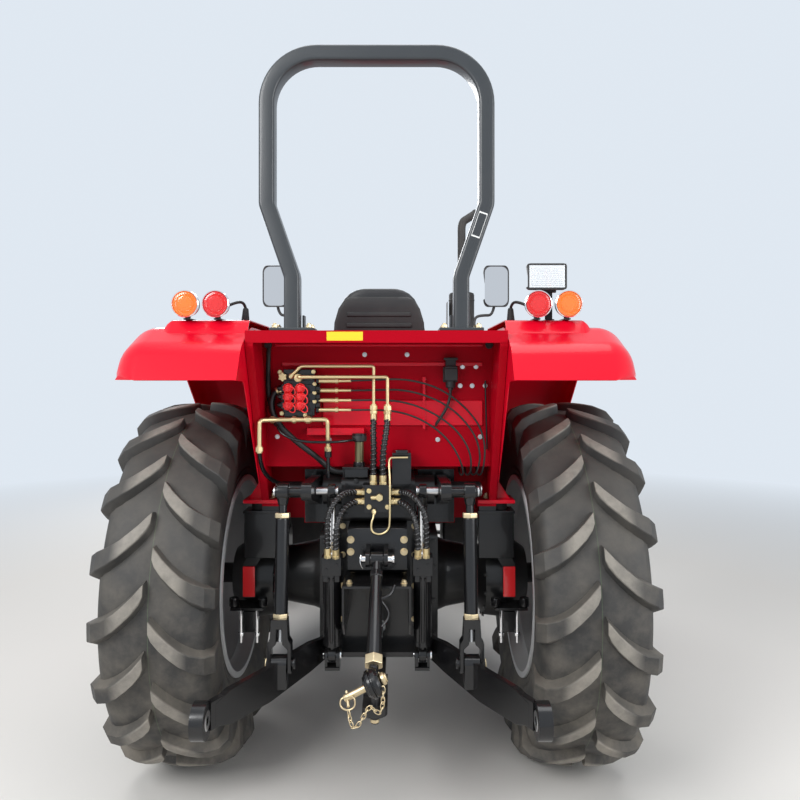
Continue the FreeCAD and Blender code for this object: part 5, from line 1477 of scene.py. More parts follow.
@dataclass
class Plumbing(Assembly):
    """All hoses, cables and pipes at the back."""

    feeds: tuple[tuple[Point, ...], ...] = (
        ((-17, -420, 1569.7), (-17, -420, 1530), (-18, -436, 1480), (-15, -450, 1420), (-17, -445, 1360),
         (-18, -436, 1310), (-18, -436, 1270.3)),
        ((40, -450, 1569.7), (40, -450, 1530), (34, -466, 1480), (24, -472, 1420), (20, -462, 1360),
         (22, -448, 1310), (22, -448, 1270.3)))
    lifts: tuple[tuple[Point, ...], ...] = (
        ((52.3, -435, 1239), (84, -435, 1239), (113, -460, 1243), (135, -510, 1243), (163, -558, 1225),
         (188, -576, 1175), (192, -572, 1115), (192, -552, 1060), (192, -546, 1002)),
        ((52.3, -452, 1205), (80, -452, 1205), (106, -478, 1202), (130, -522, 1190), (148, -562, 1160),
         (156, -578, 1115), (160, -566, 1060), (160, -546, 1002)))
    cables: tuple[tuple[float, float, tuple[Point, ...]], ...] = (
        (1689, 425,
         ((-90, -375, 1691), (0, -380, 1694), (90, -380, 1698), (180, -385, 1684), (270, -385, 1650),
          (350, -375, 1590), (420, -366, 1510), (445, -362, 1420), (440, -352, 1340))),
        (1650, 400,
         ((-90, -375, 1650), (0, -380, 1652), (90, -380, 1654), (180, -385, 1636), (270, -385, 1598),
          (345, -378, 1540), (405, -368, 1460), (425, -362, 1380), (416, -352, 1325))),
        (1609, 375,
         ((-90, -372, 1609), (0, -378, 1611), (90, -380, 1606), (180, -380, 1580), (265, -380, 1535),
          (335, -375, 1475), (380, -366, 1400), (388, -352, 1332))),
        (1569, 350,
         ((-90, -372, 1569), (0, -378, 1570), (85, -380, 1563), (170, -380, 1535), (250, -378, 1485),
          (310, -370, 1420), (345, -358, 1350))))
    suction: tuple[Point, ...] = (
        (-400.3, -352, 1650), (-420, -352, 1650), (-438, -356, 1630), (-446, -362, 1596), (-436, -368, 1548),
        (-404, -372, 1500), (-358, -374, 1455), (-306, -370, 1412), (-255, -354, 1372), (-205, -325, 1318),
        (-175, -318, 1306), (-150.3, -318, 1306))
    shelf_under: float = 1325.7

    def cords(self) -> None:
        """Build the flexible hoses and cables."""
        for i, route in enumerate(self.feeds):
            hose = Cord(self.finishes, f"feed_hose_{i + 1}", route, 11).build(True, True)
            if i == 0:
                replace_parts(hose, "feed_hoses")
        for side in Side:
            for i, route in enumerate(self.lifts):
                flipped = tuple((x * side.value, y, z) for x, y, z in route)
                hose = Cord(self.finishes, f"lift_hose_{side.word}_{i + 1}", flipped, 10,
                            bodies=("chassis", f"cylinder_{side.word}")).build(True, True)
                if i == 0:
                    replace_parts(hose, f"lift_hoses_{side.word}")
        for i, (level, shelf_x, points) in enumerate(self.cables):
            route = ((-164.5, -370, level), *points, (shelf_x + 8, -325, 1297), (shelf_x, -275, 1285),
                     (shelf_x - 2, -225, 1290), (shelf_x, -185, 1306), (shelf_x, -185, self.shelf_under))
            cable = Cord(self.finishes, f"control_cable_{i + 1}", route, 4, "cable_black",
                         "rubber_black").build()
            if i == 0:
                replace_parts(cable, "control_cables")
        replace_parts(Cord(self.finishes, "return_hose", self.suction, 12).build(), "suction_hose")

    @staticmethod
    def bent(points: Sequence[Point], bend: float = 22.0) -> list[Point]:
        """Set guiding points before and after each corner, so that a pipe runs straight between bends."""
        made = [points[0]]
        for before, here, after in zip(points, points[1:], points[2:]):
            corner = Vector(here)
            to_before, to_after = Vector(before) - corner, Vector(after) - corner
            made += [corner + to_before.normalized() * min(bend, to_before.length * 0.45), here,
                     corner + to_after.normalized() * min(bend, to_after.length * 0.45)]
        return made + [points[-1]]

    def pipes(self) -> None:
        """Build the stiff metal pipes and their nuts."""
        upper = [wire("pipe", self.bent(points), 7) for points in (
            ((-353, -412, 1711), (-315, -412, 1750), (-17, -420, 1750), (-17, -420, 1570)),
            ((-320, -430, 1702), (-320, -450, 1706), (40, -450, 1706), (40, -450, 1570)))]
        feed = ((-475, -457, 1418), (-475, -457, 1532), (-405, -420, 1532), (-205, -418, 1532),
                (-205, -400, 1405))
        upper.append(wire("pipe", self.bent(feed, 34), 9))
        upper.append(wire("pipe", [(122, -452, 1382), (66, -452, 1382), (46, -454, 1380), (46, -470, 1350),
                                   (50, -490, 1300), (50, -500, 1200), (50, -500, 1140), (46, -500, 1100),
                                   (12, -500, 1080), (-24, -500, 1092), (-24, -500, 1130), (-15, -496, 1150),
                                   (-14, -488, 1166)], 4.2))
        upper += [union_nut((-17, -420, 1566), (-17, -420, 1596), 17),
                  union_nut((40, -450, 1566), (40, -450, 1596), 17),
                  union_nut((-346, -412, 1718), (-360, -412, 1702), 12),
                  union_nut((-442, -418, 1532), (-418, -418, 1532), 15),
                  union_nut((-352, -418, 1532), (-330, -418, 1532), 15),
                  union_nut((-300, -418, 1532), (-270, -418, 1532), 16),
                  union_nut((-205, -406, 1425), (-205, -399, 1398), 15),
                  union_nut((-475, -457, 1430), (-475, -457, 1400), 16),
                  union_nut((-14, -489, 1160), (-14, -486, 1180), 10),
                  rod("banjo", (8, -470.5, 1226), (8, -492, 1226), 15, 2, 6),
                  rod("banjo_arm", (8, -482, 1226), (-26, -482, 1224), 8, 1),
                  hex_bolt("plug", (-34, -470, 1250), BACK, 8, 7),
                  hex_bolt("plug", (-34, -470, 1186), BACK, 8, 7),
                  hex_bolt("plug", (40, -470, 1186), BACK, 8, 7)]
        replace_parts(self.add("brass_pipes", upper, "zinc_yellow", "brass"), "hydraulic_pipes")
        self.add("black_pipes", [
            wire("pipe", [(-415, -396, 1508), (-405, -420, 1480), (-330, -432, 1446), (-230, -430, 1440),
                          (-140, -410, 1442), (-100, -372, 1446)], 5.5),
            wire("pipe", self.bent(((-205, -400, 1400), (-205, -392, 1290)), 10), 8),
            rod("elbow", (-205, -398, 1404), (-205, -396, 1376), 15, 3),
            wire("pipe", [(-475, -457, 1402), (-475, -440, 1360), (-465, -400, 1310), (-440, -350, 1270),
                          (-400, -300, 1245)], 9),
            wire("pipe", [(450, -318, 1690), (452, -322, 1560), (455, -320, 1480), (458, -308, 1400)], 4)],
            "black_paint", "black_satin")

    def build(self) -> None:
        """Build everything that carries oil or pulls."""
        self.cords()
        self.pipes()


@dataclass
class RemoteValve(Assembly):
    """The stacked valve on the panel: black sections, spools, red dust caps and brass fittings."""

    levels: tuple[float, ...] = (1590, 1625, 1660)
    columns: tuple[float, ...] = (-368, -318)
    spools: tuple[float, ...] = (1569, 1609, 1650, 1689)

    def build(self) -> None:
        """Build the valve."""
        parts = [block("core", (-392, -386, 1545), (-262, -300.5, 1738), 4)]
        for z in self.levels:
            parts += [block("section", (-398, -397, z - 15), (-258, -306, z + 15), 3),
                      rod("boss", (-414, -362, z), (-398, -362, z), 13, 3),
                      rod("boss_end", (-419, -362, z), (-412, -362, z), 9, 2),
                      rod("spool_end", (-259, -370, z), (-240, -370, z), 17, 2)]
        parts += [block("cover", (-328 - width, -392, z - 14), (-328 + width, -306, z + 14), 4)
                  for z, width in ((1704, 62), (1552, 58))]
        parts += [rod("relief", (-300, -372, 1722), (-268, -372, 1722), 14, 3),
                  rod("relief", (-392, -372, 1722), (-362, -372, 1722), 12, 3)]
        parts += [rod("gland", (-257, -370, z), (-246, -370, z), 15, 2, 6) for z in self.spools]
        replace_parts(self.add("valve_body", parts, "valve_metal", "black_satin"), "remote_valve")
        metal = []
        for z in self.spools:
            metal += [rod("tube", (-247, -370, z), (-176, -370, z), 8.5, 1),
                      rod("lock", (-178, -370, z), (-166, -370, z), 12, 1.2, 6),
                      rod("thread", (-167, -370, z), (-112, -371.5, z + (0.6 if z > 1660 else 0)), 6, 1)]
        star = []
        for i in range(12):
            turn = 2 * math.pi * i / 12
            reach = 20 if i % 2 else 13.5
            star.append((-389 + reach * math.cos(turn), 1706 + reach * math.sin(turn)))
        metal += [plate("star", star, "y", -422, -398, 2.5),
                  rod("star_stem", (-389, -426, 1706), (-389, -395, 1706), 8, 1),
                  rod("banjo", (-324, -436, 1702), (-324, -394, 1702), 16, 2.5, 24),
                  rod("banjo_head", (-324, -446, 1702), (-324, -435, 1702), 12, 1.5, 6)]
        metal += [hex_bolt("bolt", (x, -392, z), BACK, 7, 8) for x, z in (
            (-404, 1726), (-266, 1727), (-262, 1676), (-262, 1640), (-262, 1604), (-396, 1556), (-300, 1549))]
        metal += [rod("hose_clip", (-401, -352, 1650), (-412, -352, 1650), 15, 1.5),
                  rod("hose_clip", (-418, -352, 1650), (-426, -353, 1646), 14.5, 1.5)]
        self.add("valve_fittings", metal, "zinc_yellow", "brass")
        cap = [(0, 15), (2, 19.5), (9, 20.5), (13, 20.5), (14, 17.5), (22, 16.5), (27, 13), (28.5, 8)]
        caps = []
        for z in self.levels:
            for x in self.columns:
                rib = block("rib", (x - 1.6, -424, z + 15), (x + 1.6, -411, z + 20.6), 0.8, 1)
                caps += [turned("cap", (x, -396, z), BACK, cap, 28, edge=0.6),
                         repeated(rib, 10, (x, -400, z), "Y"),
                         rod("knob", (x, -423, z), (x, -433, z), 6.5, 2),
                         wire("strap", [(x, -430, z + 3), (x + 14, -437, z + 12), (x + 34, -434, z - 6),
                                        (x + 30, -424, z - 30), (x + 8, -424, z - 26),
                                        (x + 4, -410, z - 17)], 2.4)]
        self.add("valve_caps", caps, "valve_metal", "cap_red")


# Lift and linkage


@dataclass
class Linkage(Assembly):
    """Lift rods, cylinders, lower links and the top link, with their nuts, pins and clips."""

    frame: Frame
    arm_tip: tuple[float, float] = (-600, 1270)
    lift_point: tuple[float, float] = (-675, 645)
    lift_x: float = 356.0
    ram_x: float = 180.0
    ram_foot: tuple[float, float] = (-480, 600)
    ram_eye: tuple[float, float] = (-500, 1255)
    ball: Point = (545, -1050, 615)
    link_front: Point = (195, -355, 600)
    top_front: Point = (0, -555, 1000)
    top_end: Point = (0, -930, 680)
    chain_pitch: float = 0.0165

    def lift_rod(self, side: Side) -> None:
        """Build one adjustable lift rod."""
        sign = side.value
        x = self.lift_x * sign
        node = body = f"lift_rod_{side.word}"
        top, low = Vector((x, *self.arm_tip)), Vector((x, *self.lift_point))
        length = (low - top).length
        spot = points_along(top, (low - top).normalized())
        parts = [rod("eye", (x - 22, top.y, top.z), (x + 22, top.y, top.z), 32, 4),
                 rod("eye_cap", (x + 21 * sign, top.y, top.z), (x + 30 * sign, top.y, top.z), 22, 3),
                 rod("neck", spot(22), spot(52), 24, 3, end_radius=17),
                 rod("stem", spot(48), spot(98), 15.5, 1),
                 rod("tube", spot(100), spot(length - 176), 26, 3),
                 rod("tube_neck", spot(96), spot(118), 22, 3, end_radius=26)]
        screw = [rod("screw", spot(length - 172), spot(length - 78), 13.5, 1)]
        screw += [rod("thread", spot(length - 160 + i * 6), spot(length - 156.8 + i * 6), 16, 1.2, 24)
                  for i in range(13)]
        inner, outer = 30.5, 44.5
        yoke = [(-outer, -26), (-outer, 78), (-34, 96), (-30, 168), (30, 168), (34, 96), (outer, 78),
                (outer, -26), (inner, -26), (inner, 58), (12, 76), (10, 132), (-10, 132), (-12, 76),
                (-inner, 58), (-inner, -26)]
        parts += [plate("fork", [(x + a, low.z + b) for a, b in yoke], "y", low.y - 25, low.y + 25, 3),
                  rod("pin", (x - 54, low.y, low.z), (x + 54, low.y, low.z), 14, 2),
                  rod("pin_head", (x - 58 * sign, low.y, low.z), (x - 50 * sign, low.y, low.z), 20, 2)]
        parts += [rod("cheek_end", (x + way * inner, low.y, low.z - 12), (x + way * outer, low.y, low.z - 12),
                      25, 3) for way in SIGNS]
        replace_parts(self.add(node + "_body", parts, "black_paint", "black_satin", body), node)
        self.add(node + "_screw", screw, "steel_shaft", "bright_steel", body)
        clip = [(x + out * sign, low.y + back, low.z + up)
                for out, back, up in ((50, -4, 18), (52, -20, -4), (50, -6, -26), (48, 2, -8))]
        nuts = [rod("nut", spot(80), spot(99), 31, 2.5, 6),
                rod("nut", spot(length - 180), spot(length - 159), 31, 2.5, 6), wire("clip", clip, 2.2)]
        self.add(node + "_nuts", nuts, "zinc_yellow", "yellow_zinc", body)

    def cylinder(self, side: Side) -> None:
        """Build one lift cylinder and its rod."""
        word, sign = side.word, side.value
        x = self.ram_x * sign
        foot, eye = Vector((x, *self.ram_foot)), Vector((x, *self.ram_eye))
        lean = (eye - foot).normalized()
        spot, below = points_along(foot, lean), points_along(eye, -lean)
        mid = spot(362)
        ram = f"ram_{word}"
        parts = [rod("foot", (x - 15, foot.y, foot.z), (x + 15, foot.y, foot.z), 28, 3),
                 rod("neck", spot(20), spot(46), 13, 1), rod("barrel", spot(40), spot(330), 36, 4, 40),
                 rod("base_ring", spot(42), spot(62), 37.5, 2, 40),
                 block("head", (x - 40, mid.y - 38, mid.z - 36), (x + 40, mid.y + 40, mid.z + 38), 4),
                 block("head_step", (x - 33, mid.y - 32, mid.z - 62), (x + 33, mid.y + 34, mid.z - 34), 3)]
        for way in SIGNS:
            line = [(x + way * 9, mid.y - 36, mid.z - 44), (x + way * 9, foot.y - 41, 905),
                    (x + way * 9, foot.y - 41, 672), (x + way * 7, foot.y - 30, 650)]
            parts += [wire("line", Plumbing.bent(line, 18), 4.5),
                      hex_bolt("cap_screw", (x + way * 20, mid.y - 37.5, mid.z + 10 * way), BACK, 6, 5,
                               False)]
        body = self.add(f"lift_cylinder_{word}_body", parts, "black_paint", "black_satin", f"cylinder_{word}")
        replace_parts(body, f"lift_cylinder_{word}")
        shaft = self.add(f"lift_ram_{word}_rod", [
            rod("rod", spot(200), below(20), 16, 1), rod("gland", spot(398), spot(403), 24, 1)],
            "chrome_rod", "chrome", ram)
        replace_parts(shaft, f"lift_ram_{word}")
        self.add(f"lift_ram_{word}_eye", [
            rod("eye", (x - 15, eye.y, eye.z), (x + 15, eye.y, eye.z), 28, 3),
            rod("neck", below(62), below(22), 21, 2, 6)], "black_paint", "black_satin", ram)
        low, high = sorted((154 * sign, 242 * sign))
        self.add(f"ram_pins_{word}", [
            rod("pin", (low, eye.y, eye.z), (high, eye.y, eye.z), 14, 1.5),
            rod("pin_end", (x - 26 * sign, eye.y, eye.z), (x - 20 * sign, eye.y, eye.z), 18, 1.5)],
            "chrome_rod", "bright_steel", ram)
        self.add(f"ram_foot_pins_{word}",
                 [rod("pin_end", (x - 36, foot.y, foot.z), (x - 33, foot.y, foot.z), 17, 1.5),
                  rod("pin_end", (x + 29, foot.y, foot.z), (x + 37, foot.y, foot.z), 17, 1.5)],
                 "steel_shaft", "chrome")

    def lower_link(self, side: Side) -> None:
        """Refine one lower link and add its ball and brass bolts."""
        word, sign = side.word, side.value
        link = f"lower_link_{word}"
        self.frame.refine(link, link, "black_paint", "black_satin", 2.5)
        ball = turned("ball", (self.ball[0] * sign, *self.ball[1:]), (1, 0, 0),
                      [(-23.5, 24), (-23, 30), (-16, 38), (-8, 43), (0, 45), (8, 43), (16, 38), (23, 30),
                       (23.5, 24), (23, 15.2), (-23, 15.2)], 48, ring=True)
        front, end = Vector(self.link_front), Vector(self.ball)
        along = (end - front).normalized()
        across = Vector((along.y, -along.x, 0))
        heads = []
        for share, up in ((0.70, 8), (0.745, -6)):
            face = front + (end - front) * share - across * 12.2
            heads.append(((face.x * sign, face.y, face.z + up), (-across.x * sign, -across.y, 0), 11))
        outline = rounded([(30, 40, 0), (160, 54, 200), (470, 50, 200), (640, 54, 120), (722, 34, 0),
                           (722, -38, 0), (650, -64, 120), (430, -76, 250), (170, -58, 200), (30, -40, 0)])
        rows = []
        for out in (-12.7, 12.7):
            spots = [front + along * reach + across * out + Vector((0, 0, up))
                     for reach, up in outline + outline[:1]]
            rows.append([(spot.x * sign, spot.y, spot.z) for spot in spots])
        deep = soften(skin("deep_plate", rows, closed=True, filled=True), 2.0)
        self.add(f"link_plate_{word}", [deep], "black_paint", "black_satin", link)
        self.add(f"link_ball_{word}", [ball], "steel_shaft", "bright_steel", link)
        self.dress(bolts(f"link_bolts_{word}", heads, 12), "zinc_yellow", "yellow_zinc", link)

    def top_link(self) -> None:
        """Build the hanging top link, with its brass nut, ribbed ball end, pin, ring and chain."""
        start, end = Vector(self.top_front), Vector(self.top_end)
        along = (end - start).normalized()
        length = (end - start).length
        spot = points_along(start, along)
        pin_way = Vector((-0.66, -0.42, -0.62)).normalized()
        pin_way = (pin_way - along * pin_way.dot(along) * 0.65).normalized()
        face = points_along(end, pin_way)
        parts = [rod("eye", (-24.5, start.y, start.z), (24.5, start.y, start.z), 28, 3),
                 rod("neck", spot(18), spot(78), 19, 2, 24), rod("shoulder", spot(60), spot(84), 27, 3, 6),
                 rod("tube", spot(80), spot(length - 94), 22, 3, 32, 27),
                 rod("screw", spot(length - 112), spot(length - 30), 17, 1),
                 wire("handle", [spot(reach) + Vector((off, 0, 0)) for reach, off in
                                 ((178, 4), (172, 30), (150, 62), (118, 70))], 6),
                 wire("grip", [spot(reach) + Vector((off, 0, 0)) for reach, off in
                               ((180, 20), (220, 52), (262, 46), (290, 18))], 5)]
        rings = [(-27, 26), (-27, 42), (-18, 50), (-5, 51), (-3, 45), (1, 45), (3, 50), (13, 48),
                 (15, 42), (19, 41), (21, 37), (27, 34), (27, 26)]
        parts += [turned("ball_end", end, pin_way, rings, 48, ring=True, edge=0.8),
                  turned("ball", end, pin_way, [(-30, 17), (-26, 24), (0, 27), (26, 24), (30, 17)], 32)]
        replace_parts(self.add("top_link_body", parts, "black_paint", "black_satin", "top_link"), "top_link")
        brass = [rod("nut", spot(length - 96), spot(length - 62), 35, 3, 6),
                 rod("head", face(-30), face(-45), 21, 3), rod("head_top", face(-44), face(-50), 15, 2),
                 rod("pin", face(28), face(108), 12.5, 3)]
        self.add("top_link_pin", brass, "zinc_yellow", "yellow_zinc", "top_link")
        tip = face(96)
        bends = ((0, -14, 6), (-20, -16, 8), (-24, -18, -22), (0, -20, -36), (26, -20, -26), (28, -18, 4),
                 (10, -14, 14), (0, -14, 8))
        ring = wire("ring", [tip + Vector(bend) for bend in bends], 3)
        lynch = rod("lynch", tip + Vector((-4, 16, 14)), tip + Vector((6, -26, -20)), 5.5, 1.5)
        hang = ((34, -34, 4), (36, -44, -40), (24, -44, -84), (-8, -44, -52), (-26, -44, -80),
                (-48, -42, -122), (-72, -40, -128))
        links = self.chain([end + Vector(drop) for drop in hang] + [tip + Vector((6, -20, -36))])
        self.add("top_link_chain", links + [ring, lynch], "zinc_yellow", "yellow_zinc", "top_link")

    def chain(self, hang: Sequence[Point]) -> list[Piece]:
        """Lay the links of a thin chain along guiding points, each a quarter turn from the last.

        Args:
            hang: The points that guide it.

        Returns:
            The links.
        """
        links = []
        route = Cord(self.finishes, "chain_line", hang, 1).centreline()
        total = sum((b - a).length for a, b in zip(route, route[1:]))
        count = max(4, round(total / self.chain_pitch))
        walked, index = 0.0, 0
        for i in range(count):
            goal = total * (i + 0.5) / count
            while index < len(route) - 2 and walked + (route[index + 1] - route[index]).length < goal:
                walked += (route[index + 1] - route[index]).length
                index += 1
            way = (route[index + 1] - route[index]).normalized()
            bpy.ops.object.select_all(action="DESELECT")
            bpy.ops.mesh.primitive_torus_add(major_segments=14, minor_segments=6, major_radius=0.0078,
                                             minor_radius=0.0019)
            link = bpy.context.object
            link.scale = (1.5, 0.85, 1)
            settle(link)
            link.rotation_mode = "QUATERNION"
            quarter = Matrix.Rotation(math.pi / 2 * (i % 2), 3, "X").to_quaternion()
            link.rotation_quaternion = way.to_track_quat("X", "Z") @ quarter
            link.location = route[index] + way * (goal - walked)
            links.append(smooth(settle(link), math.radians(80)))
        return links

    def build(self) -> None:
        """Build the whole linkage."""
        self.frame.refine("lift_arms", "lift_arms", "black_paint", "black_satin", 2.0)
        for side in Side:
            self.lift_rod(side)
            self.cylinder(side)
            self.lower_link(side)
            x = side.value
            self.add(f"arm_ends_{side.word}", [
                rod("cap", (430 * x, -280, 1225), (438 * x, -280, 1225), 29, 3),
                rod("collar", (290 * x, -280, 1225), (306 * x, -280, 1225), 46, 4),
                rod("pin_end", (378 * x, -600, 1270), (392 * x, -600, 1270), 19, 2)],
                "steel_shaft", "bright_steel", "lift_arms")
        self.top_link()


@dataclass
class Casting(Assembly):
    """Bolts, plugs, ribs and boxes on the black castings at the back."""

    frame: Frame

    def build(self) -> None:
        """Dress the castings."""
        for node in ("transmission", "lift_housing", "axle_mounts", "drawbar"):
            self.frame.refine(node, "chassis", "black_paint", "black_casting", 3.0)
        self.frame.refine("hitch_frame", "chassis", "black_paint", "black_satin", 2.0)
        parts, bright = [], []
        for x in SIGNS:
            parts += [block("box", (428 * x, -262, 926), (580 * x, -160, 1126), 4),
                      block("box_rim", (424 * x, -266, 1118), (584 * x, -156, 1130), 3),
                      rod("rubber", (470 * x, -215, 1128), (470 * x, -215, 1150), 34, 4),
                      block("plate", (500 * x, -262, 700), (640 * x, -150, 712), 2),
                      block("under", (535 * x, -240, 600), (590 * x, -170, 690), 3),
                      # a black sheet over the tunnel's red back, as painted shade under the shelf
                      block("heat_mat", (167 * x, -193, 1067), (328 * x, -190.5, 1300), 1)]
            parts += [rod("dome", (out * x, -240, 712), (out * x, -240, 752), 21, 7) for out in (504, 628)]
            for out in (527, 596):
                bright += [rod("stud", (out * x, -250, 560), (out * x, -250, 700), 7.5, 2),
                           rod("nut", (out * x, -250, 590), (out * x, -250, 604), 13, 1.5, 6)]
        self.add("axle_boxes", parts, "black_paint", "black_satin")
        self.add("axle_studs", bright, "steel_shaft", "chrome")
        heads, dark = [], []
        for x in SIGNS:
            heads += [((106 * x, -490, z), BACK, 12) for z in (1060, 1012)]
            heads += [((106 * x, y, 907), UP, 11) for y in (-560, -360)]
            heads += [((150 * x, -330.3, z), BACK, 10) for z in (1080, 960, 830, 690)]
        self.dress(bolts("hitch_bolts", heads, 3), "zinc_yellow", "yellow_zinc")
        for x in SIGNS:
            for i in range(14):
                turn = 2 * math.pi * (i + 0.5) / 14
                dark.append(((470 * x, 185 * math.cos(turn), 792.5 + 185 * math.sin(turn)), (-x, 0, 0), 9))
            dark += [((232 * x, -300, z), BACK, 9) for z in (620, 760, 900, 1010)]
            dark += [((out * x, -400, z), BACK, 8) for out, z in ((130, 1140), (130, 1260), (90, 1280))]
        self.dress(bolts("casting_bolts", dark), "black_paint", "black_casting")
        self.add("lift_cover", [
            block("block", (-140, -392, 1290), (-40, -300, 1330), 5),
            block("rib", (-146, -400, 1328), (-34, -296, 1336), 3),
            block("cap_base", (58, -446, 1388), (135, -330, 1400), 4),
            block("lid", (72, -452, 1396), (122, -420, 1412), 6),
            rod("neck", (-80, -340, 1328), (-80, -340, 1352), 26, 4),
            block("bridge", (-60, -468, 1262), (60, -400, 1274), 3)], "black_paint", "black_satin")
        neck = rod("filler_neck", (-80, -340, 1350), (-80, -340, 1438), 18.8, 1)
        self.dress(neck, "zinc_yellow", "olive_zinc")
        cap = turned("filler_cap", (-80, -340, 1436), UP,
                     [(0, 27), (3, 31), (22, 31), (30, 27), (34, 18), (35, 6)], 40, edge=1.2)
        self.dress(cap, "lever_black", "plastic_black")
        self.add("top_pin", [
            rod("pin", (-62, -555, 1000), (-28, -555, 1000), 13.4, 1.5),
            rod("pin", (28, -555, 1000), (62, -555, 1000), 13.4, 1.5),
            rod("head", (60, -555, 1000), (68, -555, 1000), 19, 2),
            wire("clip", [(-60, -566, 1018), (-66, -574, 1000), (-60, -572, 978), (-54, -566, 966)], 2.5)],
            "steel_shaft", "chrome")
        spline = block("spline", (-2.2, -450, 676.6), (2.2, -300, 679.2), 0.5, 1)
        self.dress(repeated(spline, 12, (0, 0, 660), "Y"), "steel_shaft", "bright_steel", "pto_shaft")
        self.add("drawbar_fittings", [
            rod("pin_head", (0, -768, 615), (0, -768, 627), 24, 3),
            rod("pin_low", (0, -768, 486), (0, -768, 474), 17, 2),
            wire("handle", [(-14, -768, 625), (-18, -772, 648), (0, -774, 660), (18, -772, 648),
                            (14, -768, 625)], 4.5)], "zinc_yellow", "yellow_zinc")


# Seat, controls and cowl


def pillow(name: str, levels: Sequence[Ring], power: float = 4.0, steps: int = 40) -> Piece:
    """Shape a soft or moulded piece from rounded rings, one above the other.

    Args:
        name: Name of the piece.
        levels: Height, half width, back and front of each ring.
        power: How square the rings are; 2 makes ellipses.
        steps: Faces round it.

    Returns:
        The new piece, closed at both ends.
    """
    rows = []
    for height, half, back, front in levels:
        row = []
        for i in range(steps + 1):
            turn = 2 * math.pi * i / steps
            across, along = math.cos(turn), math.sin(turn)
            side, depth = (math.copysign(abs(share) ** (2 / power), share) for share in (across, along))
            row.append((half * side, (back + front) / 2 + (front - back) / 2 * depth, height))
        rows.append(row)
    return smooth(skin(name, rows, closed=True, filled=True), math.radians(50))


@dataclass
class Seat(Assembly):
    """The driver's seat on its bellows."""

    rest: tuple[Ring, ...] = (
        (1601, 150, -190, -100), (1604, 165, -196, -92), (1612, 180, -198, -84), (1640, 192, -201, -84),
        (1800, 204, -214, -103), (1900, 202, -222, -113), (1960, 192, -227, -120), (2010, 174, -231, -126),
        (2045, 155, -234, -132), (2068, 132, -236, -140), (2082, 105, -234, -152), (2088, 80, -228, -170))
    shell: tuple[Ring, ...] = (
        (1482, 120, -214, -155), (1540, 150, -220, -170), (1610, 175, -226, -196), (1700, 192, -233, -206),
        (1850, 200, -246, -218), (1940, 194, -254, -224), (2000, 176, -259, -229), (2035, 152, -261, -233),
        (2048, 130, -258, -236), (2050, 110, -254, -240))
    cushion: tuple[Ring, ...] = (
        (1510.5, 196, -112, 318), (1514, 208, -124, 332), (1524, 214, -129, 339), (1575, 214, -129, 339),
        (1592, 208, -124, 332), (1602, 196, -112, 318), (1606, 176, -92, 298))

    def build(self) -> None:
        """Build the seat."""
        rest = self.add("seat_rest", [pillow("rest", self.rest)] + [
            block("roll", (-120, -94 - i * 7, 1640 + i * 64), (120, -73 - i * 7, 1700 + i * 64), 10, 4)
            for i in range(6)], "seat_vinyl", "vinyl_black")
        cushion = self.add("seat_cushion", [pillow("cushion", self.cushion)] + [
            block("roll", (-130, -80 + i * 64, 1592), (130, -20 + i * 64, 1611), 9, 4) for i in range(6)],
            "seat_vinyl", "vinyl_black")
        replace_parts(cushion, "seat_pads")
        bellows = []
        for i in range(6):
            z = 1334 + i * 24
            bellows += [(z, 138, -98, 228), (z + 6, 150, -110, 240), (z + 14, 150, -110, 240),
                        (z + 20, 138, -98, 228)]
        ribs = [block("rib", (3 * i - 150, -252 - 2.2 * i, 1780 + 46 * i),
                      (150 - 3 * i, -236 - 2.2 * i, 1800 + 46 * i), 5, 3) for i in range(5)]
        parts = [pillow("shell", self.shell), pillow("bellows", bellows, 6),
                 block("pan", (-215, -180, 1478), (215, 330, 1508), 8, 3)] + ribs
        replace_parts(self.add("seat_shell", parts, "seat_metal", "plastic_black"), "seat_frame")


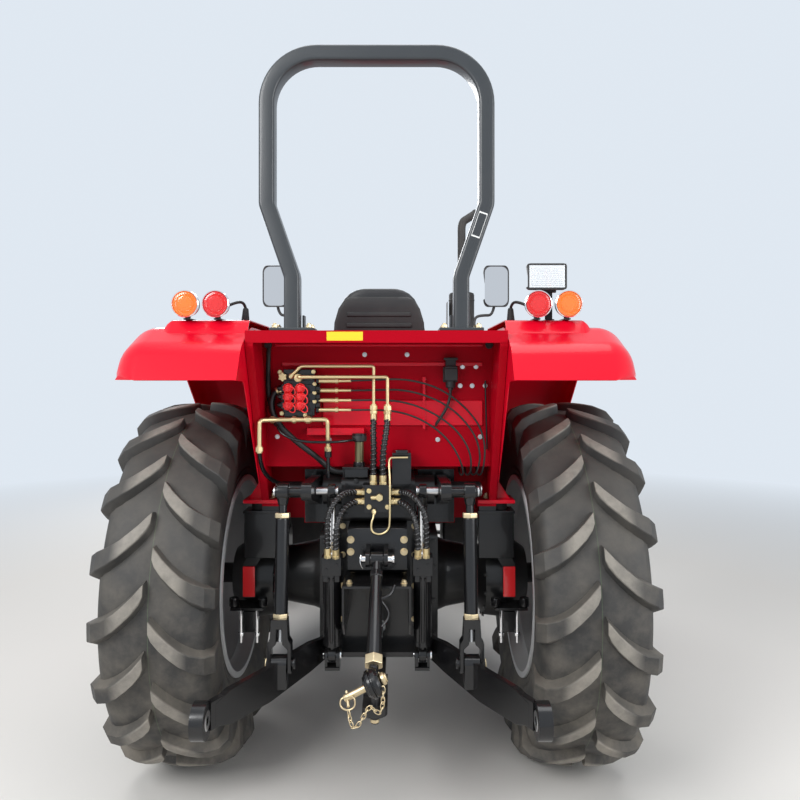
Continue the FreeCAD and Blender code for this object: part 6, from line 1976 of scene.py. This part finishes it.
@dataclass
class Controls(Assembly):
    """Steering wheel, levers, pedals, the cowl with its dash, and the mat."""

    wheel_centre: Point = (0, 640, 1760)
    wheel_axis: Point = (0, -265, 200)
    wheel_radius: float = 200.0
    floor: float = 1069.0
    # Place, height of the knob and lean of each lever.
    levers: tuple[tuple[float, float, float, float], ...] = (
        (-120, 520, 1500, -60), (120, 520, 1500, -60), (360, 150, 1720, -40), (412, 150, 1720, -40),
        (-400, 180, 1690, -30))
    pedals: tuple[float, ...] = (-200, 165, 245)

    def steering_wheel(self) -> None:
        """Build the steering wheel."""
        centre = Vector(self.wheel_centre)
        axis = Vector(self.wheel_axis).normalized()
        bpy.ops.object.select_all(action="DESELECT")
        bpy.ops.mesh.primitive_torus_add(
            major_segments=72, minor_segments=16, major_radius=self.wheel_radius * MILLIMETRE,
            minor_radius=0.013, location=place(*centre), rotation=axis.to_track_quat("Z", "Y").to_euler())
        parts = [smooth(settle(bpy.context.object), math.radians(60))]
        across = Vector((1, 0, 0))
        for angle in (90, 210, 330):
            turn = math.radians(angle)
            way = across * math.cos(turn) + axis.cross(across) * math.sin(turn)
            parts.append(rod("spoke", centre + way * 20, centre + way * 194, 13, 1, 24, 9))
        hub = [(-20, 34), (-18, 38), (6, 38), (12, 34), (15, 26), (16, 8)]
        parts.append(turned("hub", centre, axis, hub, 40, edge=1))
        body = self.add("steering_wheel_body", parts, "lever_black", "plastic_black", "steering_wheel")
        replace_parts(body, "steering_wheel")

    def handles(self) -> None:
        """Build the levers with their boots and knobs, and the pedals."""
        knob = [(-6, 9), (4, 13), (18, 17.5), (32, 17), (42, 11), (45, 4)]
        boot = [(0, 30), (5, 30), (7, 23), (11, 26), (13, 19), (17, 22), (19, 15), (24, 18), (32, 9)]
        dark, bright = [], []
        for x, y, z, lean in self.levers:
            low, top = Vector((x, y, self.floor + 4)), Vector((x, y + lean, z))
            way = (top - low).normalized()
            bright.append(rod("lever", low, top + way * 10, 7, 1))
            dark += [turned("knob", top, way, knob, 28),
                     turned("boot", (x, y, self.floor + 0.5), UP, boot, 28)]
        for x in self.pedals:
            arm = rounded([(880, 1110, 0), (904, 1110, 0), (904, 1178, 0), (740, 1235, 0), (735, 1220, 0),
                           (880, 1160, 40)])
            bright.append(plate("arm", arm, "x", x - 8, x + 8, 2))
            dark.append(block("pad", (x - 35, 722, self.floor + 116), (x + 35, 745, self.floor + 186), 5, 3))
            dark += [block("rib", (x - 30, 717, self.floor + 124 + 14 * i),
                           (x + 30, 724, self.floor + 131 + 14 * i), 2) for i in range(4)]
        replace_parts(self.add("lever_grips", dark, "lever_black", "plastic_black"), "levers_and_pedals")
        self.add("lever_rods", bright, "black_paint", "black_satin")

    def cowl(self) -> None:
        """Build the cowl, its dash with three dials, the steering column and the mat."""
        half, top = 300, 1700
        outline = rounded([(-half, self.floor + 0.5, 0), (-half, 1560, 70), (-235, top, 60), (235, top, 60),
                           (half, 1560, 70), (half, self.floor + 0.5, 0)])
        shell = [plate("shell", outline, "y", 905, 1097, 6, 3)]
        for x in (-100, 60):
            shell += [rod("knuckle", (x, 1101, 1712), (x + 40, 1101, 1712), 9, 1),
                      block("web", (x, 1083, 1690), (x + 40, 1100, 1706), 1)]
        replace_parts(self.add("cowl_body", shell, "red_paint", "red_gloss"), "cowl")
        column_top = Vector(self.wheel_centre) - Vector(self.wheel_axis).normalized() * 20
        case = rounded([(905, 1690, 0), (860, 1800, 40), (985, 1850, 40), (1090, 1690, 0)])
        front = rounded([(906, 1640, 0), (870, 1690, 20), (906, 1760, 0)])
        self.add("dash", [
            plate("dash", case, "x", -190, 190, 8, 3), plate("dash_front", front, "x", -190, 190, 4),
            rod("column", (0, 925, 1545), column_top, 28, 2),
            rod("column_boot", (0, 930, 1541), (0, 880, 1579), 52, 6, 36, 36),
            rod("horn", (-60, 872, 1740), (-60, 860, 1745), 12, 2),
            rod("switch", (60, 872, 1740), (60, 850, 1748), 9, 2)], "lever_black", "plastic_black")
        normal = Vector((0, -0.371, 0.928))
        across, up = Vector((1, 0, 0)), Vector((0, 0.928, 0.371))
        faces, marks = [], []
        for x in (-105, 0, 105):
            centre = Vector((x, 922, 1826))
            faces.append(rod("dial", centre, centre + normal * 3.2, 31, 0.5))
            face = centre + normal * 3.4
            for i in range(9):
                turn = math.radians(-120 + 30 * i)
                way = up * math.cos(turn) + across * math.sin(turn)
                marks.append(rod("mark", face + way * 20, face + way * 27, 1.0, 0, 6))
            marks.append(rod("needle", face - up * 4, face + (up - across) * 12, 1.3, 0, 6))
            bezel = turned("bezel", centre, normal, [(0, 31), (6, 33), (6, 37), (0, 40)], 40, ring=True)
            self.add(f"dial_ring_{x + 105}", [bezel], "chrome_rod", "chrome")
        self.add("dials", faces, "lever_black", "plastic_black")
        self.add("dial_marks", marks, "lamp_glass", "plate_white")
        mat = [block("mat", (-498, 432, self.floor), (498, 895, self.floor + 5), 2)]
        rib = block("mat_rib", (-485, 445, self.floor + 4), (485, 453, self.floor + 8), 1.5, 1)
        mat += [rib] + [copy_of(rib, "mat_rib", (0, 27 * (i + 1), 0)) for i in range(15)]
        self.add("mat", mat, "lever_black", "rubber_black")

    def build(self) -> None:
        """Build everything that the driver touches."""
        self.steering_wheel()
        self.handles()
        self.cowl()


# Front: hood, grille, headlamps, engine, exhaust, axle


@dataclass
class Front(Assembly):
    """What lies in front of the driver, and what hangs beside the engine."""

    frame: Frame
    # Hood's outline: y, half width, top.
    hood: tuple[tuple[float, float, float], ...] = (
        (1105, 300, 1700), (2200, 300, 1660), (2760, 296, 1590), (2930, 285, 1520))
    face: float = 2930.0
    exhaust_place: tuple[float, float] = (490, 1300)

    def hood_at(self, y: float) -> tuple[float, float]:
        """Find the hood's half width and top at a place along it."""
        for (y0, half0, top0), (y1, half1, top1) in zip(self.hood, self.hood[1:]):
            if y <= y1:
                share = (y - y0) / (y1 - y0)
                return half0 + (half1 - half0) * share, top0 + (top1 - top0) * share
        return self.hood[-1][1:]

    def hood_trim(self) -> None:
        """Add the raised middle of the hood, its stripes, louvre backs and latches."""
        rows = []
        for y in (1140, 1500, 1900, 2200, 2500, 2760, 2925):
            _, top = self.hood_at(y)
            rows.append([(-96, y, top - 1), (-88, y, top + 5), (0, y, top + 6), (88, y, top + 5),
                         (96, y, top - 1), (88, y, top - 8), (-88, y, top - 8), (-96, y, top - 1)])
        spine = soften(skin("spine", rows, closed=True, filled=True), 3, 3)
        self.add("hood_spine", [spine], "red_paint", "red_gloss", "hood")
        rows = []
        for y in (2858, 2895, 2929.5):
            half, top = self.hood_at(y)
            shoulder = 200 + 25 * (self.face - y) / 170
            fall = Vector((half - shoulder, -150)).normalized() * 70
            line = rounded([(shoulder + fall.x, top + fall.y, 0), (shoulder, top, 60), (-shoulder, top, 60),
                            (-shoulder - fall.x, top + fall.y, 0)], False, 8)
            rows.append([(x * grow, y, 1300 + (z - 1300) * grow)
                         for grow, points in ((1.004, line), (0.984, line[::-1])) for x, z in points])
        edge = smooth(skin("hood_front_edge", rows, closed=True, filled=True), math.radians(40))
        self.dress(edge, "red_paint", "red_gloss", "hood")
        for side in Side:
            sign = side.value
            lines = []
            for y in (1112, 1600, 2200, 2500, 2760, 2922):
                half, _ = self.hood_at(y)
                inside, outside = (half - 3) * sign, (half + 1.6) * sign
                lines.append([(inside, y, 1152), (outside, y, 1152), (outside, y, 1192), (inside, y, 1192),
                              (inside, y, 1152)])
            strip = smooth(skin("strip", lines, closed=True, filled=True), math.radians(30))
            self.add(f"hood_stripe_{side.word}", [strip], "bar_grey", "plastic_black", "hood")
            louvres = [block("back", (284 * sign, 1290, 1222), (292 * sign, 1690, 1428), 1)]
            louvres += [block("fin", (290 * sign, y - 1, z), (299 * sign, y + 31, z + 8), 1.5, 1)
                        for y in range(1300, 1651, 70) for z in range(1238, 1391, 38)]
            self.add(f"hood_louvres_{side.word}", louvres, "grille_black", "plastic_black", "hood")
            self.add(f"hood_latch_{side.word}", [
                block("latch", (299 * sign, 2560, 1200), (308 * sign, 2640, 1222), 3),
                rod("pivot", (297 * sign, 2575, 1211), (311 * sign, 2575, 1211), 8, 1.5)],
                "steel_shaft", "bright_steel", "hood")

    def face_trim(self) -> None:
        """Build the grille's edges, mesh and bright frame, and the headlamps."""
        self.frame.refine("grille", "hood", "grille_black", "plastic_black", 3.0)
        y = self.face
        mesh = [block("bar", (-222 + 22.2 * i, y + 16, 1040), (-219.5 + 22.2 * i, y + 20, 1244), 0.6, 1)
                for i in range(1, 20)]
        mesh.append(block("screen", (-228, y + 4, 1026), (228, y + 8, 1254), 0.5, 1))
        self.add("grille_mesh", mesh, "grille_black", "black_satin", "hood")
        ring = rounded([(-228, 1027, 22), (-228, 1253, 22), (228, 1253, 22), (228, 1027, 22)])
        band = wire("grille_frame", [(a, y + 45, b) for a, b in ring + ring[:1]], 4.5, False)
        self.dress(band, "chrome_rod", "chrome", "hood")
        cup = [(0, 9), (1, 20), (8, 31), (22, 37), (22, 39.5), (6, 34), (0, 24)]
        cups, glass = [], []
        for x in SIGNS:
            lamp = rounded([(a * x, b, 15) for a, b in ((70.5, 1290.5), (70.5, 1384.5), (214.5, 1384.5),
                                                       (234, 1290.5))])
            cups.append(plate("housing", lamp, "y", y + 5, y + 12, 1))
            for centre in (112 * x, 180 * x):
                cups += [turned("cup", (centre, y + 12, 1337), (0, 1, 0), cup, 36, ring=True),
                         rod("bulb", (centre, y + 12, 1337), (centre, y + 26, 1337), 8, 4)]
            glass.append(plate("glass", lamp, "y", y + 43, y + 48, 1.5))
        self.add("headlamp_cups", cups, "lamp_glass", "chrome", "hood")
        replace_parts(self.add("headlamp_glass", glass, "lamp_glass", "clear_glass", "hood"), "headlamps")

    def running_gear(self) -> None:
        """Refine the castings in front, and add the engine's fittings."""
        for node, body, slot, finish, edge in (
                ("front_axle_beam", "axle_beam", "black_paint", "black_casting", 5),
                ("knuckle_left", "knuckle_left", "black_paint", "black_casting", 4),
                ("knuckle_right", "knuckle_right", "black_paint", "black_casting", 4),
                ("tie_rod", "tie_rod", "black_paint", "black_satin", 2),
                ("front_bracket", "chassis", "black_paint", "black_casting", 4),
                ("front_weights", "chassis", "weight_grey", "weight_grey", 6),
                ("engine_block", "chassis", "black_paint", "black_casting", 5),
                ("radiator", "chassis", "radiator_black", "plastic_black", 2)):
            self.frame.refine(node, body, slot, finish, edge)
        heads = []
        for x in SIGNS:
            for y in range(1180, 1981, 100):
                if not (x > 0 and 1200 < y < 1920):
                    heads.append(((200 * x, y, 1215), (x, 0, 0), 9))
                heads.append(((200 * x, y, 785), (x, 0, 0), 8))
            for i in range(3):
                turn = 2 * math.pi * i / 3
                heads.append(((701 * x, 2310 + 78 * math.cos(turn), 580 + 78 * math.sin(turn)), (x, 0, 0), 8))
        self.dress(bolts("engine_bolts", heads), "black_paint", "black_satin")
        pipes = []
        for i in range(4):
            y = 1390 + 66 * i
            run = [(-235, y, 1056), (-235, y, 1120), (-212, y + 30, 1200), (-198, y + 30, 1236)]
            pipes += [wire("injector_pipe", Plumbing.bent(run, 18), 3.4),
                      rod("nut", (-235, y, 1058), (-235, y, 1078), 9, 1, 6)]
        run = [(-205, 1900, 900), (-240, 1900, 900), (-240, 1960, 1010), (-150, 1960, 1050)]
        pipes.append(wire("oil_pipe", Plumbing.bent(run, 20), 6))
        self.add("engine_pipes", pipes, "steel_shaft", "bright_steel")
        self.add("engine_units", [
            rod("filter", (-205, 1800, 880), (-292, 1800, 880), 46, 6, 40),
            rod("base", (-199, 1800, 880), (-215, 1800, 880), 54, 3),
            rod("starter", (250, 1150, 710), (250, 1420, 710), 52, 5, 40),
            rod("solenoid", (250, 1190, 786), (250, 1350, 786), 28, 4),
            block("mount", (199, 1150, 690), (260, 1180, 800), 4),
            rod("generator", (-190, 1960, 1130), (-190, 2090, 1130), 62, 6, 40),
            rod("generator_pulley", (-190, 2088, 1130), (-190, 2118, 1130), 34, 2),
            block("arm", (-196, 1990, 1040), (-150, 2060, 1090), 4)], "black_paint", "black_satin")

    def exhaust(self) -> None:
        """Build the muffler, its clamps and pipes."""
        x, y = self.exhaust_place
        can = turned("muffler", (x, y, 0), UP,
                     [(1500, 35), (1540, 36), (1560, 60), (1572, 80), (1580, 82), (2226, 82), (2238, 78),
                      (2252, 40), (2262, 27.5), (2290, 27.5)], 56)
        seam = turned("seam", (x, y, 0), UP, [(1596, 82), (1600, 84), (1606, 84), (1610, 82)], 56)
        tail = Plumbing.bent([(x, y, 2250), (x, y, 2700), (x + 95, y, 2760)], 100)
        feed = Plumbing.bent([(x, y, 1520), (x, y, 1090), (256, y, 1090)], 86)
        lip_way = Vector((95, 0, 60)).normalized()
        tip = Vector((x + 92, y, 2758))
        parts = [can, seam, copy_of(seam, "seam", (0, 0, 590)), wire("tail", tail, 26, resolution=14),
                 wire("feed", feed, 33, resolution=14),
                 turned("lip", tip, lip_way, [(-8, 22), (6, 23), (7, 28), (-8, 28)], 32, ring=True),
                 rod("clamp", (x, y, 2268), (x, y, 2292), 31, 2, 36),
                 rod("clamp", (x, y, 1504), (x, y, 1528), 40, 2, 36),
                 block("ear", (x - 46, y - 6, 2270), (x - 28, y + 6, 2290), 2),
                 block("flange", (256, y - 48, 1056), (268, y + 48, 1124), 5, 3),
                 block("stay", (300, y - 20, 1585), (x - 70, y + 20, 1591), 1.5)]
        shield = [(x - 96, y - 50), (x - 96, y + 50), (x - 94, y + 50), (x - 94, y - 50)]
        parts.append(plate("shield", shield, "z", 1640, 2180, 0.6, 1))
        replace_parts(self.add("exhaust_body", parts, "exhaust_black", "exhaust_black"), "exhaust")
        # a dark disc fills the mouth of the solid pipe: its soot, and painted shade down the hollow pipe
        dark = rod("exhaust_mouth", tip - lip_way * 6, tip + lip_way * 3, 22.5, 0.4)
        self.dress(dark, "exhaust_black", "rubber_black")

    def side_boxes(self) -> None:
        """Build the fuel tank, the battery box and the steps."""
        outline = rounded([(870, 640, 60), (870, 1010, 50), (1540, 1010, 50), (1540, 640, 80)])
        neck = [(0, 40), (16, 40), (18, 45), (38, 45), (43, 38), (44, 8)]
        tank = [plate("tank", outline, "x", -590, -330, 24, 5),
                block("arm", (-331, 950, 900), (-190.5, 1010, 960), 3),
                turned("neck", (-460, 1380, 1005), UP, neck, 40),
                block("grip", (-503, 1374, 1044), (-417, 1386, 1056), 3)]
        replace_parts(self.add("fuel_tank_body", tank, "tank_black", "tank_black"), "fuel_tank")
        straps = [block("strap", (-592.5, y, 638), (-327.5, y + 34, 1012.5), 8, 3) for y in (960, 1240)]
        self.add("tank_straps", straps, "steel_shaft", "black_satin")
        box = [block("case", (342, 872, 662), (598, 1178, 950), 16, 4),
               block("lid", (338, 868, 925), (602, 1182, 1001), 10, 3),
               block("arm", (190.5, 950, 900), (341, 1010, 960), 3)]
        box += [block("rib", (597, y, 690), (601, y + 20, 900), 1.5) for y in range(900, 1141, 48)]
        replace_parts(self.add("battery_box_body", box, "tank_black", "tank_black"), "battery_box")
        clips = [block("clip", (600, y, 905), (607, y + 24, 955), 2) for y in (930, 1100)]
        self.add("battery_clips", clips, "steel_shaft", "bright_steel")
        self.frame.refine("steps", "chassis", "black_paint", "black_satin", 2.0)
        stud = rod("stud", (640, 890, 491), (640, 890, 495.5), 7, 1, 16)
        row = [stud] + [copy_of(stud, "stud", (36 * i, 0, 0)) for i in range(1, 4)]
        row = joined("row", row)
        tread = joined("tread", [row] + [copy_of(row, "row", (0, 46 * i, 0)) for i in range(1, 6)])
        both = joined("step_studs", [tread, copy_of(tread, "tread", (0, 0, 280))])
        other = mirrored(both, "step_studs_left")
        for piece in (both, other):
            self.dress(piece, "steel_shaft", "black_satin")

    def build(self) -> None:
        """Build the front."""
        self.hood_trim()
        self.face_trim()
        self.running_gear()
        self.exhaust()
        self.side_boxes()


# Light, floor and camera


@dataclass
class Studio:
    """A pale floor, soft lamps and the camera behind the tractor."""

    camera_place: Point = (90.0, -3307.0, 1723.0)
    lens: float = 31.9
    shift: float = -0.034
    sky_colour: tuple[float, float, float] = (0.80, 0.87, 0.95)
    sky_seen: float = 0.93
    sky_light: float = 0.30
    fade: tuple[float, float] = (3.4, 9.0)    # where the floor starts to melt into the sky, and where it has
    # Name, place and aim in metres, width and power in watts of each soft lamp.
    lamps: tuple[tuple[str, Point, Point, float, float], ...] = (
        ("key_lamp", (-3.6, -5.6, 4.6), (0, 0, 1.0), 3.4, 330),
        ("fill_lamp", (4.6, -4.6, 3.0), (0, -0.6, 1.0), 4.0, 190),
        ("top_lamp", (0.4, -0.8, 7.0), (0, -0.4, 0.0), 5.0, 175),
        ("front_lamp", (-2.5, 6.5, 4.8), (0, 1.2, 0.9), 3.0, 240))

    def floor_finish(self) -> bpy.types.Material:
        """Make the floor's pale material, which melts into the sky's colour far from the tractor."""
        material, wiring, shader = Finish("floor", (0.72, 0.70, 0.67), 0.9, dust=0.0).start()
        spot = wiring.node("SeparateXYZ", Vector=wiring.node("TexCoord").outputs["Object"])
        away = wiring.math("SQRT", wiring.math("ADD", wiring.math("POWER", spot.outputs["X"], 2.0),
                                               wiring.math("POWER", spot.outputs["Y"], 2.0)))
        glow = wiring.node("Emission", Color=(*self.sky_colour, 1), Strength=self.sky_seen)
        mix = wiring.node("MixShader", Fac=wiring.between(away, *self.fade))
        wiring.link(shader.outputs[0], mix.inputs[1])
        wiring.link(glow.outputs[0], mix.inputs[2])
        wiring.link(mix.outputs[0], material.node_tree.nodes["Material Output"].inputs["Surface"])
        return material

    def build(self) -> None:
        """Set up the whole studio."""
        scene = bpy.context.scene
        scene.view_settings.view_transform = "Standard"
        bpy.ops.object.select_all(action="DESELECT")
        bpy.ops.mesh.primitive_plane_add(size=160, location=(0, 0, 0))
        floor = bpy.context.object
        floor.name = "floor"
        floor.data.materials.append(self.floor_finish())
        for name, spot, aim, size, power in self.lamps:
            lamp = bpy.data.lights.new(name, "AREA")
            lamp.shape = "DISK"
            lamp.size = size
            lamp.energy = power
            holder = bpy.data.objects.new(name, lamp)
            scene.collection.objects.link(holder)
            holder.location = spot
            holder.rotation_euler = (Vector(aim) - Vector(spot)).to_track_quat("-Z", "Y").to_euler()
        self.sky()
        camera = bpy.data.cameras.new("camera")
        camera.lens = self.lens
        camera.shift_y = self.shift
        holder = bpy.data.objects.new("camera", camera)
        scene.collection.objects.link(holder)
        holder.location = place(*self.camera_place)
        holder.rotation_euler = (math.pi / 2, 0, 0)
        scene.camera = holder

    def sky(self) -> None:
        """Give the world a soft light, and a pale look to the camera and to metal and glass."""
        world = bpy.data.worlds.new("sky")
        bpy.context.scene.world = world
        world.use_nodes = True
        wiring = Wiring(world.node_tree)
        background = world.node_tree.nodes["Background"]
        rays = wiring.node("LightPath")
        seen = wiring.math("MAXIMUM", rays.outputs["Is Camera Ray"],
                           wiring.math("MAXIMUM", rays.outputs["Is Glossy Ray"],
                                       rays.outputs["Is Transmission Ray"]))
        background.inputs["Color"].default_value = (*self.sky_colour, 1)
        strength = wiring.between(seen, 0.0, 1.0, self.sky_light, self.sky_seen)
        wiring.link(strength, background.inputs["Strength"])


# Slot and finish of the frame's own nodes, as they are before finer pieces take their place


PAINTS: dict[tuple[str, str], str] = {
    ("black_paint", "black_casting"):
        "axle_mounts drawbar engine_block front_axle_beam front_bracket knuckle_left knuckle_right "
        "lift_housing transmission",
    ("tank_black", "tank_black"): "battery_box fuel_tank",
    ("cable_black", "hose_black"): "control_cables",
    ("red_paint", "red_gloss"): "cowl fender_left fender_right hood",
    ("exhaust_black", "exhaust_black"): "exhaust",
    ("hose_rubber", "hose_black"): "feed_hoses lift_hoses_left lift_hoses_right suction_hose",
    ("weight_grey", "weight_grey"): "front_weights",
    ("grille_black", "plastic_black"): "grille",
    ("lamp_glass", "lens_clear"): "headlamps",
    ("black_paint", "black_satin"):
        "hitch_frame lift_arms lift_cylinder_left lift_cylinder_right lift_rod_left lift_rod_right "
        "lower_link_left lower_link_right steps tie_rod top_link",
    ("zinc_yellow", "yellow_zinc"): "hydraulic_pipes",
    ("lever_black", "plastic_black"): "levers_and_pedals steering_wheel",
    ("chrome_rod", "chrome"): "lift_ram_left lift_ram_right",
    ("mirror_black", "plastic_black"): "mirrors",
    # the platform gets the red with painted shade in it
    ("red_paint", "red_panel"): "platform",
    ("steel_shaft", "bright_steel"): "pto_shaft",
    ("radiator_black", "plastic_black"): "radiator",
    ("valve_metal", "yellow_zinc"): "remote_valve",
    ("bar_grey", "bar_charcoal"): "roll_bar",
    ("seat_metal", "plastic_black"): "seat_frame",
    ("seat_vinyl", "vinyl_black"): "seat_pads",
    ("lamp_lens", "lens_red"): "tail_lamps",
    ("lamp_black", "plastic_black"): "work_lamp",
}


def main() -> None:
    """Build the tractor's looks sub-assembly by sub-assembly."""
    logging.basicConfig(level=logging.INFO, format="%(name)s: %(message)s")
    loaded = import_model()
    finishes = Finishes()
    frame = Frame(finishes, loaded["nodes"])
    for (slot, finish), nodes in PAINTS.items():
        for node in nodes.split():
            frame.paint(node, slot, finish)
    LOG.info("the frame's own pieces are painted")
    Studio().build()
    rear = dict(diameter=1585, width=430, rim_diameter=864, rim_width=381, lug_height=38, pairs=19, disc=40,
                hub_radius=95)
    front = dict(diameter=1160, width=315, rim_diameter=610, rim_width=279, lug_height=30, pairs=15, disc=45,
                 hub_radius=80, rubber="tyre_front")
    for side in Side:
        Wheel(finishes, "rear", (820 * side.value, 0, 792.5), **rear).build(side)
        Wheel(finishes, "front", (800 * side.value, 2310, 580), **front).build(side)
        LOG.info("wheels of the %s side are built", side.word)
    for side in Side:
        Fender(finishes).build(side)
    RollBar(finishes).build()
    RearPanel(finishes).build()
    LOG.info("panels and roll bar are built")
    Lamps(finishes).build()
    Mirrors(finishes).build()
    LOG.info("lamps and mirrors are built")
    Plumbing(finishes).build()
    RemoteValve(finishes).build()
    Linkage(finishes, frame).build()
    Casting(finishes, frame).build()
    LOG.info("the back is built")
    Seat(finishes).build()
    Controls(finishes).build()
    Front(finishes, frame).build()
    LOG.info("seat, controls and front are built")


if __name__ == "__main__":
    main()
